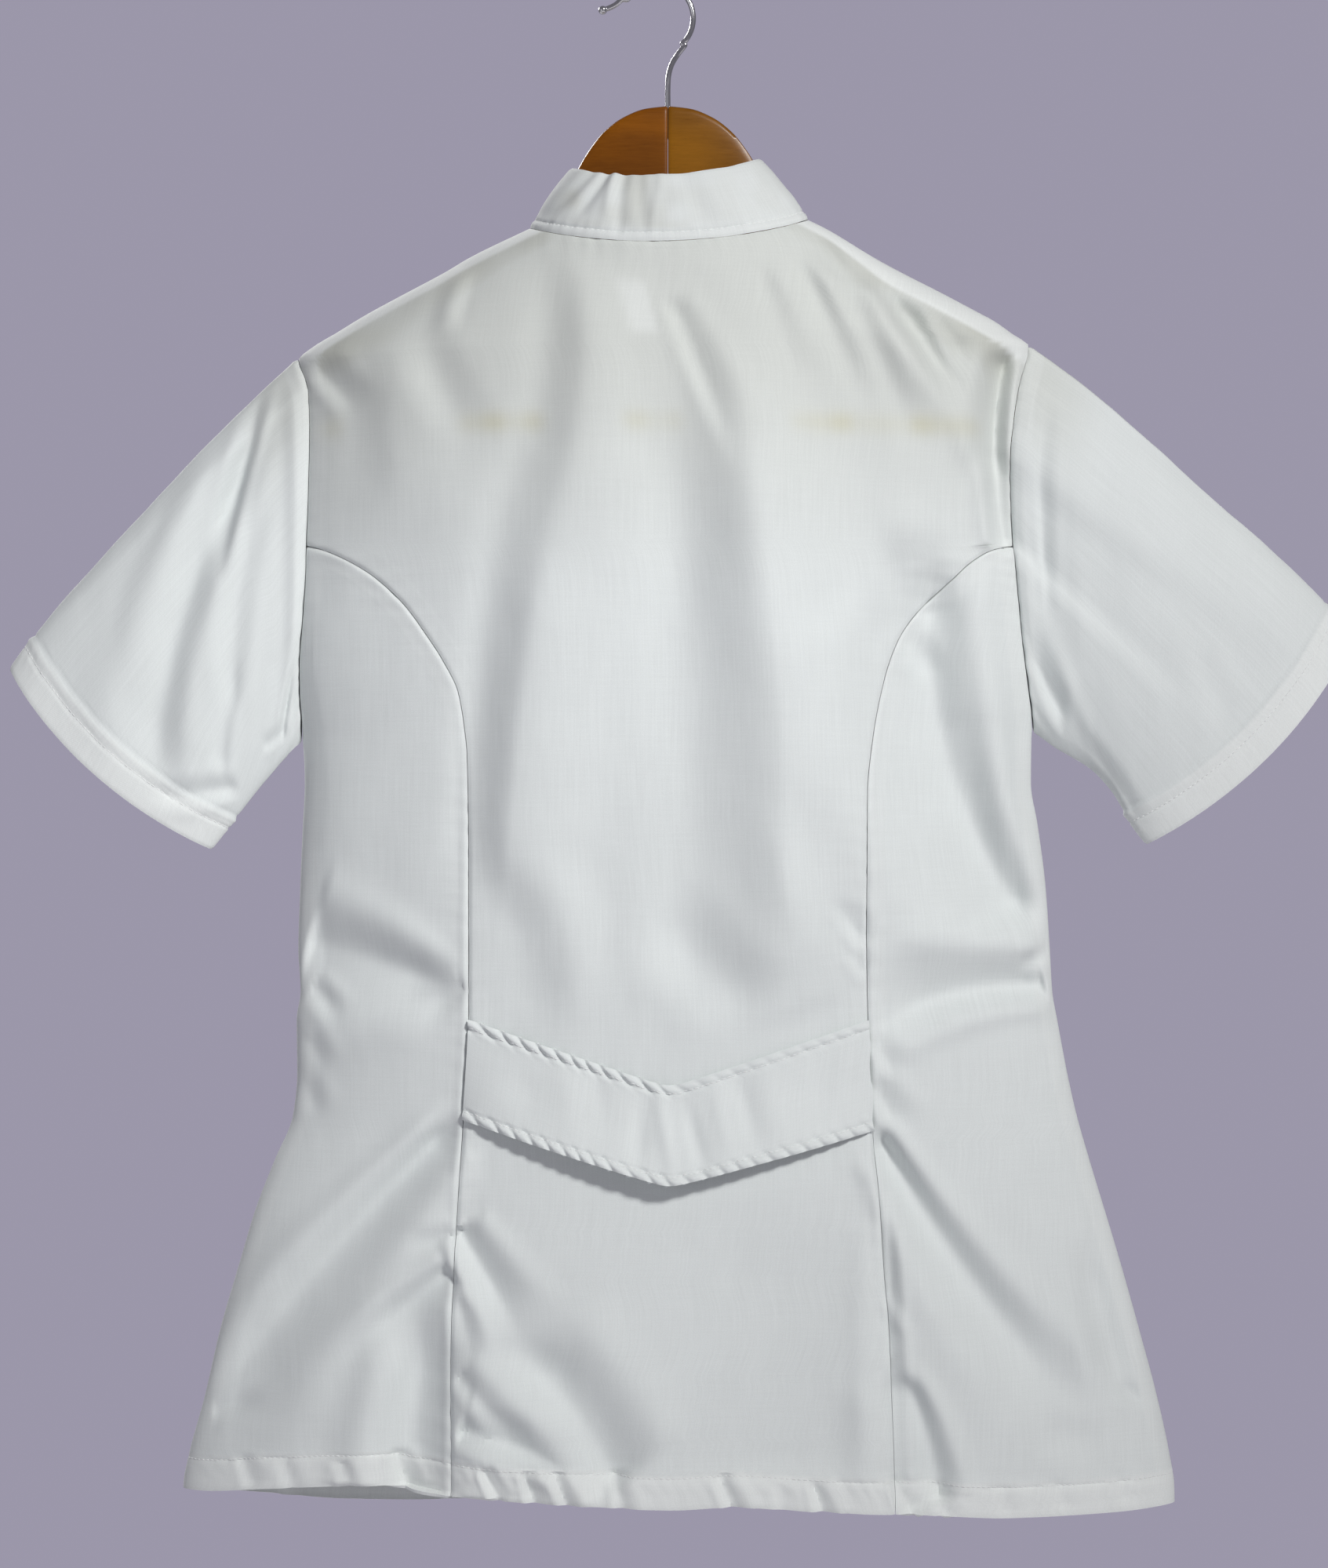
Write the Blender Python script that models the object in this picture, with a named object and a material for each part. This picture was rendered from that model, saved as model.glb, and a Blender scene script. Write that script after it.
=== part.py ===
"""Short-sleeved medical jacket on a wooden hanger, seen from its back (-Y).

All lengths in the tables are millimetres.  "drop" is the distance below the
inner crown of the hook, where the hanger hangs.  x runs to the right as seen
from behind, y runs from the jacket's back to its front, z is up.
"""
import math

import bpy
import numpy as np

MM = 0.001

# ---------------------------------------------------------------- sizes, mm
WALL = 1.5                # cloth wall of every panel
HEM_WALL = 2.2            # turned-up bottom and sleeve hems
SEAM = 0.3                # gap between two sewn pieces
CENTRE_X = 4.8            # centre line of the jacket body
SIDE_CRISP = 1.2          # 1 is an elliptic side fold, more is crisper
HANGER_CURVE = 28.0       # how far the hanger tips come forward
HANGER_HALF = 200.0       # half width at which that is reached

NECK_LEFT, NECK_RIGHT = (-70.0, 132.6), (82.5, 127.9)
NECK_SAG_BACK = 15.0      # back collar seam below the neck points
NECK_DROP_FRONT = 74.0    # front collar seam below the neck points
COLLAR_TOP_LEFT, COLLAR_TOP_RIGHT = (-47.5, 99.4), (56.2, 94.2)
COLLAR_SAG_BACK = 10.5
COLLAR_LEAN = 12.0        # collar leans in towards the neck
COLLAR_END_GAP = 4.0      # between the two ends at the centre front

TIP_LEFT, TIP_RIGHT = 201.7, 193.5      # drop of the shoulder tips
PIT_LEFT, PIT_RIGHT = 411.7, 406.5      # drop of the armpits
SEAM_TOP = 305.9                        # princess seams leave the armholes

LAP = 15.0                # fronts overlap this far past the centre line
LAP_LIFT = 2.8            # how far the upper front lies above the lower one
LAP_BLEND = 26.0          # width over which it comes back down

BELT_LEFT, BELT_RIGHT = -101.6, 114.5
BELT_TOP_END, BELT_TOP_MID = 563.5, 598.0
BELT_LOW_LEFT, BELT_LOW_RIGHT, BELT_LOW_MID = 618.4, 623.5, 651.4
BELT_WALL = 2.2
BELT_STANDOFF = 8.5       # lower edge away from the back at the middle

BUTTON_R = 7.5
BUTTON_T = 2.6
BUTTON_DROPS = (232.0, 330.0, 428.0, 526.0, 624.0)

WIRE_R = 1.45
HOOK_R = 19.5
WOOD_HALF = 6.5           # half thickness of the hanger arms
WOOD_JOINT_X = 5.6        # joint line of the two halves
BORE_R = 1.7
BORE_DEEP = 24.0
BAR_R = 6.2

# ------------------------------------------------------------------- tables
# Outline of the body at each drop: left edge, right edge.
OUTLINE = np.array([
    (121.4, -46.2, 68.5), (127.9, -60.0, 82.5), (132.6, -70.0, 92.6),
    (148.2, -103.7, 119.7), (155.5, -116.6, 133.9), (166.8, -139.1, 157.7),
    (176.3, -158.1, 177.1), (181.0, -166.8, 186.6), (187.9, -178.8, 197.0),
    (193.5, -189.2, 205.6), (201.7, -199.2, 206.5), (220.8, -201.3, 207.8),
    (264.0, -203.0, 209.1), (307.2, -203.9, 209.5), (350.4, -203.9, 210.4),
    (372.0, -203.0, 210.8), (393.6, -199.6, 209.5), (406.5, -197.0, 206.9),
    (411.7, -196.1, 206.5), (436.8, -194.8, 206.1), (458.4, -195.7, 209.5),
    (492.9, -197.0, 213.8), (527.5, -197.9, 216.0), (551.2, -196.6, 217.3),
    (566.4, -198.7, 219.9), (596.6, -198.3, 225.5), (618.2, -200.4, 230.3),
    (644.1, -210.8, 237.6), (670.0, -220.8, 245.4), (700.3, -229.8, 254.4),
    (734.8, -239.8, 264.0), (773.7, -248.8, 274.3), (804.0, -257.0, 280.8),
    (821.2, -260.1, 283.4), (850.0, -260.1, 283.8)])

# Depth of the body at each drop: back, front, share of the hanger's curve
# that is left in the side folds.
DEPTH = np.array([
    (121.0, 34.0, 34.0, 1.00), (133.0, 36.0, 38.0, 1.00),
    (160.0, 41.0, 43.0, 1.00), (205.0, 46.0, 50.0, 1.00),
    (300.0, 50.0, 61.0, 0.90), (410.0, 49.0, 63.0, 0.72),
    (500.0, 44.0, 56.0, 0.55), (566.0, 41.0, 51.0, 0.45),
    (630.0, 42.0, 51.0, 0.38), (700.0, 47.0, 54.0, 0.30),
    (780.0, 53.0, 57.0, 0.24), (850.0, 56.0, 59.0, 0.20)])

# Armhole seams: drop, x on the back, x on the front.
ARMHOLE_LEFT = np.array([
    (201.7, -199.2, -199.2), (204.8, -198.1, -197.6), (207.8, -197.0, -195.2),
    (213.0, -194.6, -191.5), (220.8, -192.5, -188.8), (244.5, -191.6, -186.0),
    (282.5, -192.2, -185.0), (305.9, -193.1, -185.5), (321.0, -193.4, -186.0),
    (349.9, -195.3, -188.5), (371.1, -197.0, -191.5), (387.1, -197.0, -194.0),
    (398.7, -196.3, -195.3), (406.5, -196.0, -195.9), (411.7, -196.1, -196.1)])
ARMHOLE_RIGHT = np.array([
    (193.5, 205.6, 205.6), (197.4, 205.2, 203.9), (201.7, 204.3, 201.6),
    (207.8, 202.2, 198.6), (214.3, 200.0, 196.4), (222.9, 197.9, 194.6),
    (238.0, 195.5, 192.6), (256.6, 193.5, 191.4), (291.2, 194.4, 191.0),
    (311.5, 195.9, 192.3), (342.1, 198.7, 195.6), (362.4, 200.9, 198.6),
    (387.1, 204.3, 203.2), (398.7, 206.1, 205.8), (406.5, 206.9, 206.9)])

# Princess seams of the back: drop, x.
PRINCESS_LEFT = np.array([
    (305.9, -193.1), (308.4, -184.3), (312.3, -174.7), (318.0, -163.7),
    (324.4, -153.9), (340.0, -137.0), (355.5, -125.4), (371.1, -115.2),
    (387.1, -107.4), (407.2, -103.9), (420.7, -102.6), (474.7, -101.7),
    (559.2, -101.7), (618.4, -104.7), (648.0, -106.4), (693.2, -109.0),
    (753.7, -111.0), (814.0, -110.6), (850.0, -110.6)])
PRINCESS_RIGHT = np.array([
    (305.9, 195.4), (308.4, 184.8), (312.3, 176.4), (318.0, 168.4),
    (324.4, 161.6), (329.6, 155.9), (345.2, 139.9), (359.0, 130.5),
    (378.9, 123.1), (413.1, 115.9), (442.3, 112.8), (510.2, 112.4),
    (562.7, 113.3), (623.5, 115.9), (655.6, 118.8), (699.6, 121.7),
    (730.8, 124.3), (816.2, 126.8), (850.0, 127.2)])

# Bottom edge of the back: x, drop.
HEM_BACK = np.array([
    (-258.8, 822.4), (-246.0, 821.7), (-215.4, 818.0), (-171.8, 814.1),
    (-151.1, 813.2), (-124.8, 816.0), (-82.6, 819.1), (-38.7, 821.4),
    (9.3, 823.2), (38.4, 821.8), (86.5, 824.7), (137.1, 827.3),
    (194.8, 831.1), (238.5, 831.3), (282.5, 830.2)])

# Bottom edge of the front, which hangs a little lower: x, drop.
HEM_FRONT = np.array([
    (-258.8, 822.4), (-240.0, 827.0), (-215.0, 831.0), (-176.0, 836.0),
    (-128.0, 838.0), (-80.0, 836.0), (5.0, 836.0), (100.0, 838.0),
    (200.0, 837.0), (250.0, 833.0), (282.5, 830.2)])

# Drops of the rows that all body panels share.
LEVELS = np.array([
    155.5, 166.8, 177.6, 186.2, 193.5, 197.4, 201.7, 207.8, 214.3, 222.9,
    235.0, 248.0, 262.7, 277.3, 291.6, 305.9, 308.4, 312.3, 318.0, 324.4,
    333.1, 343.9, 355.5, 371.1, 387.1, 398.7, 406.5, 411.7, 428.0, 445.0,
    462.0, 480.0, 498.0, 514.0, 529.0, 544.0, 560.0, 577.0, 594.0, 611.0,
    627.0, 643.0, 660.0, 677.0, 695.0, 712.0, 730.0, 748.0, 766.0, 784.0,
    803.3])
FRONT_SKIPS = (312.3, 318.0, 333.1)   # rows that only the back needs
HEM_BLEND_DROP = 730.0    # rows below this bend towards the hem line
RIDGE_TOP_ROWS = 3        # rows between the first level and the collar seam

# Folds of the back: start x, start drop, end x, end drop, sideways bow,
# half width, depth (a ridge is negative).
BACK_FOLDS = np.array([
    (-55.5, 194.2, -64.3, 272.2, 5.0, 17.0, 4.5),
    (-62.3, 266.4, -98.4, 432.1, -4.0, 17.0, 5.5),
    (11.8, 182.5, 43.0, 283.9, -5.0, 15.0, 4.5),
    (42.0, 276.1, 29.3, 498.4, -8.0, 17.0, 5.5),
    (-13.6, 196.2, -7.7, 498.4, 2.0, 19.0, -3.5),
    (76.1, 254.7, 70.3, 400.9, -3.0, 16.0, -3.0),
    (58.6, 439.9, 101.5, 527.7, -6.0, 13.0, 3.0),
    (108.3, 166.9, 153.2, 246.9, -4.0, 8.0, -3.5),
    (123.9, 176.7, 154.1, 211.8, 3.0, 8.0, 3.5),
    (-183.2, 204.9, -146.2, 259.5, 16.0, 10.0, 4.0),
    (185.3, 212.7, 179.5, 293.7, -8.0, 8.0, 7.0),
    (179.5, 283.9, 196.1, 389.2, 2.0, 7.0, 6.0),
    (-174.4, 508.2, -111.1, 537.4, -5.0, 12.0, 5.0),
    (-191.0, 545.2, -173.5, 562.8, 0.0, 8.0, 3.5),
    (-109.1, 620.3, -233.9, 781.2, -12.0, 12.0, 6.5),
    (-131.5, 693.4, -113.0, 693.4, 3.0, 8.0, 3.0),
    (-113.0, 704.1, -163.7, 742.2, 4.0, 8.0, 4.0),
    (-126.7, 734.4, -122.8, 802.6, 0.0, 10.0, 4.5),
    (-103.3, 679.8, -74.0, 718.8, 4.0, 9.0, 5.0),
    (-58.4, 744.1, -19.4, 812.4, 9.0, 11.0, 5.5),
    (-101.3, 796.8, -44.8, 802.6, 5.0, 9.0, 4.5),
    (154.1, 332.7, 171.7, 469.2, 9.0, 9.0, 8.0),
    (167.8, 457.5, 199.0, 510.1, 4.0, 9.0, 7.5),
    (115.1, 558.9, 209.7, 539.4, 4.0, 9.0, 7.5),
    (93.7, 512.1, 110.3, 525.7, 0.0, 6.0, 2.5),
    (117.1, 623.2, 224.3, 757.8, 9.0, 11.0, 6.5),
    (121.0, 656.4, 128.8, 771.4, 0.0, 7.0, 4.5),
    (133.7, 759.7, 150.2, 816.3, -7.0, 9.0, 5.0),
    (239.9, 701.2, 261.4, 771.4, 2.0, 10.0, 4.0)])

# Folds of the hidden front, drawn like those of the back.
FRONT_FOLDS = np.array([
    (-120.0, 190.0, -96.0, 420.0, 10.0, 17.0, 5.0),
    (-60.0, 240.0, -72.0, 520.0, -8.0, 16.0, 4.5),
    (-180.0, 330.0, -150.0, 500.0, 10.0, 11.0, 6.0),
    (-192.0, 548.0, -60.0, 566.0, -6.0, 11.0, 5.0),
    (-70.0, 600.0, -205.0, 800.0, -12.0, 13.0, 6.5),
    (-60.0, 640.0, -78.0, 815.0, 5.0, 14.0, 5.5),
    (126.0, 190.0, 104.0, 430.0, -9.0, 17.0, 5.0),
    (70.0, 240.0, 82.0, 520.0, 8.0, 16.0, 4.5),
    (186.0, 320.0, 160.0, 490.0, -9.0, 11.0, 6.0),
    (205.0, 540.0, 66.0, 572.0, 6.0, 11.0, 5.0),
    (84.0, 610.0, 222.0, 800.0, 10.0, 13.0, 6.5),
    (66.0, 640.0, 84.0, 818.0, -5.0, 14.0, 5.5)])

# Folds of the sleeves: start along, start round, end along, end round,
# half width, depth.  Along is 0 at the armhole and 1 at the cuff; round is 0
# at the top ridge and 1 at the underarm, negative values lie on the front.
SLEEVE_LEFT_FOLDS = np.array([
    (0.06, 0.02, 0.48, 0.90, 9.0, 8.0),
    (0.10, 0.28, 0.30, 0.92, 8.0, 4.5),
    (0.16, 0.84, 0.62, 0.97, 7.0, 5.0),
    (0.10, -0.30, 0.55, -0.85, 10.0, 5.5)])
SLEEVE_RIGHT_FOLDS = np.array([
    (0.05, 0.10, 0.14, 0.62, 7.0, 3.0),
    (0.10, 0.80, 0.58, 0.93, 8.0, 5.5),
    (0.08, -0.25, 0.50, -0.85, 10.0, 5.5)])

# Where each sleeve ends: top corner and lower corner of the cuff (x, drop,
# y), half depth, bow of the hem line, bulge of the top line, hollow of the
# underarm line.
CUFF_LEFT = dict(top=(-358.1, 373.2, 22.0), low=(-246.2, 472.6, 16.0),
                 deep=19.0, bow=10.5, top_bulge=5.2, low_hollow=1.0)
CUFF_RIGHT = dict(top=(384.5, 353.8, 22.0), low=(270.0, 469.6, 16.0),
                  deep=20.0, bow=12.0, top_bulge=4.6, low_hollow=7.0)
SLEEVE_STATIONS = (0.0, 0.06, 0.14, 0.24, 0.36, 0.49, 0.62, 0.74, 0.84,
                   0.88, 1.0)
SLEEVE_DROPS_LEFT = (201.7, 207.8, 214.3, 222.9, 235.0, 262.7, 291.6,
                     324.4, 355.5, 371.1, 387.1, 398.7, 406.5, 411.7)
SLEEVE_DROPS_RIGHT = (193.5, 197.4, 201.7, 207.8, 214.3, 222.9, 248.0, 277.3,
                      308.4, 343.9, 371.1, 387.1, 398.7, 406.5)

# Hanger arms from the centre outwards: distance from the joint, drop of the
# top edge, drop of the lower edge (left half, right half share the shape).
ARM_LEFT = np.array([
    (0.0, 66.4, 141.0), (12.0, 67.8, 141.4), (24.0, 72.4, 142.6),
    (35.0, 80.6, 144.6), (44.0, 92.0, 147.2), (52.0, 106.0, 150.0),
    (60.0, 119.0, 153.4), (68.0, 131.0, 157.0), (77.0, 137.8, 161.8),
    (92.0, 145.0, 171.0), (110.0, 153.4, 183.0), (130.0, 163.6, 196.5),
    (150.0, 173.8, 210.0), (171.0, 184.6, 223.0), (175.0, 187.0, 248.0),
    (177.0, 188.2, 250.5), (187.0, 194.4, 250.5), (191.5, 200.5, 247.0),
    (193.5, 208.0, 240.0)])
ARM_RIGHT = np.array([
    (0.0, 66.4, 141.0), (12.0, 67.8, 141.4), (24.0, 72.4, 142.6),
    (35.0, 80.6, 144.6), (44.0, 92.0, 147.2), (52.0, 105.5, 150.0),
    (60.0, 116.5, 153.4), (68.0, 126.0, 157.0), (77.0, 132.0, 161.8),
    (92.0, 140.6, 171.0), (110.0, 150.0, 183.0), (130.0, 159.6, 196.5),
    (150.0, 169.4, 210.0), (171.0, 179.9, 223.0), (175.0, 182.0, 248.0),
    (177.0, 183.2, 250.5), (186.5, 189.4, 250.5), (190.5, 195.0, 247.0),
    (192.5, 202.0, 240.0)])
BAR_DROP, BAR_Y = 240.5, 23.2
TENON_R, TENON_IN, TENON_OUT = 3.2, 171.5, 184.0   # reach where it starts, ends
TENON_PLAY = 0.3

# Hook path from the tip ball over the crown and down to the wood: x, drop.
HOOK_ENTRY = np.array([
    (-30.0, 13.6), (-26.5, 12.4), (-23.0, 10.6), (-19.6, 7.9)])
HOOK_EXIT = np.array([
    (14.8, 32.8), (10.6, 38.4), (7.6, 43.6), (6.0, 49.4), (5.6, 56.0),
    (5.6, 64.0), (5.6, 74.0), (5.6, 84.0)])


# ------------------------------------------------------------ scene helpers
def clear_scene():
    """Remove every object of the start file."""
    for item in list(bpy.data.objects):
        bpy.data.objects.remove(item, do_unlink=True)


def make_material(name, color, roughness, metallic=0.0):
    """Make a plain Principled material."""
    mat = bpy.data.materials.new(name)
    mat.use_nodes = True
    shader = mat.node_tree.nodes["Principled BSDF"]
    shader.inputs["Base Color"].default_value = (*color, 1.0)
    shader.inputs["Roughness"].default_value = roughness
    shader.inputs["Metallic"].default_value = metallic
    return mat


def add_object(name, points, faces, mat, sharp_deg=50.0):
    """Add a smooth-shaded mesh object from points in millimetres."""
    mesh = bpy.data.meshes.new(name)
    mesh.from_pydata((np.asarray(points) * MM).tolist(), [], faces)
    mesh.update()
    obj = bpy.data.objects.new(name, mesh)
    bpy.context.scene.collection.objects.link(obj)
    mesh.materials.append(mat)
    mesh.shade_smooth()
    mesh.set_sharp_from_angle(angle=math.radians(sharp_deg))
    return obj


def smooth_lookup(table, column, at):
    """Look up one column of a table with a monotone cubic curve."""
    xs, ys = table[:, 0], table[:, column]
    at = np.clip(at, xs[0], xs[-1])
    slope = np.diff(ys) / np.diff(xs)
    tangent = np.zeros(len(xs))
    same = slope[:-1] * slope[1:] > 0
    tangent[1:-1][same] = (2 * slope[:-1] * slope[1:])[same] / (
        slope[:-1] + slope[1:])[same]
    tangent[0], tangent[-1] = slope[0], slope[-1]
    i = np.clip(np.searchsorted(xs, at, side="right") - 1, 0, len(xs) - 2)
    h = xs[i + 1] - xs[i]
    t = (at - xs[i]) / h
    return ((1 + 2 * t) * (1 - t) ** 2 * ys[i] + t * (1 - t) ** 2 * h * tangent[i]
            + t * t * (3 - 2 * t) * ys[i + 1] + t * t * (t - 1) * h * tangent[i + 1])


def smooth_step(low, high, value):
    """Rise from 0 at low to 1 at high without a corner."""
    t = np.clip((value - low) / (high - low), 0.0, 1.0)
    return t * t * (3 - 2 * t)


def unit(vectors):
    """Scale vectors to length one."""
    size = np.linalg.norm(vectors, axis=-1, keepdims=True)
    return vectors / np.maximum(size, 1e-9)


# ----------------------------------------------------------- body as a form
# A point of the body is set by phi (-90 to +90 degrees from the left side
# fold to the right one) and by its drop.
ANGLES = np.linspace(-math.pi / 2, math.pi / 2, 721)
SPREAD = 0.72 * np.sin(ANGLES) + 0.28 * ANGLES * 2 / math.pi


def spread_of(phi):
    """Turn phi into the even spacing used for columns."""
    return np.interp(phi, ANGLES, SPREAD)


def phi_of(spread):
    """Turn column spacing back into phi."""
    return np.interp(spread, SPREAD, ANGLES)


def half_widths(drop):
    """Half widths of the body left and right of its centre line."""
    left = CENTRE_X - smooth_lookup(OUTLINE, 1, drop)
    right = smooth_lookup(OUTLINE, 2, drop) - CENTRE_X
    return left, right


def phi_at(x, drop):
    """Angle of the point of a ring that lies at x."""
    left, right = half_widths(drop)
    share = (x - CENTRE_X) / np.where(x < CENTRE_X, left, right)
    return np.arcsin(np.clip(share, -1.0, 1.0))


def fold_depth(folds, x, drop):
    """Sum of all folds at a point, each a bowed trough with soft ends."""
    total = np.zeros(np.broadcast(x, drop).shape)
    for x0, d0, x1, d1, bow, width, depth in folds:
        dx, dd = x1 - x0, d1 - d0
        length = math.hypot(dx, dd)
        along = ((x - x0) * dx + (drop - d0) * dd) / length ** 2
        across = ((x - x0) * dd - (drop - d0) * dx) / length
        inside = np.clip(along, 0.0, 1.0)
        across = across - bow * 4 * inside * (1 - inside)
        ends = smooth_step(-0.12, 0.2, along) * smooth_step(1.12, 0.8, along)
        total = total + depth * ends * np.exp(-(across / width) ** 2)
    return total


def body_point(face, phi, drop):
    """Point on the outside of the body; face is -1 for back, +1 for front."""
    left, right = half_widths(drop)
    half = np.where(phi < 0, left, right)
    x = CENTRE_X + half * np.sin(phi)
    deep = smooth_lookup(DEPTH, 1 if face < 0 else 2, drop)
    lean = HANGER_CURVE * (np.minimum(half, HANGER_HALF) / HANGER_HALF) ** 2
    lean = lean * smooth_lookup(DEPTH, 3, drop)
    swell = np.maximum(np.cos(phi), 0.0) ** SIDE_CRISP
    folds = BACK_FOLDS if face < 0 else FRONT_FOLDS
    sunk = fold_depth(folds, x, drop) * calm(face, x, drop)
    sunk = sunk * np.minimum(1.0, swell * 3.2)
    y = lean * np.sin(phi) ** 2 + face * (deep * swell - sunk)
    return np.stack([x, y, -drop], axis=-1)


def calm(face, x, drop):
    """Factor that keeps folds off the belt, the closure and the neck."""
    if face > 0:
        lap = smooth_step(26.0, 42.0, np.abs(x - CENTRE_X))
        neck = smooth_step(0.0, 26.0, drop - neck_drop_at(x, +1))
        return lap * neck
    across = smooth_step(-4.0, 8.0, BELT_LEFT - x) + smooth_step(
        -4.0, 8.0, x - BELT_RIGHT)
    below_top = smooth_step(-24.0, -6.0, drop - belt_edge(x, 0.0))
    above_low = smooth_step(24.0, 6.0, drop - belt_edge(x, 1.0))
    neck = smooth_step(2.0, 24.0, drop - neck_drop_at(x, -1))
    return np.clip(1.0 - below_top * above_low + across, 0.0, 1.0) * neck


def neck_drop_at(x, face):
    """Drop of the collar seam above a point at x."""
    (xl, dl), (xr, dr) = NECK_LEFT, NECK_RIGHT
    share = np.clip((x - (xl + xr) / 2) / ((xr - xl) / 2), -1.0, 1.0)
    sag = NECK_SAG_BACK if face < 0 else NECK_DROP_FRONT
    tilt = (dl + dr) / 2 + share * (dr - dl) / 2
    return tilt + sag * (1 - share ** 2) ** 0.75


def belt_edge(x, low):
    """Drop of the belt's upper (low=0) or lower (low=1) edge."""
    mid = (BELT_LEFT + BELT_RIGHT) / 2
    share = np.clip(np.abs(x - mid) / ((BELT_RIGHT - BELT_LEFT) / 2), 0, 1.2)
    share = np.sqrt(share ** 2 + 0.0025) - 0.05 * (1 - np.minimum(share, 1.0))
    low_end = np.where(x < mid, BELT_LOW_LEFT, BELT_LOW_RIGHT)
    top = BELT_TOP_MID + (BELT_TOP_END - BELT_TOP_MID) * share
    bottom = BELT_LOW_MID + (low_end - BELT_LOW_MID) * share
    return top + (bottom - top) * low


def body_out(face, phi, drop):
    """Outward direction of the body at a point."""
    step = 0.02
    p0 = np.maximum(phi - step, -math.pi / 2)
    p1 = np.minimum(phi + step, math.pi / 2)
    across = body_point(face, p1, drop) - body_point(face, p0, drop)
    down = body_point(face, phi, drop + 1.0) - body_point(face, phi, drop - 1.0)
    return unit(np.cross(down, across)) * (-face)


def neck_point(face, alpha):
    """Phi and drop of the collar seam, alpha -90 to +90 left to right."""
    (xl, dl), (xr, dr) = NECK_LEFT, NECK_RIGHT
    share = np.sin(alpha)
    x = (xl + xr) / 2 + share * (xr - xl) / 2
    drop = neck_drop_at(x, face)
    return phi_at(x, drop), drop


def collar_top(face, alpha):
    """Point of the collar's upper edge."""
    (xl, dl), (xr, dr) = COLLAR_TOP_LEFT, COLLAR_TOP_RIGHT
    share, arch = np.sin(alpha), np.cos(alpha)
    x = (xl + xr) / 2 + share * (xr - xl) / 2
    sag = COLLAR_SAG_BACK if face < 0 else NECK_DROP_FRONT - 1.0
    drop = (dl + dr) / 2 + share * (dr - dl) / 2 + sag * np.abs(arch) ** 1.5
    seam = body_point(face, *neck_point(face, alpha))
    y = seam[..., 1] - face * COLLAR_LEAN * arch
    return np.stack([x, y, -drop], axis=-1)


def neck_wall(face, alpha):
    """Outward direction shared by the collar and the panels at their seam."""
    step = 0.03
    a0 = np.maximum(alpha - step, -math.pi / 2)
    a1 = np.minimum(alpha + step, math.pi / 2)
    run = (body_point(face, *neck_point(face, a1))
           - body_point(face, *neck_point(face, a0)))
    side = np.abs(np.abs(alpha) - math.pi / 2) < 0.02
    run = np.where(side[..., None], np.array([0.0, 1.0, 0.0]), unit(run))
    here = body_point(face, *neck_point(face, alpha))
    up = unit(collar_top(face, alpha) - here)
    collar_out = unit(np.cross(run, up))
    centre = np.array([(NECK_LEFT[0] + NECK_RIGHT[0]) / 2, 4.0, 0.0])
    away = (here - centre) * np.array([1.0, 1.0, 0.0])
    flip = np.sign(np.sum(collar_out * away, axis=-1, keepdims=True))
    phi, drop = neck_point(face, alpha)
    panel_out = body_out(face, np.clip(phi, -1.5, 1.5), drop)
    ridge_out = unit(np.stack([np.sign(phi) * 0.46, 0.0 * phi, 0.89 + 0 * phi], -1))
    panel_out = np.where(side[..., None], ridge_out, panel_out)
    return unit(collar_out * flip + panel_out)


def arm_edge(left_side):
    """Armhole table and the drops of its two ends."""
    if left_side:
        return ARMHOLE_LEFT, TIP_LEFT, PIT_LEFT
    return ARMHOLE_RIGHT, TIP_RIGHT, PIT_RIGHT


def arm_point(left_side, face, drop):
    """Phi of the armhole seam at a drop."""
    table, tip, pit = arm_edge(left_side)
    x = smooth_lookup(table, 1 if face < 0 else 2, drop)
    phi = phi_at(x, drop)
    end = (drop <= tip + 0.01) | (drop >= pit - 0.01)
    fold = -math.pi / 2 if left_side else math.pi / 2
    return np.where(end, fold, phi)


def arm_wall(left_side, face, drop):
    """Outward direction shared by the sleeve and the panels at the armhole."""
    _, tip, pit = arm_edge(left_side)
    d0, d1 = np.maximum(drop - 1.5, tip), np.minimum(drop + 1.5, pit)
    run = (body_point(face, arm_point(left_side, face, d1), d1)
           - body_point(face, arm_point(left_side, face, d0), d0))
    run[..., 0] = 0.0
    out = np.stack([0 * drop, face * -run[..., 2], face * run[..., 1]], axis=-1)
    ends = np.where(drop <= tip + 0.01, 1.0, np.where(drop >= pit - 0.01, -1.0, 0.0))
    straight = np.stack([0 * drop, 0 * drop, ends], axis=-1)
    return unit(np.where(ends[..., None] != 0, straight, out))


# ------------------------------------------------------------- panel meshes
def shell_faces(rows, cols):
    """Quads of a closed shell made from two grids of the same size."""
    faces = []
    inner = rows * cols
    for r in range(rows - 1):
        for c in range(cols - 1):
            a = r * cols + c
            b, d, e = a + 1, a + cols, a + cols + 1
            faces.append((a, d, e, b))
            faces.append((inner + a, inner + b, inner + e, inner + d))
    rim = [(0, c) for c in range(cols)]
    rim += [(r, cols - 1) for r in range(1, rows)]
    rim += [(rows - 1, c) for c in range(cols - 2, -1, -1)]
    rim += [(r, 0) for r in range(rows - 2, 0, -1)]
    order = [r * cols + c for r, c in rim]
    for i, a in enumerate(order):
        b = order[(i + 1) % len(order)]
        faces.append((a, b, inner + b, inner + a))
    return faces


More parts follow.
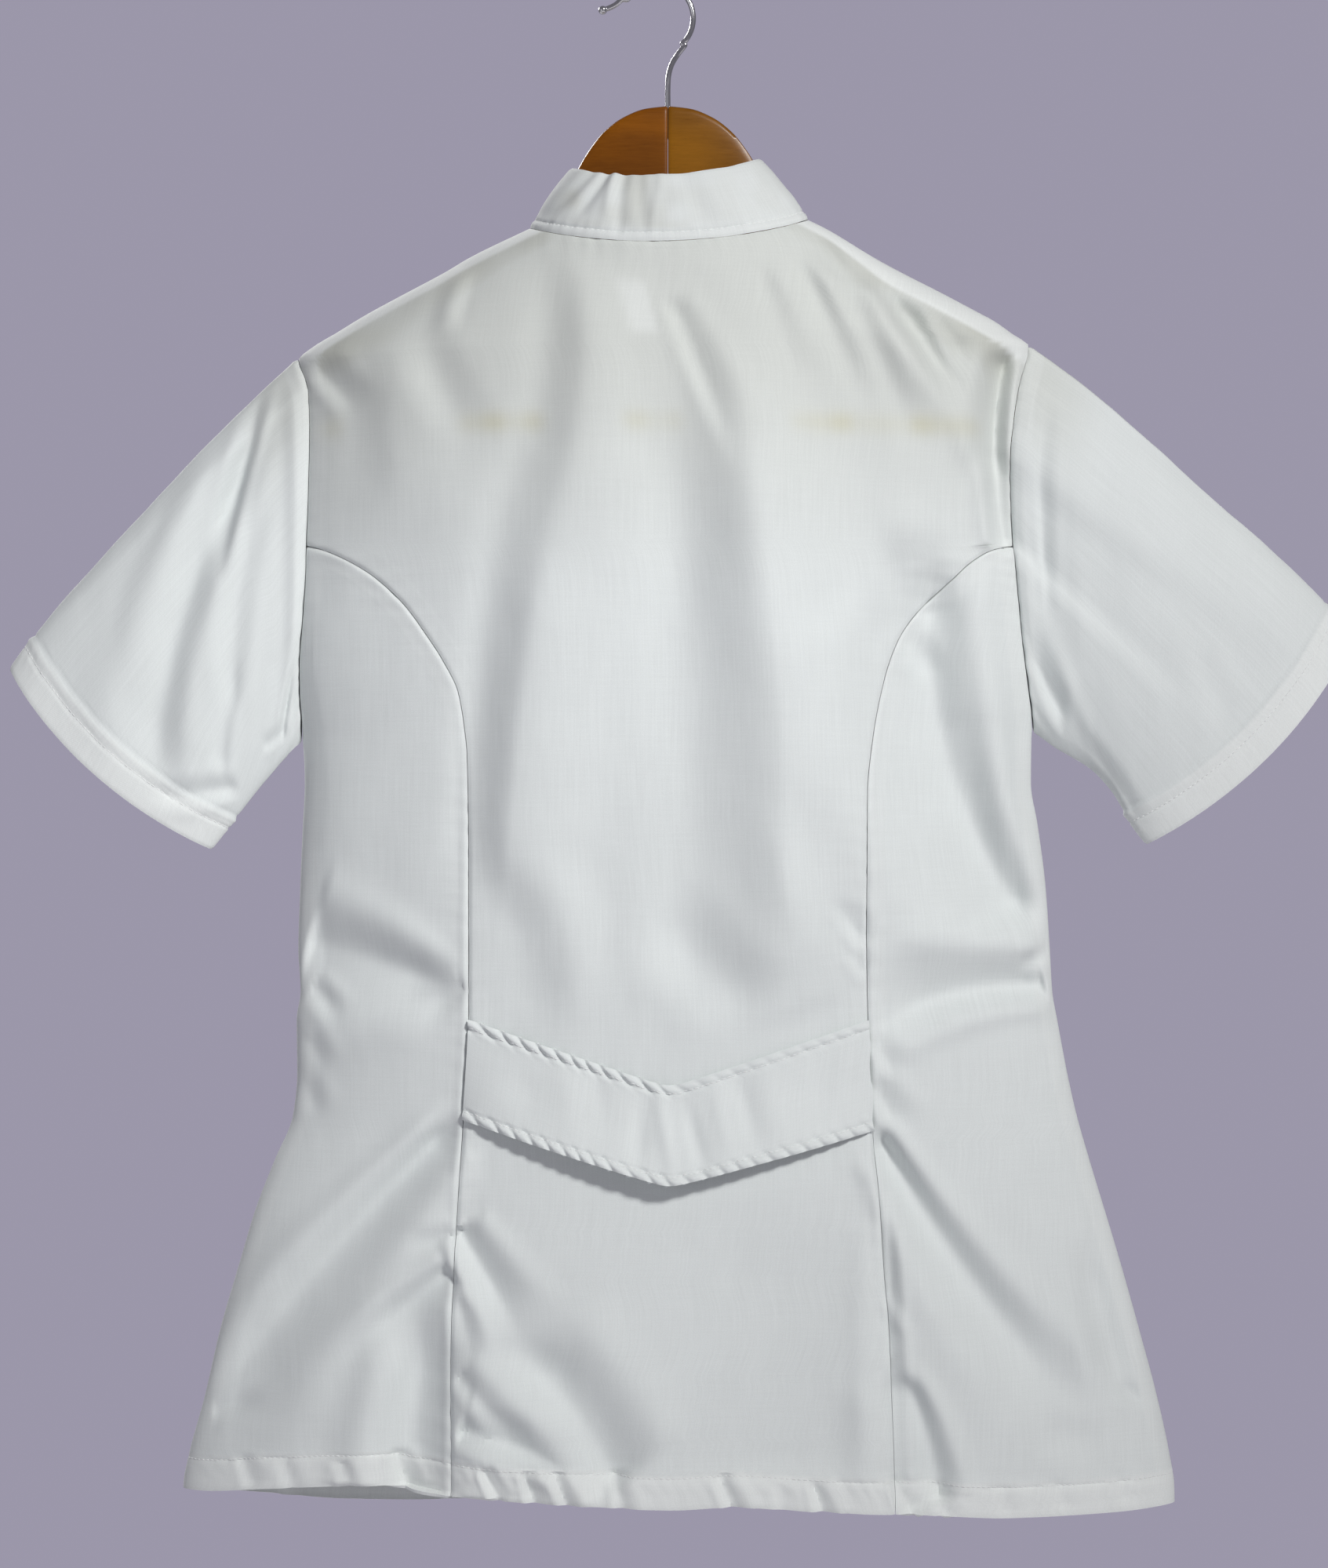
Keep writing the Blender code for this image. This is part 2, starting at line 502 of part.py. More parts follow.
def tube_faces(rows, cols):
    """Quads of a closed wall around a tube; columns wrap round."""
    faces = []
    inner = rows * cols
    for r in range(rows - 1):
        for c in range(cols):
            n = (c + 1) % cols
            a, b, d, e = r * cols + c, r * cols + n, (r + 1) * cols + c, (r + 1) * cols + n
            faces.append((a, d, e, b))
            faces.append((inner + a, inner + b, inner + e, inner + d))
    last = (rows - 1) * cols
    for c in range(cols):
        n = (c + 1) % cols
        faces.append((c, n, inner + n, inner + c))
        faces.append((last + n, last + c, inner + last + c, inner + last + n))
    return faces


def add_shell(name, outer, inward, mat, wall, closed=False, flip=False):
    """Make one cloth piece from its outer grid and its wall directions."""
    rows, cols = outer.shape[:2]
    inner = outer + inward * np.broadcast_to(wall, (rows, cols))[..., None]
    faces = tube_faces(rows, cols) if closed else shell_faces(rows, cols)
    if flip:
        faces = [tuple(reversed(f)) for f in faces]
    points = np.concatenate([outer.reshape(-1, 3), inner.reshape(-1, 3)])
    return add_object(name, points, faces, mat)


def hem_shift(face, x, drop):
    """Lower the last rows so that the bottom row lies on the hem line."""
    table = HEM_BACK if face < 0 else HEM_FRONT
    share = np.clip((drop - HEM_BLEND_DROP) / (HEM_FLAT - HEM_BLEND_DROP), 0, 1)
    return share ** 2 * (smooth_lookup(table, 1, x) - HEM_FLAT)


HEM_FLAT = 821.0          # last row before it is bent to the hem line


def panel_grid(face, left, right, cols, drops):
    """Spread and drop of straight rows between two boundary columns."""
    share = np.linspace(0.0, 1.0, cols)
    spread = left[:, None] + (right - left)[:, None] * share
    drop = np.repeat(drops[:, None], cols, axis=1)
    x = body_point(face, phi_of(spread), drop)[..., 0]
    return spread, drop + hem_shift(face, x, drop)


def side_spread(sign):
    """Column position of the side fold, half a seam gap inside it."""
    return spread_of(sign * (math.pi / 2 - 0.009))


def seam_spread(table, column, drops, shift, face=-1):
    """Column position of a seam, half a seam gap to one side of it."""
    x = smooth_lookup(table, column, drops)
    slope = (smooth_lookup(table, column, drops + 0.5)
             - smooth_lookup(table, column, drops - 0.5))
    x = x + shift * SEAM / 2 * np.sqrt(1 + slope ** 2)
    return spread_of(phi_at(x, drops))


def arm_spread(left_side, face, drops):
    """Column position of the armhole edge of a panel."""
    table, _, _ = arm_edge(left_side)
    return seam_spread(table, 1 if face < 0 else 2, drops,
                       1.0 if left_side else -1.0)


def outer_boundary(left_side, face, drops):
    """Panel edge along the shoulder, armhole and side seam."""
    _, tip, pit = arm_edge(left_side)
    sign = -1.0 if left_side else 1.0
    fold = np.full(len(drops), side_spread(sign))
    arm = arm_spread(left_side, face, np.clip(drops, tip, pit))
    in_hole = (drops > tip - 0.01) & (drops < pit + 0.01)
    return np.where(in_hole, np.where(sign * (arm - fold) > 0, fold, arm), fold)


def edge_walls(face, spread, drop, out, left_kind, right_kind):
    """Set the shared wall directions on the outer columns of a panel."""
    for kind, col, left_side in ((left_kind, 0, True), (right_kind, -1, False)):
        if kind != "outer":
            continue
        _, tip, pit = arm_edge(left_side)
        rows = drop[:, col]
        hole = (rows > tip - 0.01) & (rows < pit + 0.01)
        run = np.gradient(body_point(face, phi_of(spread[:, col]), rows), axis=0)
        fold = unit(np.cross(run, np.array([0.0, 1.0, 0.0])))
        fold = fold * (np.sign(fold[:, :1]) * (-1.0 if left_side else 1.0))
        wall = arm_wall(left_side, face, np.clip(rows, tip, pit))
        out[:, col] = np.where(hole[:, None], wall, fold)
    return out


def hem_walls(drop, wall):
    """Thicker wall over the last rows, where the hem is turned up."""
    return np.where(drop > HEM_FLAT - 17.5, HEM_WALL, wall)


def add_panel(name, face, spread, drop, mat, left_kind, right_kind,
              top_out=None, lift=None):
    """Turn a grid of column positions and drops into a cloth piece."""
    phi = phi_of(spread)
    out = edge_walls(face, spread, drop, body_out(face, phi, drop),
                     left_kind, right_kind)
    if top_out is not None:
        out[0] = top_out
    outer = body_point(face, phi, drop)
    if lift is not None:
        outer = outer + out * lift(outer[..., 0])[..., None]
    return add_shell(name, outer, -out, mat, hem_walls(drop, WALL),
                     flip=face > 0)


def top_patch(face, bottom, top, left, right, rows):
    """Blend between a straight row and the collar seam (Coons patch)."""
    u = np.linspace(0.0, 1.0, len(bottom))[None, :, None]
    v = rows[:, None, None]
    sides = left[:, None] * (1 - u) + right[:, None] * u
    ends = top[None] * v + bottom[None] * (1 - v)
    corners = ((1 - u) * (1 - v) * bottom[0] + u * (1 - v) * bottom[-1]
               + (1 - u) * v * top[0] + u * v * top[-1])
    return sides + ends - corners


def neck_row(face, alphas):
    """Column positions and drops along the collar seam, half a gap below."""
    phi, drop = neck_point(face, alphas)
    limit = math.pi / 2 - 0.009
    spread = spread_of(np.clip(phi, -limit, limit))
    return np.stack([spread, drop + SEAM / 2], axis=-1)


def ridge_samples(drop_end, count, first_drop):
    """Drops along the shoulder seam between the first level and the neck."""
    return np.linspace(first_drop, drop_end + SEAM / 2, count + 1)


# --------------------------------------------------------------- the pieces
def back_levels(start):
    """Shared rows from a start level down, with the hem row last."""
    rows = LEVELS[LEVELS >= start - 0.01]
    return np.append(rows, HEM_FLAT)


BACK_COLS = 21
FRONT_COLS = 9
NECK_FRONT_COLS = 9
ALPHA_BACK = np.linspace(-math.pi / 2, math.pi / 2, BACK_COLS)


def build_back_centre(mat):
    """Centre back, from the collar seam to the hem."""
    drops = back_levels(LEVELS[0])
    above = drops < SEAM_TOP + 0.01
    below = np.clip(drops, SEAM_TOP, None)
    left = np.where(above, outer_boundary(True, -1, drops),
                    seam_spread(PRINCESS_LEFT, 1, below, 1.0))
    right = np.where(above, outer_boundary(False, -1, drops),
                     seam_spread(PRINCESS_RIGHT, 1, below, -1.0))
    spread, drop = panel_grid(-1, left, right, BACK_COLS, drops)
    rows = np.linspace(0.0, 1.0, RIDGE_TOP_ROWS + 1)
    bottom = np.stack([spread[0], drop[0]], axis=-1)
    top = neck_row(-1, ALPHA_BACK)
    left_run = np.stack([np.full(len(rows), top[0, 0]), ridge_samples(
        NECK_LEFT[1], RIDGE_TOP_ROWS, LEVELS[0])], axis=-1)
    right_run = np.stack([np.full(len(rows), top[-1, 0]), ridge_samples(
        NECK_RIGHT[1], RIDGE_TOP_ROWS, LEVELS[0])], axis=-1)
    patch = top_patch(-1, bottom, top, left_run, right_run, rows)[:0:-1]
    spread = np.concatenate([patch[..., 0], spread])
    drop = np.concatenate([patch[..., 1], drop])
    phi = phi_of(spread)
    out = body_out(-1, phi, drop)
    ridge = drop[:, 0] < SEAM_TOP + 0.01
    edged = edge_walls(-1, spread, drop, out.copy(), "outer", "outer")
    out[ridge, 0] = edged[ridge, 0]
    out[ridge, -1] = edged[ridge, -1]
    out[0] = neck_wall(-1, ALPHA_BACK)
    outer = body_point(-1, phi, drop)
    return add_shell("back_centre", outer, -out, mat, hem_walls(drop, WALL))


def build_back_side(left_side, mat):
    """Side back, from a point in the armhole to the hem."""
    drops = back_levels(LEVELS[np.searchsorted(LEVELS, SEAM_TOP + 0.1)])
    outer = outer_boundary(left_side, -1, drops)
    table = PRINCESS_LEFT if left_side else PRINCESS_RIGHT
    seam = seam_spread(table, 1, drops, -1.0 if left_side else 1.0)
    sides = (outer, seam) if left_side else (seam, outer)
    spread, drop = panel_grid(-1, sides[0], sides[1], 8, drops)
    kinds = ("outer", "seam") if left_side else ("seam", "outer")
    name = "back_side_left" if left_side else "back_side_right"
    return add_panel(name, -1, spread, drop, mat, *kinds)


def lap_lift(x):
    """Lift of the upper front over the lower one near the centre line."""
    return LAP_LIFT * smooth_step(LAP + LAP_BLEND, LAP + 2.0, x - CENTRE_X)


def front_columns(left_side, face_rows, outer, inner_x):
    """Even columns with two extra ones that hold the overlap flat."""
    share = np.linspace(0.0, 1.0, FRONT_COLS)
    sign = -1.0 if left_side else 1.0
    marks = [CENTRE_X + sign * (LAP + LAP_BLEND), CENTRE_X + sign * (LAP + 2.0),
             CENTRE_X, inner_x]
    marks = np.stack([spread_of(phi_at(np.full(len(face_rows), m), face_rows))
                      for m in marks], axis=1)
    wide = outer[:, None] + (marks[:, :1] - outer[:, None]) * share[None, :]
    return np.concatenate([wide, marks[:, 1:]], axis=1)


def build_front(left_side, mat):
    """Front from the side seam to the overlap; the right one lies on top."""
    sign = -1.0 if left_side else 1.0
    inner_x = CENTRE_X - sign * LAP
    first = 222.9
    drops = back_levels(first)
    drops = drops[~np.isin(drops, FRONT_SKIPS)]
    outer = outer_boundary(left_side, +1, drops)
    spread = front_columns(left_side, drops, outer, inner_x)
    drop = np.repeat(drops[:, None], spread.shape[1], axis=1)
    x = body_point(+1, phi_of(spread), drop)[..., 0]
    drop = drop + hem_shift(+1, x, drop)
    top, run, back, rows = front_top(left_side, first, spread, inner_x)
    bottom = np.stack([spread[0], drop[0]], axis=-1)
    patch = coons(bottom, top, run, back, rows)[:0:-1]
    spread = np.concatenate([patch[..., 0], spread])
    drop = np.concatenate([patch[..., 1], drop])
    top_out = neck_wall(+1, front_alphas(left_side, inner_x))
    if not left_side:
        spread, drop, top_out = spread[:, ::-1], drop[:, ::-1], top_out[::-1]
    kinds = ("outer", "free") if left_side else ("free", "outer")
    name = "front_left" if left_side else "front_right"
    lift = None if left_side else lap_lift
    return add_panel(name, +1, spread, drop, mat, *kinds,
                     top_out=top_out, lift=lift)


def front_alphas(left_side, inner_x):
    """Positions along the front neckline, from the neck point inwards."""
    sign = -1.0 if left_side else 1.0
    mid, half = (NECK_LEFT[0] + NECK_RIGHT[0]) / 2, (NECK_RIGHT[0] - NECK_LEFT[0]) / 2
    marks = [CENTRE_X + sign * (LAP + LAP_BLEND), CENTRE_X + sign * (LAP + 2.0),
             CENTRE_X, inner_x]
    marks = [math.asin((m - mid) / half) for m in marks]
    wide = np.linspace(sign * math.pi / 2, marks[0], FRONT_COLS)
    return np.concatenate([wide, marks[1:]])


def front_top(left_side, first, spread, inner_x):
    """Boundaries of the front above its first straight row."""
    _, tip, _ = arm_edge(left_side)
    neck = NECK_LEFT if left_side else NECK_RIGHT
    levels = LEVELS[(LEVELS < first - 0.01)][::-1]
    shoulder = ridge_samples(neck[1], RIDGE_TOP_ROWS, LEVELS[0])[1:]
    side_drops = np.concatenate([[first], levels, shoulder])
    side = outer_boundary(left_side, +1, side_drops)
    run = np.stack([side, side_drops], axis=-1)
    rows = (first - side_drops) / (first - side_drops[-1])
    top = neck_row(+1, front_alphas(left_side, inner_x))
    top[-2:, 1] += (0.4, 0.9)
    inner_drops = first + (top[-1, 1] - first) * rows
    inner = spread_of(phi_at(np.full(len(rows), inner_x), inner_drops))
    inner[-1] = top[-1, 0]
    top[0] = run[-1]
    return top, run, np.stack([inner, inner_drops], axis=-1), rows


def coons(bottom, top, run, back, rows):
    """Coons patch with uneven columns, rows counted up from the bottom."""
    u = np.linspace(0.0, 1.0, len(bottom))
    u = (bottom[:, 0] - bottom[0, 0]) / (bottom[-1, 0] - bottom[0, 0])
    w = (top[:, 0] - top[0, 0]) / (top[-1, 0] - top[0, 0])
    v = rows[:, None]
    mix = (u[None] * (1 - v) + w[None] * v)[..., None]
    v = v[..., None]
    sides = run[:, None] * (1 - mix) + back[:, None] * mix
    ends = top[None] * v + bottom[None] * (1 - v)
    corners = ((1 - mix) * (1 - v) * bottom[0] + mix * (1 - v) * bottom[-1]
               + (1 - mix) * v * top[0] + mix * v * top[-1])
    return sides + ends - corners


def build_collar(mat):
    """Stand collar: a leaning strip round the neck, open at the front."""
    mid, half = (NECK_LEFT[0] + NECK_RIGHT[0]) / 2, (NECK_RIGHT[0] - NECK_LEFT[0]) / 2
    left = front_alphas(True, CENTRE_X)[:-1][::-1]
    left[0] = math.asin((CENTRE_X - COLLAR_END_GAP / 2 - mid) / half)
    right = front_alphas(False, CENTRE_X)[:-1]
    right[-1] = math.asin((CENTRE_X + COLLAR_END_GAP / 2 - mid) / half)
    parts = ((+1, left), (-1, ALPHA_BACK[1:-1]), (+1, right))
    seam = np.concatenate([body_point(f, *neck_point(f, a)) for f, a in parts])
    top = np.concatenate([collar_top(f, a) for f, a in parts])
    wall = np.concatenate([neck_wall(f, a) for f, a in parts])
    up = unit(top - seam)
    seam = seam + up * SEAM / 2
    run = np.gradient(seam, axis=0)
    out = unit(np.cross(run, up))
    away = seam - np.array([mid, 4.0, 0.0])
    away[:, 2] = 0.0
    out = out * np.sign(np.sum(out * away, axis=1, keepdims=True))
    shares = np.array([0.0, 0.14, 0.55, 1.0])
    bow = 1.6 * np.sin(math.pi * shares)
    outer = (seam[None] * (1 - shares[:, None, None]) + top[None] * shares[:, None, None]
             + out[None] * bow[:, None, None])
    inward = -np.repeat(out[None], len(shares), axis=0)
    inward[0] = -wall
    walls = np.array([2.0, 2.0, 1.7, 1.9])[:, None]
    return add_shell("collar", outer, inward, mat, walls, flip=True)


def sleeve_loop(left_side, drops):
    """Armhole seam as a loop: down the back, then up the front."""
    drops = np.asarray(drops)
    down = body_point(-1, arm_point(left_side, -1, drops), drops)
    up_drops = drops[-2:0:-1]
    up = body_point(+1, arm_point(left_side, +1, up_drops), up_drops)
    wall = np.concatenate([arm_wall(left_side, -1, drops),
                           arm_wall(left_side, +1, up_drops)])
    return np.concatenate([down, up]), wall


def round_share(loop, half):
    """Position round the loop: 0 top, 1 underarm, -1..0 up the front."""
    steps = np.linalg.norm(np.diff(loop, axis=0), axis=1)
    run = np.concatenate([[0.0], np.cumsum(steps)])
    back = run[:half + 1] / run[half]
    rest = np.linalg.norm(loop[0] - loop[-1]) + run[-1] - run[half]
    front = -1.0 + (run[half + 1:] - run[half]) / rest
    return np.concatenate([back, front])


def build_sleeve(left_side, mat):
    """Set-in sleeve: a flattened tube from the armhole to the cuff."""
    cuff = CUFF_LEFT if left_side else CUFF_RIGHT
    drops = SLEEVE_DROPS_LEFT if left_side else SLEEVE_DROPS_RIGHT
    loop, wall = sleeve_loop(left_side, drops)
    turn = round_share(loop, len(drops) - 1)
    top = np.array([cuff["top"][0], cuff["top"][2], -cuff["top"][1]])
    low = np.array([cuff["low"][0], cuff["low"][2], -cuff["low"][1]])
    q = np.cos(math.pi * np.abs(turn))
    deep = np.abs(np.sin(math.pi * turn)) ** 1.1 * -np.sign(turn)
    middle, reach = (top + low) / 2, (top - low) / 2
    line = unit(reach)
    along_dir = np.array([line[2], 0.0, -line[0]])
    along_dir = along_dir * (-1.0 if along_dir[2] > 0 else 1.0)
    end = middle + q[:, None] * reach + (1 - q[:, None] ** 2) * cuff["bow"] * along_dir
    end[:, 1] += deep * cuff["deep"]
    w = np.array(SLEEVE_STATIONS)[:, None, None]
    grid = loop[None] * (1 - w) + end[None] * w
    swell = np.sin(math.pi * np.clip(w[..., 0], 0, 1))
    ends = 1 - (2 * w[..., 0] - 1) ** 4
    upper = np.maximum(q, 0.0)[None] ** 2
    lower = np.maximum(-q, 0.0)[None] ** 2
    grid += (line * cuff["top_bulge"]) * (ends * upper)[..., None]
    grid += (line * cuff["low_hollow"]) * (swell ** 2 * lower)[..., None]
    grid[..., 1] += 5.0 * swell * deep[None]
    folds = SLEEVE_LEFT_FOLDS if left_side else SLEEVE_RIGHT_FOLDS
    sunk = sleeve_folds(folds, w[..., 0], turn[None], 215.0, 210.0)
    sunk = sunk * smooth_step(0.0, 0.14, w[..., 0]) * np.minimum(1.0, 2.5 * np.abs(deep))
    grid[..., 1] -= sunk * np.sign(deep)[None]
    around = np.roll(grid, -1, axis=1) - np.roll(grid, 1, axis=1)
    down = np.gradient(grid, axis=0)
    out = unit(np.cross(around, down))
    middle_line = grid.mean(axis=1, keepdims=True)
    if np.sum(out * (grid - middle_line)) < 0:
        out = -out
    out[0] = wall
    shift = SEAM / 2 + 0.6 * (np.abs(q) > 0.999)
    grid[0, :, 0] += (-1.0 if left_side else 1.0) * shift
    walls = np.where(np.array(SLEEVE_STATIONS) > 0.86, HEM_WALL, WALL)[:, None]
    name = "sleeve_left" if left_side else "sleeve_right"
    return add_shell(name, grid, -out, mat, walls, closed=True, flip=not left_side)


def sleeve_folds(folds, along, turn, length, girth):
    """Sum of the sleeve folds, straight troughs with soft ends."""
    total = np.zeros(np.broadcast(along, turn).shape)
    for a0, t0, a1, t1, width, depth in folds:
        da, dt = (a1 - a0) * length, (t1 - t0) * girth
        size = math.hypot(da, dt)
        u, v = (along - a0) * length, (turn - t0) * girth
        share = (u * da + v * dt) / size ** 2
        across = (u * dt - v * da) / size
        ends = smooth_step(-0.1, 0.2, share) * smooth_step(1.1, 0.8, share)
        total = total + depth * ends * np.exp(-(across / width) ** 2)
    return total


def build_belt(mat):
    """Half belt: lies on the centre back, lower edge standing off."""
    inset = SEAM
    x = np.linspace(BELT_LEFT + inset, BELT_RIGHT - inset, 23)
    low = np.linspace(0.0, 1.0, 5)[:, None]
    drop = belt_edge(x[None], low)
    left = smooth_lookup(PRINCESS_LEFT, 1, drop) + inset
    right = smooth_lookup(PRINCESS_RIGHT, 1, drop) - inset
    share = (x - x[0]) / (x[-1] - x[0])
    x = left + (right - left) * share[None]
    drop = belt_edge(x, low)
    phi = phi_at(x, drop)
    base = body_point(-1, phi, drop)
    out = body_out(-1, phi, drop)
    arch = 1 - (2 * share[None] - 1) ** 2
    stand = 0.55 + BELT_STANDOFF * low ** 1.6 * arch ** 0.8
    outer = base + out * (stand + BELT_WALL)[..., None]
    return add_shell("back_belt", outer, -out, mat, BELT_WALL)


def build_button(index, drop, mat):
    """Round button on the closure."""
    d = np.array(drop)
    phi = phi_at(np.array(CENTRE_X), d)
    base = body_point(+1, phi, d)
    out = body_out(+1, phi, d)
    side = unit(np.cross(out, np.array([0.0, 0.0, 1.0])))
    up = np.cross(side, out)
    turn = np.linspace(0.0, 2 * math.pi, 16, endpoint=False)
    ring = np.cos(turn)[:, None] * side + np.sin(turn)[:, None] * up
    lift = LAP_LIFT + 0.35
    profile = ((1.0, 0.0), (1.0, BUTTON_T - 0.6), (0.86, BUTTON_T))
    points = [base + out * (lift + h) + ring * BUTTON_R * r for r, h in profile]
    points = np.concatenate(points + [[base + out * lift],
                                      [base + out * (lift + BUTTON_T - 0.4)]])
    faces = []
    n, rows = 16, len(profile)
    for r in range(rows - 1):
        for c in range(n):
            m = (c + 1) % n
            faces.append((r * n + c, (r + 1) * n + c, (r + 1) * n + m, r * n + m))
    for c in range(n):
        m = (c + 1) % n
        faces.append((c, m, rows * n))
        faces.append(((rows - 1) * n + m, (rows - 1) * n + c, rows * n + 1))
    return add_object(f"button_{index}", points, faces, mat, sharp_deg=35.0)


# ---------------------------------------------------------------- the hanger
def loft(name, rings, mat, sharp_deg=40.0):
    """Closed body through rings of points, with flat caps at both ends."""
    count, size = len(rings), len(rings[0])
    faces = []
    for r in range(count - 1):
        for c in range(size):
            m = (c + 1) % size
            faces.append((r * size + c, r * size + m, (r + 1) * size + m,
                          (r + 1) * size + c))
    faces.append(tuple(range(size - 1, -1, -1)))
    faces.append(tuple((count - 1) * size + c for c in range(size)))
    return add_object(name, np.concatenate(rings), faces, mat, sharp_deg)


def wood_y(x):
    """Middle plane of the hanger, curved forward towards its tips."""
    return HANGER_CURVE * (np.abs(x - CENTRE_X) / HANGER_HALF) ** 2


def build_hanger_half(left_side, mat):
    """One wooden arm from the joint to its rounded tip."""
    table = ARM_LEFT if left_side else ARM_RIGHT
    sign = -1.0 if left_side else 1.0
    rings = []
    for reach, top, low in table:
        x = WOOD_JOINT_X + sign * (SEAM / 2 + reach)
        y = wood_y(x)
        high = (low - top) / 2
        soft = min(4.5, high * 0.6)
        corner = ((1.0, 0.0), (0.72, 0.72), (0.0, 1.0))
        ring = []
        for sy, sz in ((1, 1), (-1, 1), (-1, -1), (1, -1)):
            turn = corner if sy * sz > 0 else corner[::-1]
            for cy, cz in turn:
                ring.append((x, y + sy * (WOOD_HALF - soft + soft * cy),
                             -(top + low) / 2 + sz * (high - soft + soft * cz)))
        rings.append(np.array(ring))
    if left_side:
        rings = rings[::-1]
    name = "hanger_left" if left_side else "hanger_right"
    obj = loft(name, rings, mat)
    middle = wood_y(WOOD_JOINT_X)
    bore_hole(obj, "shaft", (WOOD_JOINT_X, middle, -60.0),
              (WOOD_JOINT_X, middle, -66.4 - BORE_DEEP), BORE_R)
    bore_hole(obj, "tenon", (WOOD_JOINT_X + sign * 160.0, BAR_Y, -BAR_DROP),
              (WOOD_JOINT_X + sign * (TENON_OUT + 0.5), BAR_Y, -BAR_DROP),
              TENON_R + TENON_PLAY)
    return obj


def rod_rings(stations, count=16, turn0=0.1):
    """Rings of a straight rod through (centre point, radius) stations."""
    run = unit(np.subtract(stations[-1][0], stations[0][0]))
    side = unit(np.cross(run, (0.0, 1.0, 0.02)))
    up = np.cross(run, side)
    turn = np.linspace(0.0, 2 * math.pi, count, endpoint=False) + turn0
    ring = np.cos(turn)[:, None] * side + np.sin(turn)[:, None] * up
    return [np.asarray(point) + radius * ring for point, radius in stations]


def bore_hole(obj, name, start, end, radius):
    """Cut a round hole with an exact Boolean."""
    rings = rod_rings([(start, radius), (end, radius)])
    cutter = loft(f"{obj.name}_{name}", rings, obj.data.materials[0])
    cutter.hide_render = True
    cutter.display_type = "WIRE"
    cut = obj.modifiers.new(name, "BOOLEAN")
    cut.operation = "DIFFERENCE"
    cut.solver = "EXACT"
    cut.object = cutter


def build_bar(mat):
    """Trouser bar with a tenon in each arm tip."""
    marks = ((-TENON_OUT, TENON_R), (-TENON_IN, TENON_R), (-TENON_IN, BAR_R),
             (TENON_IN, BAR_R), (TENON_IN, TENON_R), (TENON_OUT, TENON_R))
    stations = [((WOOD_JOINT_X + x, BAR_Y, -BAR_DROP), r) for x, r in marks]
    return loft("hanger_bar", rod_rings(stations), mat)


def hook_path():
    """Centre line of the hook, from its tip to the end of its shaft."""
    angles = np.radians(np.linspace(148.0, -46.0, 17))
    centre_drop = HOOK_R - WIRE_R
    arc = np.stack([HOOK_R * np.cos(angles), centre_drop - HOOK_R * np.sin(angles)],
                   axis=-1)
    return np.concatenate([HOOK_ENTRY, arc, HOOK_EXIT])


def build_hook(mat):
    """Chromed wire hook with a small ball at its tip."""
    path = hook_path()
    points = np.stack([path[:, 0], np.zeros(len(path)), -path[:, 1]], axis=-1)
    runs = unit(np.gradient(points, axis=0))
    turn = np.linspace(0.0, 2 * math.pi, 8, endpoint=False)
    side = np.array([0.0, 1.0, 0.0])
    rings = []
    for share in (-0.98, -0.8, -0.4, 0.0, 0.5):
        radius = 2.3 * math.sqrt(1 - share ** 2)
        rings.append(wire_ring(points[0] + runs[0] * share * 2.3, runs[0], side,
                               radius, turn))
    for point, run in zip(points[1:], runs[1:]):
        rings.append(wire_ring(point, run, side, WIRE_R, turn))
    return loft("hook", rings, mat)


def wire_ring(point, run, side, radius, turn):
    """Ring of points round the wire."""
    up = np.cross(run, side)
    return point + radius * (np.cos(turn)[:, None] * side
                             + np.sin(turn)[:, None] * up)


def main():
    """Build every piece of the jacket and its hanger."""
    clear_scene()
    cloth = make_material("cloth_white", (0.68, 0.72, 0.71), 0.75)
    wood_dark = make_material("wood_amber", (0.42, 0.20, 0.07), 0.4)
    wood_light = make_material("wood_honey", (0.55, 0.33, 0.14), 0.4)
    chrome = make_material("hook_chrome", (0.75, 0.75, 0.75), 0.18, 1.0)
    button = make_material("button_white", (0.80, 0.80, 0.78), 0.35)
    build_back_centre(cloth)
    build_back_side(True, cloth)
    build_back_side(False, cloth)
    build_front(True, cloth)
    build_front(False, cloth)
    build_collar(cloth)
    build_sleeve(True, cloth)
    build_sleeve(False, cloth)
    build_belt(cloth)
    for index, drop in enumerate(BUTTON_DROPS, start=1):
        build_button(index, drop, button)
    build_hanger_half(True, wood_dark)
    build_hanger_half(False, wood_light)
    build_bar(wood_light)
    build_hook(chrome)


main()
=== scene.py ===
"""Looks of a short-sleeved medical jacket that hangs on a wooden hanger.

Seen from its back (-Y), as it hangs.  Lengths in the tables are millimetres:
"drop" is the distance below the inner crown of the hook, x runs to the right
as seen from behind, and y runs from the jacket's back to its front.  Meshes
are written in metres.
"""
import logging
import math
from dataclasses import dataclass, field
from enum import Enum

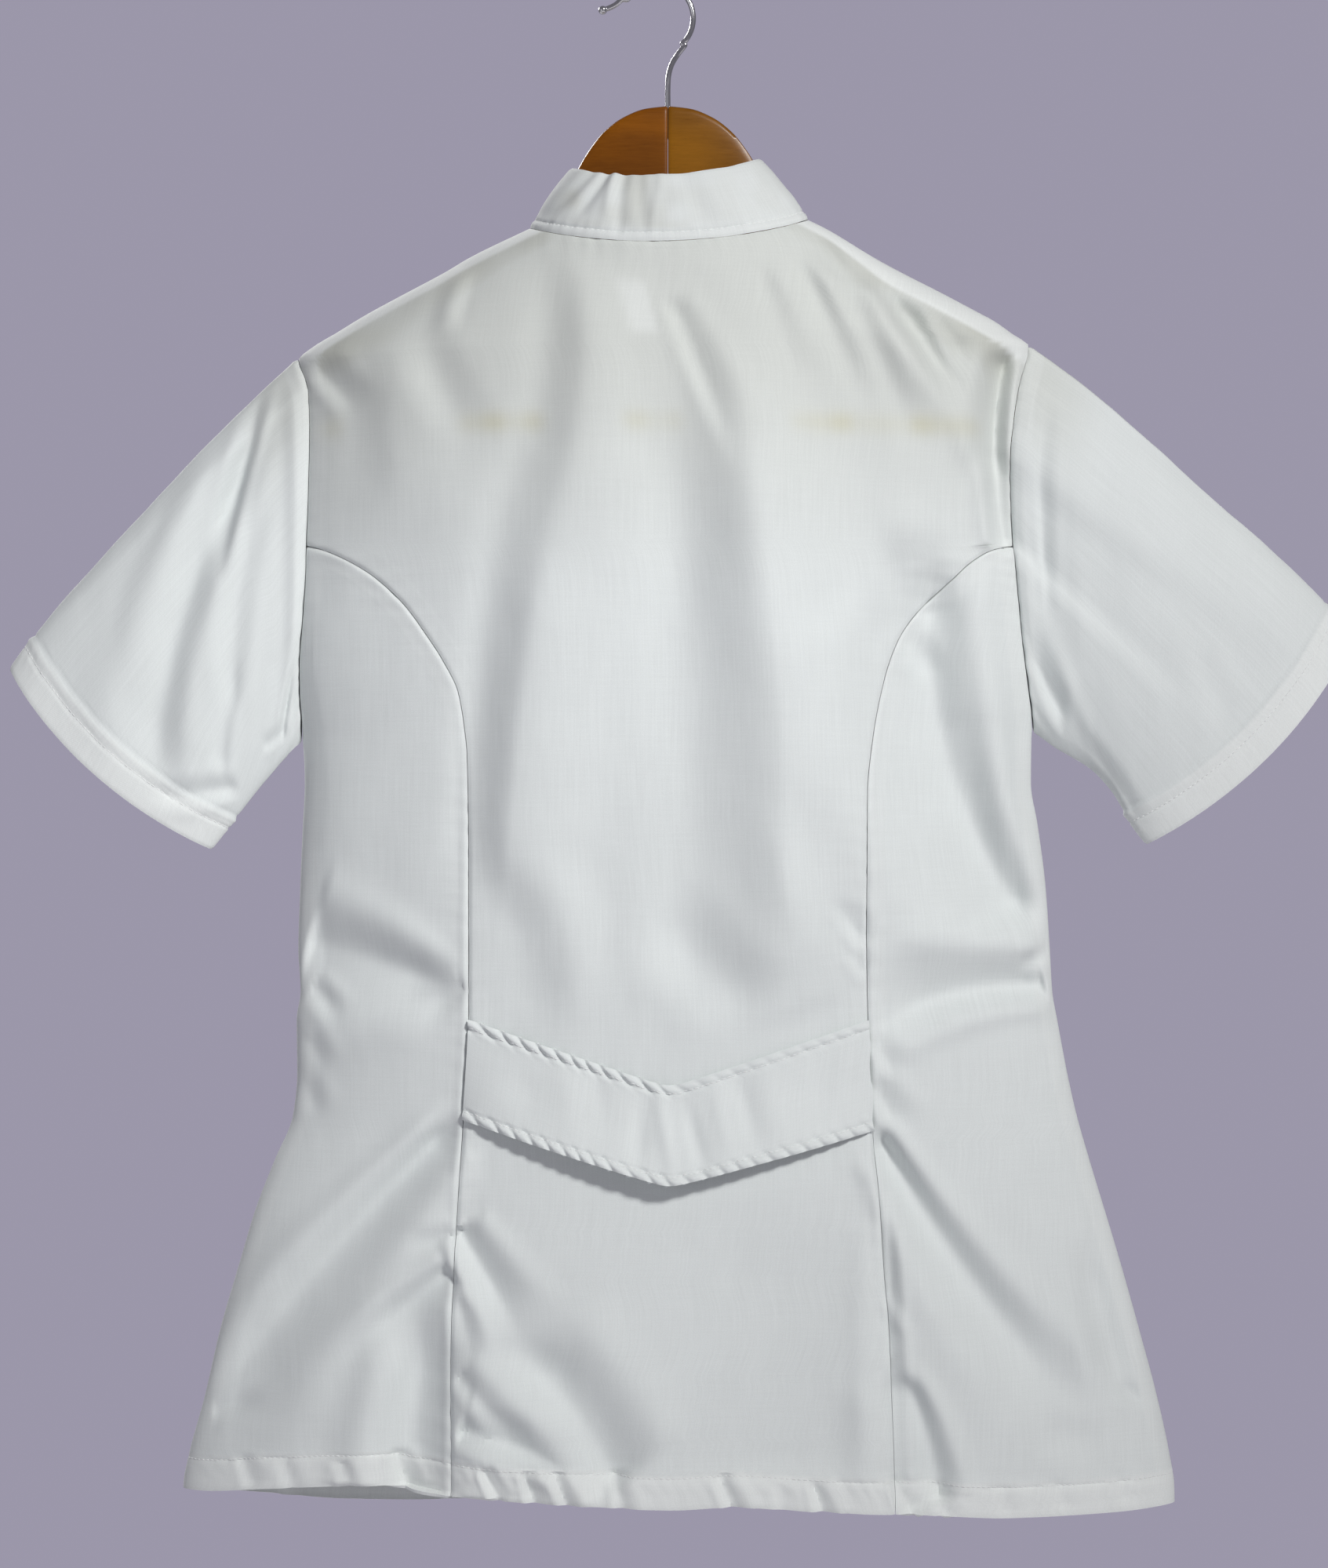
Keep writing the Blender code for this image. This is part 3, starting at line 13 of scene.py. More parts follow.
import bpy
import numpy as np
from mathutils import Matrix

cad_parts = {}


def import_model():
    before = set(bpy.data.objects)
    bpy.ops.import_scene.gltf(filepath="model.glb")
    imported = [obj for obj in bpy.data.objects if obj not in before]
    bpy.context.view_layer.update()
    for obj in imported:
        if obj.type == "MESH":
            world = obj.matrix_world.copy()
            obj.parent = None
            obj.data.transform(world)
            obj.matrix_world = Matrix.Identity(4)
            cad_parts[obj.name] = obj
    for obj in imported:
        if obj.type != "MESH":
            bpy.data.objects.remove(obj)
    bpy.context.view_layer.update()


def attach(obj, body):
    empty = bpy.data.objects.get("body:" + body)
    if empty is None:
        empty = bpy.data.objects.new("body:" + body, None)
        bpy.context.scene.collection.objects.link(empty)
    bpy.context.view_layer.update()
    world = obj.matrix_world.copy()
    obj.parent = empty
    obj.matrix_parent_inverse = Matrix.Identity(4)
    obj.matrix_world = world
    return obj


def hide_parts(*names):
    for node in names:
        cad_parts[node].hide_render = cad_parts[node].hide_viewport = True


Array = np.ndarray
LOG = logging.getLogger("jacket")
MM = 0.001
ROOT = "root"


class Face(Enum):
    """The two sides of the garment's body."""

    BACK = -1
    FRONT = 1


class Side(Enum):
    """Left and right as seen from behind."""

    LEFT = -1
    RIGHT = 1


class Held(Enum):
    """How a sheet of cloth is held."""

    HUNG = "hung"
    STRETCHED = "stretched"


# ------------------------------------------------------------------- tables
# Outline of the body at each drop: drop, left edge, right edge.
OUTLINE = np.array([
    (121.4, -46.2, 68.5), (127.9, -60.0, 82.5), (132.6, -70.0, 92.6),
    (148.2, -103.7, 119.7), (155.5, -116.6, 133.9), (166.8, -139.1, 157.7),
    (176.3, -158.1, 177.1), (181.0, -166.8, 186.6), (187.9, -178.8, 197.0),
    (193.5, -189.2, 205.6), (201.7, -199.2, 206.5), (220.8, -201.3, 207.8),
    (264.0, -203.0, 209.1), (307.2, -203.9, 209.5), (350.4, -203.9, 210.4),
    (372.0, -203.0, 210.8), (393.6, -199.6, 209.5), (406.5, -197.0, 206.9),
    (411.7, -196.1, 206.5), (436.8, -194.8, 206.1), (458.4, -195.7, 209.5),
    (492.9, -197.0, 213.8), (527.5, -197.9, 216.0), (551.2, -196.6, 217.3),
    (566.4, -198.7, 219.9), (596.6, -198.3, 225.5), (618.2, -200.4, 230.3),
    (644.1, -210.8, 237.6), (670.0, -220.8, 245.4), (700.3, -229.8, 254.4),
    (734.8, -239.8, 264.0), (773.7, -248.8, 274.3), (804.0, -257.0, 280.8),
    (821.2, -260.1, 283.4), (850.0, -260.1, 283.8)])

# Depth of the body: drop, back, front, share of the hanger's curve kept in
# the side folds.
DEPTH = np.array([
    (121.0, 34.0, 34.0, 1.00), (133.0, 36.0, 38.0, 1.00),
    (160.0, 41.0, 43.0, 1.00), (205.0, 46.0, 50.0, 1.00),
    (300.0, 50.0, 61.0, 0.90), (410.0, 49.0, 63.0, 0.72),
    (500.0, 44.0, 56.0, 0.55), (566.0, 41.0, 51.0, 0.45),
    (630.0, 42.0, 51.0, 0.38), (700.0, 47.0, 54.0, 0.30),
    (780.0, 53.0, 57.0, 0.24), (850.0, 56.0, 59.0, 0.20)])

# Armhole seams: drop, x on the back, x on the front.
ARMHOLE = {
    Side.LEFT: np.array([
        (201.7, -199.2, -199.2), (204.8, -198.1, -197.6), (207.8, -197.0, -195.2),
        (213.0, -194.6, -191.5), (220.8, -192.5, -188.8), (244.5, -191.6, -186.0),
        (282.5, -192.2, -185.0), (305.9, -193.1, -185.5), (321.0, -193.4, -186.0),
        (349.9, -195.3, -188.5), (371.1, -197.0, -191.5), (387.1, -197.0, -194.0),
        (398.7, -196.3, -195.3), (406.5, -196.0, -195.9), (411.7, -196.1, -196.1)]),
    Side.RIGHT: np.array([
        (193.5, 205.6, 205.6), (197.4, 205.2, 203.9), (201.7, 204.3, 201.6),
        (207.8, 202.2, 198.6), (214.3, 200.0, 196.4), (222.9, 197.9, 194.6),
        (238.0, 195.5, 192.6), (256.6, 193.5, 191.4), (291.2, 194.4, 191.0),
        (311.5, 195.9, 192.3), (342.1, 198.7, 195.6), (362.4, 200.9, 198.6),
        (387.1, 204.3, 203.2), (398.7, 206.1, 205.8), (406.5, 206.9, 206.9)])}

# Princess seams of the back: drop, x.
PRINCESS = {
    Side.LEFT: np.array([
        (305.9, -193.1), (308.4, -184.3), (312.3, -174.7), (318.0, -163.7),
        (324.4, -153.9), (340.0, -137.0), (355.5, -125.4), (371.1, -115.2),
        (387.1, -107.4), (407.2, -103.9), (420.7, -102.6), (474.7, -101.7),
        (559.2, -101.7), (618.4, -104.7), (648.0, -106.4), (693.2, -109.0),
        (753.7, -111.0), (814.0, -110.6), (850.0, -110.6)]),
    Side.RIGHT: np.array([
        (305.9, 195.4), (308.4, 184.8), (312.3, 176.4), (318.0, 168.4),
        (324.4, 161.6), (329.6, 155.9), (345.2, 139.9), (359.0, 130.5),
        (378.9, 123.1), (413.1, 115.9), (442.3, 112.8), (510.2, 112.4),
        (562.7, 113.3), (623.5, 115.9), (655.6, 118.8), (699.6, 121.7),
        (730.8, 124.3), (816.2, 126.8), (850.0, 127.2)])}

# Bottom edges: x, drop.
HEM = {
    Face.BACK: np.array([
        (-258.8, 822.4), (-246.0, 821.7), (-215.4, 818.0), (-171.8, 814.1),
        (-151.1, 813.2), (-124.8, 816.0), (-82.6, 819.1), (-38.7, 821.4),
        (9.3, 823.2), (38.4, 821.8), (86.5, 824.7), (137.1, 827.3),
        (194.8, 831.1), (238.5, 831.3), (282.5, 830.2)]),
    Face.FRONT: np.array([
        (-258.8, 822.4), (-240.0, 827.0), (-215.0, 831.0), (-176.0, 836.0),
        (-128.0, 838.0), (-80.0, 836.0), (5.0, 836.0), (100.0, 838.0),
        (200.0, 837.0), (250.0, 833.0), (282.5, 830.2)])}

# Folds of each side of the body.  Columns: start x, start drop, end x, end
# drop, sideways bow, half width, depth (a ridge is negative), lean (how much
# wider the flank on the right of a falling line is, -1 to 1), sharp (0 for a
# round trough, 1 for a crease), spread (how much the width grows), rise and
# fall (shares of the length over which the ends fade).
FOLDS = {
    Face.BACK: np.array([
        # centre panel above the belt
        (-40.3, 154.5, -58.0, 310.4, 11.8, 24.0, -5.76, 0.4, 0.0, 0.4, 0.3, 0.35),
        (-50.5, 280.9, -79.9, 499.9, -5.05, 24.0, -7.68, 0.4, 0.0, -0.2, 0.35, 0.2),
        (36.7, 196.7, 68.3, 558.9, 11.0, 28.0, -13.1, 0.1, 0.15, 0.2, 0.25, 0.2),
        (5.98, 177.7, 40.9, 257.7, 0.0, 6.0, 3.04, 0.4, 0.3, 0.6, 0.1, 0.5),
        (76.7, 441.0, 103.7, 527.7, -2.53, 13.0, 1.92, 0.2, 0.1, 0.0, 0.3, 0.2),
        (96.1, 500.8, 111.7, 523.5, 0.0, 5.0, 2.24, 0.3, 0.2, 0.0, 0.4, 0.05),
        (102.0, 525.2, 111.7, 538.7, 0.0, 4.2, 1.44, 0.3, 0.2, 0.0, 0.4, 0.05),
        (0.09, 502.0, 56.9, 556.4, -5.9, 15.0, 3.52, 0.0, 0.0, 0.0, 0.3, 0.3),
        (-66.5, 472.6, -42.0, 561.0, 5.05, 14.0, -2.88, 0.0, 0.0, 0.0, 0.3, 0.3),
        # right shoulder
        (109.6, 163.8, 161.8, 246.4, 0.0, 8.0, -7.02, -0.1, 0.2, 0.6, 0.12, 0.5),
        (145.4, 181.9, 164.4, 215.6, 0.0, 3.8, -3.1, 0.0, 0.3, 0.0, 0.2, 0.4),
        (129.8, 176.5, 178.7, 212.7, 1.68, 9.0, 5.67, -0.2, 0.1, 0.3, 0.25, 0.4),
        (128.1, 172.2, 159.3, 222.8, 0.0, 7.5, 4.05, -0.2, 0.1, 0.3, 0.25, 0.4),
        (83.1, 152.4, 127.3, 228.3, 0.0, 9.0, -4.86, 0.3, 0.1, 0.6, 0.2, 0.5),
        (62.0, 154.5, 93.6, 226.2, 0.0, 8.0, -2.16, 0.2, 0.0, 0.6, 0.2, 0.5),
        (90.2, 141.9, 102.0, 160.9, 0.0, 3.2, -2.16, 0.0, 0.2, 0.0, 0.2, 0.4),
        # left shoulder
        (-106.5, 156.7, -116.2, 192.5, 0.0, 5.0, -2.16, 0.0, 0.2, 0.0, 0.2, 0.4),
        (-187.8, 205.9, -165.0, 231.2, 0.0, 6.5, 2.7, 0.2, 0.1, 0.0, 0.15, 0.5),
        (-151.5, 200.9, -142.3, 293.5, 5.9, 17.0, -2.7, 0.3, 0.0, 0.3, 0.25, 0.4),
        (-129.6, 184.0, -100.2, 251.4, -2.53, 10.0, 1.89, 0.0, 0.0, 0.0, 0.3, 0.4),
        # beside the right armhole
        (192.2, 199.2, 186.3, 268.3, -3.37, 7.0, 11.3, -0.3, 0.2, 0.0, 0.12, 0.2),
        (185.8, 257.7, 191.7, 310.4, -1.26, 6.5, 9.45, 0.1, 0.2, 0.0, 0.3, 0.15),
        # right side panel
        (148.3, 325.1, 203.1, 513.4, -18.5, 22.0, 16.2, -0.35, 0.15, -0.1, 0.12, 0.08),
        (184.2, 352.5, 194.7, 491.5, -3.37, 8.0, -2.7, 0.0, 0.0, 0.0, 0.3, 0.3),
        (135.7, 352.5, 148.3, 377.8, 0.0, 6.0, 2.43, 0.0, 0.0, 0.0, 0.3, 0.4),
        (118.0, 325.1, 158.9, 325.1, 0.0, 15.0, 4.86, 0.0, 0.0, 0.0, 0.3, 0.3),
        (213.2, 547.9, 115.5, 568.2, -8.42, 11.5, 9.99, -0.25, 0.3, 0.5, 0.03, 0.4),
        (214.1, 529.8, 198.1, 534.9, 0.0, 4.0, 4.32, 0.0, 0.5, 0.0, 0.02, 0.5),
        (115.5, 598.9, 131.5, 624.2, 0.0, 6.0, 3.78, 0.3, 0.3, 0.3, 0.05, 0.5),
        (115.5, 575.7, 129.4, 593.4, 0.0, 5.0, 2.43, 0.3, 0.3, 0.3, 0.05, 0.5),
        (116.3, 622.1, 230.1, 778.8, -6.32, 11.5, 9.72, -0.15, 0.15, 1.0, 0.05, 0.42),
        (123.1, 655.8, 128.6, 811.6, 0.0, 6.5, 4.05, -0.4, 0.3, 0.4, 0.4, 0.04),
        (129.8, 752.7, 150.9, 822.2, 3.79, 11.0, 8.37, -0.4, 0.2, 0.5, 0.16, 0.04),
        (122.2, 712.6, 131.5, 731.6, 0.0, 3.5, -1.62, 0.0, 0.2, 0.0, 0.3, 0.3),
        (233.4, 689.5, 253.6, 769.5, 0.0, 9.0, 5.94, 0.0, 0.1, 0.0, 0.3, 0.3),
        (253.6, 764.4, 263.8, 773.7, 0.0, 4.0, 3.51, 0.0, 0.4, 0.0, 0.3, 0.1),
        (207.3, 786.3, 238.9, 794.8, 0.0, 8.0, 2.16, 0.0, 0.0, 0.0, 0.3, 0.3),
        # left side panel
        (-192.0, 523.9, -110.7, 548.8, 2.53, 16.0, 7.83, -0.25, 0.2, -0.7, 0.05, 0.3),
        (-189.5, 547.9, -172.6, 563.1, 0.0, 5.0, 2.7, 0.0, 0.2, 0.0, 0.05, 0.5),
        (-191.1, 574.9, -182.3, 591.8, 0.0, 6.0, 1.89, 0.0, 0.2, 0.0, 0.1, 0.5),
        (-193.7, 600.2, -185.2, 617.9, 0.0, 6.0, 1.89, 0.0, 0.2, 0.0, 0.2, 0.5),
        (-103.5, 546.3, -125.4, 561.4, 0.0, 5.0, 1.89, 0.0, 0.3, 0.3, 0.02, 0.5),
        (-108.6, 618.7, -242.5, 778.8, -4.21, 13.0, 8.91, 0.2, 0.2, 0.9, 0.09, 0.25),
        (-110.3, 697.9, -171.8, 751.8, -1.68, 9.0, 5.94, 0.2, 0.2, 0.6, 0.04, 0.5),
        (-109.8, 678.5, -133.9, 686.1, 0.0, 5.0, 2.03, 0.0, 0.3, 0.4, 0.03, 0.5),
        (-125.4, 719.0, -132.2, 815.8, 0.0, 16.0, 12.2, 0.1, 0.1, 0.3, 0.35, 0.02),
        (-242.5, 779.6, -216.0, 770.3, 0.0, 5.0, 2.7, 0.0, 0.3, 0.4, 0.05, 0.5),
        (-185.2, 318.8, -182.7, 483.1, 0.0, 30.0, -3.51, 0.4, 0.0, 0.0, 0.3, 0.3),
        # centre panel below the belt
        (-107.3, 676.0, -74.9, 727.4, 0.0, 8.0, 6.21, 0.2, 0.3, 0.5, 0.03, 0.5),
        (-107.3, 711.4, -97.6, 746.3, 0.0, 5.0, 1.76, 0.0, 0.2, 0.3, 0.1, 0.5),
        (-107.3, 752.7, -79.1, 781.3, 0.0, 6.0, 3.24, 0.2, 0.2, 0.3, 0.05, 0.5),
        (-79.1, 736.6, -20.1, 811.6, 5.9, 15.0, 9.45, 0.2, 0.1, -0.1, 0.3, 0.08),
        (-106.9, 783.0, -41.2, 805.7, 2.53, 8.0, 7.02, 0.3, 0.4, 0.2, 0.04, 0.4),
        (-89.6, 746.3, -55.9, 773.7, 0.0, 10.0, -2.7, 0.0, 0.0, 0.0, 0.3, 0.3),
        (62.0, 664.2, 66.2, 807.4, 0.84, 46.0, 4.86, -0.2, 0.0, 0.0, 0.3, 0.1),
        # puckers that run slanting over the turned-up hem
        (-93.4, 802.4, -83.3, 820.0, 0.0, 3.5, 3.4, 0.3, 0.5, 0.3, 0.1, 0.05),
        (-71.5, 803.2, -64.8, 823.0, 0.0, 3.5, 3.4, 0.3, 0.5, 0.3, 0.1, 0.05),
        (-55.5, 804.0, -46.2, 825.1, 0.0, 3.5, 3.4, 0.3, 0.5, 0.3, 0.1, 0.05),
        (-23.1, 803.2, -18.4, 827.2, 0.0, 3.5, 2.5, 0.3, 0.5, 0.3, 0.1, 0.05),
        (32.1, 805.3, 42.2, 827.2, 0.0, 3.6, 3.6, 0.3, 0.5, 0.3, 0.1, 0.05),
        (82.6, 809.5, 89.4, 829.3, 0.0, 3.6, 3.6, 0.3, 0.5, 0.3, 0.1, 0.05),
        (125.2, 807.4, 136.6, 828.5, 0.0, 4.0, 3.6, 0.3, 0.5, 0.3, 0.1, 0.05),
        (149.2, 811.6, 153.4, 828.5, 0.0, 3.6, 2.5, 0.3, 0.4, 0.3, 0.1, 0.05),
        (64.1, 809.5, 67.5, 828.5, 0.0, 4.0, 1.3, 0.3, 0.3, 0.3, 0.1, 0.05),
        (-141.4, 794.8, -135.5, 815.8, 0.0, 4.0, 4.1, 0.3, 0.5, 0.3, 0.1, 0.05),
        (-170.9, 799.8, -164.6, 816.7, 0.0, 3.5, 2.7, 0.3, 0.4, 0.3, 0.1, 0.05),
        (-202.9, 800.7, -197.0, 817.5, 0.0, 3.5, 1.8, 0.3, 0.4, 0.3, 0.1, 0.05),
        (-226.5, 801.5, -218.9, 816.7, 0.0, 4.0, 1.8, 0.3, 0.3, 0.3, 0.1, 0.05),
        (182.0, 813.7, 187.1, 829.3, 0.0, 4.0, 1.3, 0.3, 0.3, 0.3, 0.1, 0.05),
        (213.6, 811.6, 218.3, 827.6, 0.0, 4.0, 1.6, 0.3, 0.3, 0.3, 0.1, 0.05),
        (247.3, 809.5, 253.6, 826.4, 0.0, 4.0, 1.3, 0.3, 0.3, 0.3, 0.1, 0.05)]),
    Face.FRONT: np.array([
        (-120.0, 190.0, -96.0, 420.0, 10.0, 16.0, 5.2, 0.3, 0.2, 0.2, 0.2, 0.3),
        (-60.0, 240.0, -72.0, 520.0, -8.0, 15.0, 4.8, -0.3, 0.2, 0.2, 0.2, 0.3),
        (-180.0, 330.0, -150.0, 500.0, 10.0, 10.0, 6.4, 0.3, 0.2, 0.2, 0.2, 0.3),
        (-192.0, 548.0, -60.0, 566.0, -6.0, 9.0, 5.4, 0.4, 0.2, 0.2, 0.2, 0.3),
        (-186.0, 584.0, -120.0, 574.0, 3.0, 8.0, -2.2, 0.0, 0.2, 0.2, 0.2, 0.3),
        (-70.0, 600.0, -205.0, 800.0, -12.0, 12.0, 7.0, 0.3, 0.2, 0.2, 0.2, 0.3),
        (-60.0, 640.0, -78.0, 815.0, 5.0, 13.0, 5.8, -0.3, 0.2, 0.2, 0.2, 0.3),
        (-150.0, 720.0, -160.0, 812.0, 4.0, 9.0, 3.2, 0.2, 0.2, 0.2, 0.2, 0.3),
        (-170.0, 220.0, -140.0, 268.0, 9.0, 8.0, 3.8, 0.2, 0.2, 0.2, 0.2, 0.3),
        (126.0, 190.0, 104.0, 430.0, -9.0, 16.0, 5.2, -0.3, 0.2, 0.2, 0.2, 0.3),
        (70.0, 240.0, 82.0, 520.0, 8.0, 15.0, 4.8, 0.3, 0.2, 0.2, 0.2, 0.3),
        (186.0, 320.0, 160.0, 490.0, -9.0, 10.0, 6.4, -0.3, 0.2, 0.2, 0.2, 0.3),
        (205.0, 540.0, 66.0, 572.0, 6.0, 9.0, 5.4, 0.4, 0.2, 0.2, 0.2, 0.3),
        (84.0, 610.0, 222.0, 800.0, 10.0, 12.0, 7.0, -0.3, 0.2, 0.2, 0.2, 0.3),
        (66.0, 640.0, 84.0, 818.0, -5.0, 13.0, 5.8, 0.3, 0.2, 0.2, 0.2, 0.3),
        (160.0, 730.0, 172.0, 815.0, -4.0, 9.0, 3.2, 0.2, 0.2, 0.2, 0.2, 0.3),
        (178.0, 214.0, 150.0, 262.0, -9.0, 8.0, 3.8, 0.2, 0.2, 0.2, 0.2, 0.3),
        (-214.0, 812.0, -206.0, 832.0, 0.0, 4.0, 1.8, 0.3, 0.2, 0.2, 0.2, 0.3),
        (-120.0, 818.0, -110.0, 838.0, 0.0, 4.0, 2.2, 0.4, 0.2, 0.2, 0.2, 0.3),
        (-38.0, 816.0, -30.0, 836.0, 0.0, 4.0, 1.8, 0.3, 0.2, 0.2, 0.2, 0.3),
        (60.0, 816.0, 69.0, 837.0, 0.0, 4.0, 2.2, 0.4, 0.2, 0.2, 0.2, 0.3),
        (142.0, 818.0, 150.0, 838.0, 0.0, 4.0, 2.0, 0.3, 0.2, 0.2, 0.2, 0.3),
        (226.0, 814.0, 235.0, 834.0, 0.0, 4.0, 1.8, 0.3, 0.2, 0.2, 0.2, 0.3)])}

# Folds of the sleeves.  Columns: start along, start round, end along, end
# round, half width, depth, lean.  Along is 0 at the armhole and 1 at the
# cuff; round is 0 on the top ridge and 1 at the underarm, below 0 in front.
SLEEVE_FOLDS = {
    Side.LEFT: np.array([
        (0.08, -0.04, 0.34, 0.36, 6.0, 4.6, 0.2),
        (0.15, 0.14, 0.86, 0.62, 14.0, 6.8, 0.2),
        (0.17, 0.26, 0.46, 0.70, 10.0, 2.0, 0.0),
        (0.38, 0.60, 0.66, 0.78, 8.0, 2.2, 0.2),
        (0.93, 0.66, 0.62, 0.88, 7.0, 3.2, 0.0),
        (0.30, 0.08, 0.74, 0.46, 12.0, -1.8, 0.0),
        (0.05, 0.80, 0.20, 0.92, 5.0, 2.6, 0.1),
        (0.14, 0.93, 0.36, 0.88, 4.0, 2.2, 0.1),
        (0.10, -0.30, 0.55, -0.85, 9.0, 5.0, 0.3),
        (0.30, -0.20, 0.80, -0.55, 10.0, 2.6, 0.0),
        (0.08, -0.90, 0.40, -0.92, 6.0, 3.0, 0.2)]),
    Side.RIGHT: np.array([
        (0.05, 0.10, 0.14, 0.60, 4.5, 2.2, 0.3),
        (0.12, 0.06, 0.30, 0.66, 12.0, -0.8, 0.0),
        (0.02, 0.76, 0.26, 0.88, 11.5, 4.2, 0.1),
        (0.20, 0.74, 0.42, 0.84, 8.0, -0.8, 0.0),
        (0.36, 0.92, 0.92, 0.90, 9.0, 1.5, 0.0),
        (0.45, 0.30, 0.85, 0.42, 14.0, 0.8, 0.0),
        (0.66, 0.44, 0.84, 0.50, 6.0, 1.2, 0.0),
        (0.08, -0.25, 0.50, -0.85, 9.0, 5.0, 0.3),
        (0.34, -0.18, 0.82, -0.50, 10.0, 2.4, 0.0),
        (0.08, -0.90, 0.40, -0.92, 6.0, 3.0, 0.2)])}

# Hanger arms from the joint outwards: reach, drop of the top edge, drop of
# the lower edge.
HANGER_ARM = {
    Side.LEFT: np.array([
        (0.0, 66.4, 141.0), (12.0, 67.8, 141.4), (24.0, 72.4, 142.6),
        (35.0, 80.6, 144.6), (44.0, 92.0, 147.2), (52.0, 106.0, 150.0),
        (60.0, 119.0, 153.4), (68.0, 131.0, 157.0), (77.0, 137.8, 161.8),
        (92.0, 145.0, 171.0), (110.0, 153.4, 183.0), (130.0, 163.6, 196.5),
        (150.0, 173.8, 210.0), (171.0, 184.6, 223.0), (175.0, 187.0, 248.0),
        (177.0, 188.2, 250.5), (187.0, 194.4, 250.5), (191.5, 200.5, 247.0),
        (193.5, 208.0, 240.0)]),
    Side.RIGHT: np.array([
        (0.0, 66.4, 141.0), (12.0, 67.8, 141.4), (24.0, 72.4, 142.6),
        (35.0, 80.6, 144.6), (44.0, 92.0, 147.2), (52.0, 105.5, 150.0),
        (60.0, 116.5, 153.4), (68.0, 126.0, 157.0), (77.0, 132.0, 161.8),
        (92.0, 140.6, 171.0), (110.0, 150.0, 183.0), (130.0, 159.6, 196.5),
        (150.0, 169.4, 210.0), (171.0, 179.9, 223.0), (175.0, 182.0, 248.0),
        (177.0, 183.2, 250.5), (186.5, 189.4, 250.5), (190.5, 195.0, 247.0),
        (192.5, 202.0, 240.0)])}

# Hook wire before and after its round crown: x, drop.
HOOK_ENTRY = np.array([(-30.0, 13.6), (-26.5, 12.4), (-23.0, 10.6), (-19.6, 7.9)])
HOOK_EXIT = np.array([
    (14.8, 32.8), (10.6, 38.4), (7.6, 43.6), (6.0, 49.4), (5.6, 56.0),
    (5.6, 64.0), (5.6, 74.0), (5.6, 84.0)])


# ------------------------------------------------------------------ numbers
def smooth_lookup(table: Array, column: int, at: Array) -> Array:
    """Look up one column of a table along a monotone cubic curve.

    Between two rows the value follows a cubic whose slopes are the harmonic
    means of the neighbouring slopes, so that it never overshoots a row.

    Args:
        table: rows sorted by their first column.
        column: the column to read.
        at: places along the first column.

    Returns:
        The looked-up values, of the shape of at.
    """
    xs, ys = table[:, 0], table[:, column]
    at = np.clip(at, xs[0], xs[-1])
    slope = np.diff(ys) / np.diff(xs)
    tangent = np.zeros(len(xs))
    same = slope[:-1] * slope[1:] > 0
    total = slope[:-1] + slope[1:]
    tangent[1:-1][same] = (2 * slope[:-1] * slope[1:])[same] / total[same]
    tangent[0], tangent[-1] = slope[0], slope[-1]
    i = np.clip(np.searchsorted(xs, at, side="right") - 1, 0, len(xs) - 2)
    h = xs[i + 1] - xs[i]
    t = (at - xs[i]) / h
    start = (1 + 2 * t) * (1 - t) ** 2 * ys[i] + t * (1 - t) ** 2 * h * tangent[i]
    end = t * t * (3 - 2 * t) * ys[i + 1] + t * t * (t - 1) * h * tangent[i + 1]
    return start + end


def smooth_step(low: float | Array, high: float | Array, value: Array) -> Array:
    """Rise from 0 at low to 1 at high along 3t^2 - 2t^3.

    Args:
        low: where the rise starts (above high, it falls instead).
        high: where it ends.
        value: where it is read.

    Returns:
        Numbers from 0 to 1.
    """
    t = np.clip((value - low) / (high - low), 0.0, 1.0)
    return t * t * (3 - 2 * t)


def bump(distance: Array, width: float) -> Array:
    """A bell, exp(-(distance / width)^2)."""
    return np.exp(-(distance / width) ** 2)


def unit(vectors: Array) -> Array:
    """Scale vectors to length one."""
    size = np.linalg.norm(vectors, axis=-1, keepdims=True)
    return vectors / np.maximum(size, 1e-9)


def soft_noise(x: Array, y: Array, cell: tuple[float, float], seed: int) -> Array:
    """Smooth random field from -1 to 1.

    Random values stand on the corners of cells, and a quintic fade blends
    the four corners around each point.

    Args:
        x: first coordinate.
        y: second coordinate, of the same shape.
        cell: size of a cell along each coordinate.
        seed: makes the field repeatable.

    Returns:
        The field at each point.
    """
    size = 96
    lattice = np.random.default_rng(seed).uniform(-1.0, 1.0, (size, size))
    gx, gy = x / cell[0], y / cell[1]
    ix, iy = np.floor(gx).astype(int), np.floor(gy).astype(int)
    fx, fy = gx - ix, gy - iy
    fx, fy = (f ** 3 * (f * (f * 6 - 15) + 10) for f in (fx, fy))
    ix0, ix1, iy0, iy1 = ix % size, (ix + 1) % size, iy % size, (iy + 1) % size
    near = lattice[ix0, iy0] * (1 - fx) + lattice[ix1, iy0] * fx
    far = lattice[ix0, iy1] * (1 - fx) + lattice[ix1, iy1] * fx
    return near * (1 - fy) + far * fy


def shifted(grid: Array, axis: int, wrap: bool) -> Array:
    """Central difference of a grid of points along one axis."""
    if wrap:
        return np.roll(grid, -1, axis=axis) - np.roll(grid, 1, axis=axis)
    return np.gradient(grid, axis=axis)


def grid_normals(grid: Array, wrap: bool = False) -> Array:
    """Unit normals of a grid, the cross product of its two differences."""
    return unit(np.cross(shifted(grid, 0, False), shifted(grid, 1, wrap)))


def run_length(points: Array, axis: int = 0) -> Array:
    """Distance travelled along an axis of a grid of points, from 0."""
    steps = np.linalg.norm(np.diff(points, axis=axis), axis=-1)
    first = np.zeros_like(np.take(steps, [0], axis=axis))
    return np.concatenate([first, np.cumsum(steps, axis=axis)], axis=axis)


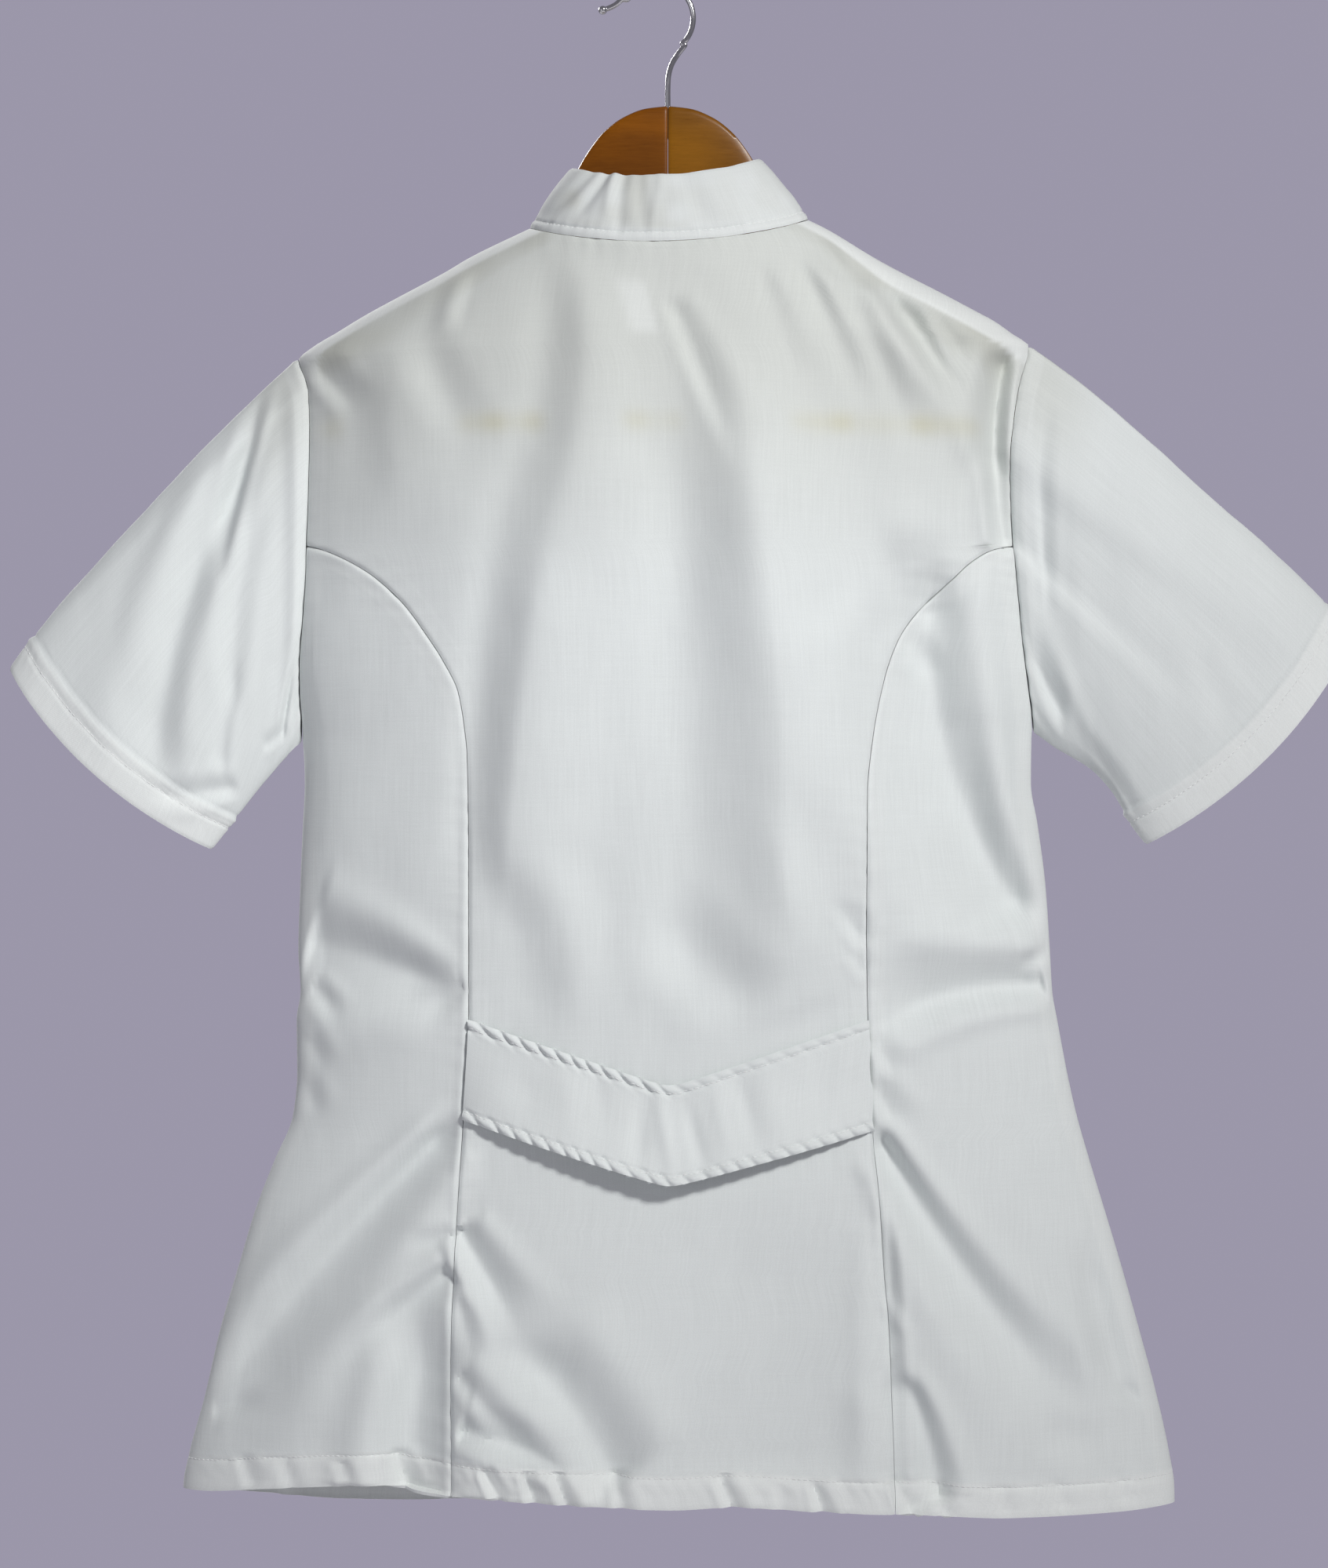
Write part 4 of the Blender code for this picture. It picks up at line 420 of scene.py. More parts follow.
def clustered(count: int, gather: float) -> Array:
    """Shares from 0 to 1 that crowd towards both ends.

    The share is t - gather sin(2 pi t) / (2 pi), so that the spacing at the
    ends is (1 - gather) of the mean.

    Args:
        count: number of shares.
        gather: 0 for even spacing, near 1 for crowded ends.

    Returns:
        The shares.
    """
    t = np.linspace(0.0, 1.0, count)
    return t - gather * np.sin(2 * math.pi * t) / (2 * math.pi)


def resample(points: Array, pitch: float) -> Array:
    """Points along a line every pitch, by straight interpolation."""
    run = run_length(points)
    marks = np.arange(pitch / 2, run[-1], pitch)
    return np.stack([np.interp(marks, run, points[:, k]) for k in range(3)], axis=-1)


def flowing(points: Array, steps: int) -> Array:
    """Fine Catmull-Rom curve through points.

    Each stretch is a cubic whose slope at a point is half the difference of
    that point's neighbours.

    Args:
        points: the points that the curve goes through.
        steps: fine points per stretch.

    Returns:
        The fine points.
    """
    ends = np.concatenate([[2 * points[0] - points[1]], points,
                           [2 * points[-1] - points[-2]]])
    t = (np.arange(steps) / steps)[None, :, None]
    p0, p1, p2, p3 = (ends[k:len(ends) - 3 + k, None] for k in range(4))
    curve = (p1 + 0.5 * t * (p2 - p0) + t ** 2 * (p0 - 2.5 * p1 + 2 * p2 - 0.5 * p3)
             + t ** 3 * (1.5 * p1 - 0.5 * p0 - 1.5 * p2 + 0.5 * p3))
    return np.concatenate([curve.reshape(-1, points.shape[1]), points[-1:]])


# ----------------------------------------------------------- body as a form
@dataclass(frozen=True)
class CreaseField:
    """Soft troughs and ridges drawn on one side of the body.

    Attributes:
        rows: the folds, with the columns named above FOLDS.
        crest: height of the soft ridges beside a trough, as a share of it.
    """

    rows: Array
    crest: float = 0.32

    def depth(self, x: Array, drop: Array) -> Array:
        """Depth of all folds at each point.

        A fold follows a bowed line whose width grows by its spread.  Across
        it the depth is a bell or a crease; the lean narrows one flank and
        widens the other.  Both ends fade out.

        Args:
            x: x of the points, mm.
            drop: drops of the points, mm.

        Returns:
            Depths in mm, positive inwards.
        """
        total = np.zeros(np.broadcast(x, drop).shape)
        for x0, d0, x1, d1, bow, width, depth, lean, sharp, grow, rise, fall in (
                self.rows):
            dx, dd = x1 - x0, d1 - d0
            length = math.hypot(dx, dd)
            along = ((x - x0) * dx + (drop - d0) * dd) / length ** 2
            across = ((x - x0) * dd - (drop - d0) * dx) / length
            inside = np.clip(along, 0.0, 1.0)
            across = across - bow * 4 * inside * (1 - inside)
            size = width * (1 + grow * (inside - 0.5))
            total = total + depth * self.profile(across / size, lean, sharp) * (
                smooth_step(-0.4 * rise, rise, along)
                * smooth_step(1 + 0.4 * fall, 1 - fall, along))
        return total

    def profile(self, share: Array, lean: float, sharp: float) -> Array:
        """Cross-section of a fold at a share of its half width."""
        share = share / np.where(share > 0, 1 + lean, 1 - lean)
        crests = bump(share - 1.9, 0.8) + bump(share + 1.9, 0.8)
        crease = np.exp(-1.5 * (np.sqrt(share ** 2 + 0.01) - 0.1))
        trough = (1 - sharp) * bump(share, 1.0) + sharp * crease
        return trough - self.crest * crests


@dataclass(frozen=True)
class BodyForm:
    """The hung body of the jacket, as rings at each drop.

    A point is set by phi, from -90 degrees at the left side fold to +90 at
    the right one, and by its drop.  All sizes are in mm.
    """

    centre_x: float = 4.8
    side_crisp: float = 1.2
    hanger_curve: float = 28.0
    hanger_half: float = 200.0
    seam: float = 0.3
    neck_left: tuple[float, float] = (-70.0, 132.6)
    neck_right: tuple[float, float] = (82.5, 127.9)
    neck_sag_back: float = 15.0
    neck_drop_front: float = 74.0
    tip: dict[Side, float] = field(
        default_factory=lambda: {Side.LEFT: 201.7, Side.RIGHT: 193.5})
    pit: dict[Side, float] = field(
        default_factory=lambda: {Side.LEFT: 411.7, Side.RIGHT: 406.5})
    seam_top: float = 305.9
    shoulder_row: float = 155.5
    hem_flat: float = 821.0
    hem_blend: float = 730.0
    belt_ends: tuple[float, float] = (-101.6, 114.5)
    belt_top: tuple[float, float] = (563.5, 598.0)
    belt_low: tuple[float, float, float] = (618.4, 651.4, 623.5)
    fold_gap: float = 0.009
    creases: dict[Face, CreaseField] = field(
        default_factory=lambda: {face: CreaseField(FOLDS[face]) for face in Face})

    @property
    def neck_mid(self) -> float:
        """x of the middle of the neck opening."""
        return (self.neck_left[0] + self.neck_right[0]) / 2

    @property
    def neck_half(self) -> float:
        """Half width of the neck opening."""
        return (self.neck_right[0] - self.neck_left[0]) / 2

    def spread_of(self, phi: Array) -> Array:
        """Turn phi into the even spacing used for columns."""
        return 0.72 * np.sin(phi) + 0.28 * phi * 2 / math.pi

    def phi_of(self, spread: Array) -> Array:
        """Turn column spacing back into phi."""
        angles = np.linspace(-math.pi / 2, math.pi / 2, 2881)
        return np.interp(spread, self.spread_of(angles), angles)

    def half_widths(self, drop: Array) -> tuple[Array, Array]:
        """Half widths of the body left and right of its centre line."""
        left = self.centre_x - smooth_lookup(OUTLINE, 1, drop)
        right = smooth_lookup(OUTLINE, 2, drop) - self.centre_x
        return left, right

    def phi_at(self, x: Array, drop: Array) -> Array:
        """Angle of the point of a ring that lies at x."""
        left, right = self.half_widths(drop)
        share = (x - self.centre_x) / np.where(x < self.centre_x, left, right)
        return np.arcsin(np.clip(share, -1.0, 1.0))

    def x_at(self, phi: Array, drop: Array) -> Array:
        """x of the point of a ring that lies at phi."""
        left, right = self.half_widths(drop)
        return self.centre_x + np.where(phi < 0, left, right) * np.sin(phi)

    def neck_drop(self, x: Array, face: Face) -> Array:
        """Drop of the collar seam above a point at x."""
        (_, dl), (_, dr) = self.neck_left, self.neck_right
        share = np.clip((x - self.neck_mid) / self.neck_half, -1.0, 1.0)
        sag = self.neck_sag_back if face is Face.BACK else self.neck_drop_front
        tilt = (dl + dr) / 2 + share * (dr - dl) / 2
        return tilt + sag * (1 - share ** 2) ** 0.75

    def belt_edge(self, x: Array, low: float | Array) -> Array:
        """Drop of the belt between its upper (low=0) and lower (low=1) edge."""
        (left, right), (low_left, low_mid, low_right) = self.belt_ends, self.belt_low
        mid = (left + right) / 2
        share = np.clip(np.abs(x - mid) / ((right - left) / 2), 0, 1.2)
        share = np.sqrt(share ** 2 + 0.0025) - 0.05 * (1 - np.minimum(share, 1.0))
        end = np.where(x < mid, low_left, low_right)
        top = self.belt_top[1] + (self.belt_top[0] - self.belt_top[1]) * share
        bottom = low_mid + (end - low_mid) * share
        return top + (bottom - top) * low

    def calm(self, face: Face, x: Array, drop: Array) -> Array:
        """Factor that keeps folds off the belt, the closure and the neck."""
        if face is Face.FRONT:
            lap = smooth_step(26.0, 42.0, np.abs(x - self.centre_x))
            return lap * smooth_step(0.0, 26.0, drop - self.neck_drop(x, face))
        across = (smooth_step(-4.0, 8.0, self.belt_ends[0] - x)
                  + smooth_step(-4.0, 8.0, x - self.belt_ends[1]))
        below_top = smooth_step(-24.0, -6.0, drop - self.belt_edge(x, 0.0))
        above_low = smooth_step(24.0, 6.0, drop - self.belt_edge(x, 1.0))
        neck = smooth_step(2.0, 24.0, drop - self.neck_drop(x, face))
        return np.clip(1.0 - below_top * above_low + across, 0.0, 1.0) * neck

    def point(self, face: Face, phi: Array, drop: Array,
              relief: float | Array = 0.0) -> Array:
        """Point on the outside of the body.

        x is the half width times sin(phi); y is the hanger's forward curve
        plus the depth times cos(phi)^crisp, less the folds, plus the relief.

        Args:
            face: back or front.
            phi: angle round the body, radians.
            drop: drop, mm.
            relief: extra height outwards, mm.

        Returns:
            Points in mm.
        """
        left, right = self.half_widths(drop)
        half = np.where(phi < 0, left, right)
        x = self.centre_x + half * np.sin(phi)
        deep = smooth_lookup(DEPTH, 1 if face is Face.BACK else 2, drop)
        lean = self.hanger_curve * (
            np.minimum(half, self.hanger_half) / self.hanger_half) ** 2
        lean = lean * smooth_lookup(DEPTH, 3, drop)
        swell = np.maximum(np.cos(phi), 0.0) ** self.side_crisp
        sunk = self.creases[face].depth(x, drop) * self.calm(face, x, drop)
        sunk = (sunk - relief) * np.minimum(1.0, swell * 3.2)
        y = lean * np.sin(phi) ** 2 + face.value * (deep * swell - sunk)
        return np.stack([x, y, -drop * np.ones_like(x)], axis=-1)

    def out(self, face: Face, phi: Array, drop: Array) -> Array:
        """Outward direction of the body at a point."""
        step = 0.02
        p0 = np.maximum(phi - step, -math.pi / 2)
        p1 = np.minimum(phi + step, math.pi / 2)
        across = self.point(face, p1, drop) - self.point(face, p0, drop)
        down = self.point(face, phi, drop + 1.0) - self.point(face, phi, drop - 1.0)
        return unit(np.cross(down, across)) * -face.value

    def arm_phi(self, side: Side, face: Face, drop: Array) -> Array:
        """Angle of the armhole seam at a drop; its ends lie in the side fold."""
        x = smooth_lookup(ARMHOLE[side], 1 if face is Face.BACK else 2, drop)
        end = (drop <= self.tip[side] + 0.01) | (drop >= self.pit[side] - 0.01)
        return np.where(end, side.value * math.pi / 2, self.phi_at(x, drop))

    def seam_column(self, table: Array, column: int, drops: Array,
                    shift: float) -> Array:
        """Column position of a seam, half a seam gap to one side of it."""
        x = smooth_lookup(table, column, drops)
        slope = (smooth_lookup(table, column, drops + 0.5)
                 - smooth_lookup(table, column, drops - 0.5))
        x = x + shift * self.seam / 2 * np.sqrt(1 + slope ** 2)
        return self.spread_of(self.phi_at(x, drops))

    def outer_column(self, side: Side, face: Face, drops: Array) -> Array:
        """Panel edge along the shoulder, the armhole and the side seam."""
        fold = np.full(len(drops), side.value * self.spread_of(
            math.pi / 2 - self.fold_gap))
        inside = np.clip(drops, self.tip[side], self.pit[side])
        arm = self.seam_column(ARMHOLE[side], 1 if face is Face.BACK else 2,
                               inside, -side.value)
        in_hole = (drops > self.tip[side]) & (drops < self.pit[side])
        return np.where(in_hole & (side.value * (arm - fold) < 0), arm, fold)

    def hem_shift(self, face: Face, x: Array, drop: Array) -> Array:
        """Lower the last rows so that the bottom row lies on the hem line."""
        share = (drop - self.hem_blend) / (self.hem_flat - self.hem_blend)
        share = np.clip(share, 0, 1)
        return share ** 2 * (smooth_lookup(HEM[face], 1, x) - self.hem_flat)

    def hem_line(self, face: Face, x: Array) -> Array:
        """Drop of the bottom edge above x."""
        return smooth_lookup(HEM[face], 1, x)

    def neck_point(self, face: Face, alpha: Array) -> tuple[Array, Array]:
        """Phi and drop of the collar seam, alpha -90 to +90 left to right."""
        x = self.neck_mid + np.sin(alpha) * self.neck_half
        drop = self.neck_drop(x, face)
        return self.phi_at(x, drop), drop

    def neck_row(self, face: Face, alphas: Array) -> Array:
        """Column positions and drops along the collar seam."""
        phi, drop = self.neck_point(face, alphas)
        limit = math.pi / 2 - self.fold_gap
        spread = self.spread_of(np.clip(phi, -limit, limit))
        return np.stack([spread, drop + self.seam / 2], axis=-1)


def coons(bottom: Array, top: Array, start: Array, end: Array, rows: Array) -> Array:
    """Fill a patch between four edges (Coons patch).

    Each point is the blend of the two side edges plus the blend of bottom
    and top, less the blend of the four corners.

    Args:
        bottom: (columns, 2) spread and drop of the lower edge.
        top: the same of the upper edge.
        start: (rows, 2) of the first side, from the bottom up.
        end: (rows, 2) of the other side.
        rows: shares 0 to 1 of the rows, from the bottom up.

    Returns:
        (rows, columns, 2) spreads and drops.
    """
    u = (bottom[:, 0] - bottom[0, 0]) / (bottom[-1, 0] - bottom[0, 0])
    w = (top[:, 0] - top[0, 0]) / (top[-1, 0] - top[0, 0])
    v = rows[:, None]
    mix = (u[None] * (1 - v) + w[None] * v)[..., None]
    v = v[..., None]
    sides = start[:, None] * (1 - mix) + end[:, None] * mix
    ends = top[None] * v + bottom[None] * (1 - v)
    corners = ((1 - mix) * (1 - v) * bottom[0] + mix * (1 - v) * bottom[-1]
               + (1 - mix) * v * top[0] + mix * v * top[-1])
    return sides + ends - corners


# ------------------------------------------------------------- mesh writing
@dataclass(frozen=True)
class Shell:
    """A closed wall between an outer and an inner grid of points.

    Attributes:
        outer: (rows, columns, 3) points in mm.
        wall: wall thickness in mm, a number or one per point.
        uv: (rows, columns, 2) cloth coordinates in mm.
        tint: (rows, columns, 3) colour factors.
        wrap: True for a tube, whose columns close on themselves.
        flip: True where the grid's normals point inwards.
    """

    outer: Array
    wall: float | Array
    uv: Array
    tint: Array
    wrap: bool = False
    flip: bool = False

    def quads(self) -> Array:
        """Corners of all quads: outer skin, inner skin and rims."""
        rows, cols = self.outer.shape[:2]
        index = np.arange(rows * cols).reshape(rows, cols)
        grid = np.concatenate([index, index[:, :1]], axis=1) if self.wrap else index
        a, b, d, e = (grid[:-1, :-1], grid[:-1, 1:], grid[1:, :-1], grid[1:, 1:])
        skin = np.stack([a, d, e, b], axis=-1).reshape(-1, 4)
        inner = np.stack([a, b, e, d], axis=-1).reshape(-1, 4) + rows * cols
        if self.wrap:
            edges = [grid[0], grid[-1, ::-1]]
        else:
            edges = [np.concatenate([grid[0], grid[1:, -1], grid[-1, -2::-1],
                                     grid[-2::-1, 0]])]
        rims = [np.stack([r[:-1], r[1:], r[1:] + rows * cols, r[:-1] + rows * cols],
                         axis=-1) for r in edges]
        faces = np.concatenate([skin, inner, *rims])
        return faces[:, ::-1] if self.flip else faces

    def line_at(self, field_: Array, level: float) -> "SeamPath":
        """Line where a field that falls from row to row passes a level.

        Args:
            field_: (rows, columns) values that fall along each column.
            level: value to look for.

        Returns:
            The line, one point per column.
        """
        row = np.clip(np.argmax(field_ < level, axis=0), 1, None)
        column = np.arange(self.outer.shape[1])
        high, low = field_[row - 1, column], field_[row, column]
        share = ((high - level) / (high - low))[:, None]
        points = (self.outer[row - 1, column] * (1 - share)
                  + self.outer[row, column] * share)
        out = grid_normals(self.outer, self.wrap) * (-1 if self.flip else 1)
        return SeamPath(points, out[row, column])

    def turned(self) -> "Shell":
        """The same grid with rows and columns exchanged."""
        return Shell(self.outer.transpose(1, 0, 2), self.wall, self.uv, self.tint,
                     flip=not self.flip)

    def build(self, name: str, material: bpy.types.Material) -> bpy.types.Object:
        """Write the wall as a smooth-shaded mesh.

        Args:
            name: name of the object.
            material: its finish.

        Returns:
            The object, at the origin.
        """
        normals = grid_normals(self.outer, self.wrap) * (-1 if self.flip else 1)
        rows, cols = self.outer.shape[:2]
        wall = np.broadcast_to(self.wall, (rows, cols))[..., None]
        inner = self.outer - normals * wall
        points = np.concatenate([self.outer.reshape(-1, 3), inner.reshape(-1, 3)])
        uv = np.tile(self.uv.reshape(-1, 2), (2, 1))
        tint = np.tile(self.tint.reshape(-1, 3), (2, 1))
        return write_mesh(name, points, self.quads(), material, uv=uv, tint=tint)


@dataclass(frozen=True)
class SeamPath:
    """A line on the cloth: points and unit directions out of the cloth."""

    points: Array
    out: Array

    def part(self, keep: Array) -> "SeamPath":
        """The stretch whose points are marked True."""
        return SeamPath(self.points[keep], self.out[keep])


def write_mesh(name: str, points: Array, faces: Array, material: bpy.types.Material,
               uv: Array | None = None, tint: Array | None = None,
               sharp_deg: float = 55.0) -> bpy.types.Object:
    """Put points and faces into a smooth-shaded mesh object.

    Args:
        name: name of the object.
        points: (n, 3) points in mm.
        faces: (m, 3 or 4) corner numbers.
        material: the finish.
        uv: (n, 2) cloth coordinates in mm, or None.
        tint: (n, 3) colour factors, or None.
        sharp_deg: edges that turn by more are shaded sharp.

    Returns:
        The object, riding on the garment's body.
    """
    sides = faces.shape[1]
    mesh = bpy.data.meshes.new(name)
    mesh.vertices.add(len(points))
    mesh.vertices.foreach_set("co", (points * MM).astype(np.float32).ravel())
    mesh.loops.add(faces.size)
    mesh.loops.foreach_set("vertex_index", faces.astype(np.int32).ravel())
    mesh.polygons.add(len(faces))
    starts = (np.arange(len(faces)) * sides).astype(np.int32)
    mesh.polygons.foreach_set("loop_start", starts)
    mesh.update(calc_edges=True)
    if uv is not None:
        layer = mesh.uv_layers.new(name="cloth")
        layer.data.foreach_set("uv", (uv * MM)[faces.ravel()].astype(
            np.float32).ravel())
    if tint is not None:
        colour = np.concatenate([tint, np.ones((len(tint), 1))], axis=1)
        shade = mesh.attributes.new("tint", "FLOAT_COLOR", "POINT")
        shade.data.foreach_set("color", colour.astype(np.float32).ravel())
    mesh.materials.append(material)
    mesh.shade_smooth()
    mesh.set_sharp_from_angle(angle=math.radians(sharp_deg))
    obj = bpy.data.objects.new(name, mesh)
    bpy.context.scene.collection.objects.link(obj)
    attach(obj, ROOT)
    return obj


def loft(name: str, rings: Array, material: bpy.types.Material,
         sharp_deg: float = 40.0) -> bpy.types.Object:
    """Closed body through rings, with a fan of triangles over each end.

    Args:
        name: name of the object.
        rings: (count, size, 3) points in mm.
        material: the finish.
        sharp_deg: edges that turn by more are shaded sharp.

    Returns:
        The object.
    """
    count, size = rings.shape[:2]
    index = np.arange(count * size).reshape(count, size)
    grid = np.concatenate([index, index[:, :1]], axis=1)
    a, b, d, e = (grid[:-1, :-1], grid[:-1, 1:], grid[1:, :-1], grid[1:, 1:])
    tri = np.concatenate([np.stack([a, b, e], axis=-1).reshape(-1, 3),
                          np.stack([a, e, d], axis=-1).reshape(-1, 3)])
    first, last = count * size, count * size + 1
    fan0 = np.stack([grid[0, 1:], grid[0, :-1], np.full(size, first)], axis=-1)
    fan1 = np.stack([grid[-1, :-1], grid[-1, 1:], np.full(size, last)], axis=-1)
    points = np.concatenate([rings.reshape(-1, 3), [rings[0].mean(axis=0)],
                             [rings[-1].mean(axis=0)]])
    faces = np.concatenate([tri, fan0, fan1])
    middle = points.mean(axis=0)
    corner = points[faces]
    volume = np.sum(np.cross(corner[:, 0] - middle, corner[:, 1] - middle)
                    * (corner[:, 2] - middle))
    return write_mesh(name, points, faces[:, ::-1] if volume < 0 else faces,
                      material, sharp_deg=sharp_deg)


# ----------------------------------------------------------------- finishes
class NodeBench:
    """Adds and links the nodes of one material or node group."""

    def __init__(self, tree: bpy.types.NodeTree) -> None:
        """Work on one tree."""
        self.tree = tree

    def add(self, kind: str, inputs: dict[str | int, object] | None = None,
            **settings: object) -> bpy.types.Node:
        """Add a node.

        Args:
            kind: node type, without its ShaderNode prefix.
            inputs: sockets to set or, given another node's socket, to link.
            settings: properties of the node.

        Returns:
            The node.
        """
        prefix = "" if kind.startswith("Node") else "ShaderNode"
        node = self.tree.nodes.new(prefix + kind)
        for key, value in settings.items():
            setattr(node, key, value)
        for key, value in (inputs or {}).items():
            if isinstance(value, bpy.types.NodeSocket):
                self.tree.links.new(value, node.inputs[key])
            else:
                node.inputs[key].default_value = value
        return node

    def math(self, operation: str, first: object, second: object = 0.0,
             third: object = 0.0) -> bpy.types.NodeSocket:
        """Add a Math node and return its output."""
        node = self.add("Math", {0: first, 1: second, 2: third}, operation=operation)
        return node.outputs[0]

    def noise(self, vector: object, scale: float, detail: float,
              rough: float = 0.5) -> bpy.types.NodeSocket:
        """Add a Noise Texture and return its factor."""
        return self.add("TexNoise", {"Vector": vector, "Scale": scale,
                                     "Detail": detail, "Roughness": rough}).outputs[0]

    def stretched(self, vector: object, scale: tuple[float, float, float]
                  ) -> bpy.types.NodeSocket:
        """Scale coordinates by different amounts along each axis."""
        return self.add("Mapping", {"Vector": vector, "Scale": scale}).outputs[0]

    def mix(self, share: object, first: object, second: object,
            blend: str = "MIX") -> bpy.types.NodeSocket:
        """Mix two colours and return the result."""
        node = self.add("Mix", data_type="RGBA", blend_type=blend)
        for key, value in ((0, share), (6, first), (7, second)):
            if isinstance(value, bpy.types.NodeSocket):
                self.tree.links.new(value, node.inputs[key])
            else:
                node.inputs[key].default_value = value
        return node.outputs[2]


@dataclass(frozen=True)
class EffectGroup:
    """A shader node group that several finishes share."""

    name: str
    inputs: tuple[tuple[str, str, object], ...]
    outputs: tuple[tuple[str, str], ...]

    def open(self) -> tuple[bpy.types.NodeTree, NodeBench, bpy.types.Node]:
        """Make the empty group with its sockets.

        Returns:
            The group, a bench for it, and its input node.
        """
        tree = bpy.data.node_groups.new(self.name, "ShaderNodeTree")
        for name, kind, value in self.inputs:
            socket = tree.interface.new_socket(name, in_out="INPUT", socket_type=kind)
            if value is not None:
                socket.default_value = value
        for name, kind in self.outputs:
            tree.interface.new_socket(name, in_out="OUTPUT", socket_type=kind)
        bench = NodeBench(tree)
        return tree, bench, bench.add("NodeGroupInput")

    def built(self) -> bpy.types.NodeTree:
        """The group, built once."""
        return bpy.data.node_groups.get(self.name) or self.build()

    def build(self) -> bpy.types.NodeTree:
        """Fill the group; each effect does this in its own way."""
        raise NotImplementedError


@dataclass(frozen=True)
class WeaveGroup(EffectGroup):
    """Plain weave: crossing threads with uneven, slubby yarns."""

    name: str = "plain_weave"
    inputs: tuple = (("Vector", "NodeSocketVector", None),
                     ("Threads per metre", "NodeSocketFloat", 2600.0),
                     ("Slub", "NodeSocketFloat", 1.0))
    outputs: tuple = (("Tone", "NodeSocketFloat"), ("Height", "NodeSocketFloat"),
                      ("Grip", "NodeSocketFloat"))

    def build(self) -> bpy.types.NodeTree:
        """Weave height is the product of two sines; slubs are long noises.

        Returns:
            The group.
        """
        tree, bench, given = self.open()
        place = given.outputs["Vector"]
        axes = bench.add("SeparateXYZ", {0: place})
        turns = bench.math("MULTIPLY", given.outputs["Threads per metre"], math.pi)
        warp = bench.math("SINE", bench.math("MULTIPLY", axes.outputs[0], turns))
        weft = bench.math("SINE", bench.math("MULTIPLY", axes.outputs[1], turns))
        threads = bench.math("MULTIPLY", warp, weft)
        ends = bench.noise(bench.stretched(place, (900.0, 26.0, 1.0)), 1.0, 3.0, 0.62)
        picks = bench.noise(bench.stretched(place, (34.0, 820.0, 1.0)), 1.0, 3.0, 0.6)
        speck = bench.noise(place, 1500.0, 2.0, 0.7)
        cloud = bench.noise(place, 26.0, 3.0, 0.55)
        uneven = bench.math("ADD", bench.math("MULTIPLY", ends, 0.15),
                            bench.math("MULTIPLY", picks, 0.06))
        uneven = bench.math("ADD", uneven, bench.math("MULTIPLY", speck, 0.17))
        uneven = bench.math("ADD", uneven, bench.math("MULTIPLY", cloud, 0.05))
        uneven = bench.math("SUBTRACT", uneven, 0.215)
        tone = bench.math("MULTIPLY_ADD", uneven, given.outputs["Slub"], 1.0)
        rise = bench.math("ADD", bench.math("MULTIPLY", threads, 0.22),
                          bench.math("MULTIPLY", bench.math("ADD", ends, picks), 0.55))
        rise = bench.math("ADD", rise, bench.math("MULTIPLY", speck, 0.35))
        grip = bench.math("MULTIPLY_ADD", speck, 0.16, 0.70)
        bench.add("NodeGroupOutput", {"Tone": tone, "Height": rise, "Grip": grip})
        return tree


@dataclass(frozen=True)
class GrainGroup(EffectGroup):
    """Wood grain: long fibres, growth bands and small dark pores."""

    name: str = "wood_grain"
    inputs: tuple = (("Vector", "NodeSocketVector", None),
                     ("Dark", "NodeSocketColor", (0.2, 0.1, 0.04, 1.0)),
                     ("Light", "NodeSocketColor", (0.6, 0.4, 0.2, 1.0)),
                     ("Bands", "NodeSocketFloat", 120.0))
    outputs: tuple = (("Color", "NodeSocketColor"), ("Height", "NodeSocketFloat"),
                      ("Gloss", "NodeSocketFloat"))

    def build(self) -> bpy.types.NodeTree:
        """Bands are a sine of the warped height; fibres a stretched noise.

        Returns:
            The group.
        """
        tree, bench, given = self.open()
        place = given.outputs["Vector"]
        warp = bench.noise(bench.stretched(place, (9.0, 22.0, 14.0)), 1.0, 3.0, 0.5)
        axes = bench.add("SeparateXYZ", {0: place})
        across = bench.math("MULTIPLY_ADD", axes.outputs[0], 0.55, axes.outputs[2])
        across = bench.math("MULTIPLY_ADD", warp, 0.11, across)
        bands = bench.math("SINE", bench.math("MULTIPLY", across,
                                              given.outputs["Bands"]))
        bands = bench.math("MULTIPLY_ADD", bands, 0.5, 0.5)
        fibre = bench.noise(bench.stretched(place, (70.0, 900.0, 900.0)), 1.0, 4.0, 0.6)
        pores = bench.noise(bench.stretched(place, (240.0, 2400.0, 2400.0)), 1.0, 2.0,
                            0.5)
        broad = bench.noise(place, 34.0, 2.0, 0.5)
        share = bench.math("ADD", bench.math("MULTIPLY", bands, 0.34),
                           bench.math("MULTIPLY", fibre, 0.42))
        share = bench.math("ADD", share, bench.math("MULTIPLY", broad, 0.34))
        colour = bench.mix(share, given.outputs["Dark"], given.outputs["Light"])
        dots = bench.math("MULTIPLY", bench.math("SUBTRACT", 0.40, pores), 2.2)
        dots = bench.math("MAXIMUM", dots, 0.0)
        colour = bench.mix(dots, colour, given.outputs["Dark"])
        rise = bench.math("ADD", bench.math("MULTIPLY", fibre, 0.6),
                          bench.math("MULTIPLY", bands, 0.2))
        gloss = bench.math("MULTIPLY_ADD", fibre, 0.16, 0.26)
        bench.add("NodeGroupOutput", {"Color": colour, "Height": rise, "Gloss": gloss})
        return tree


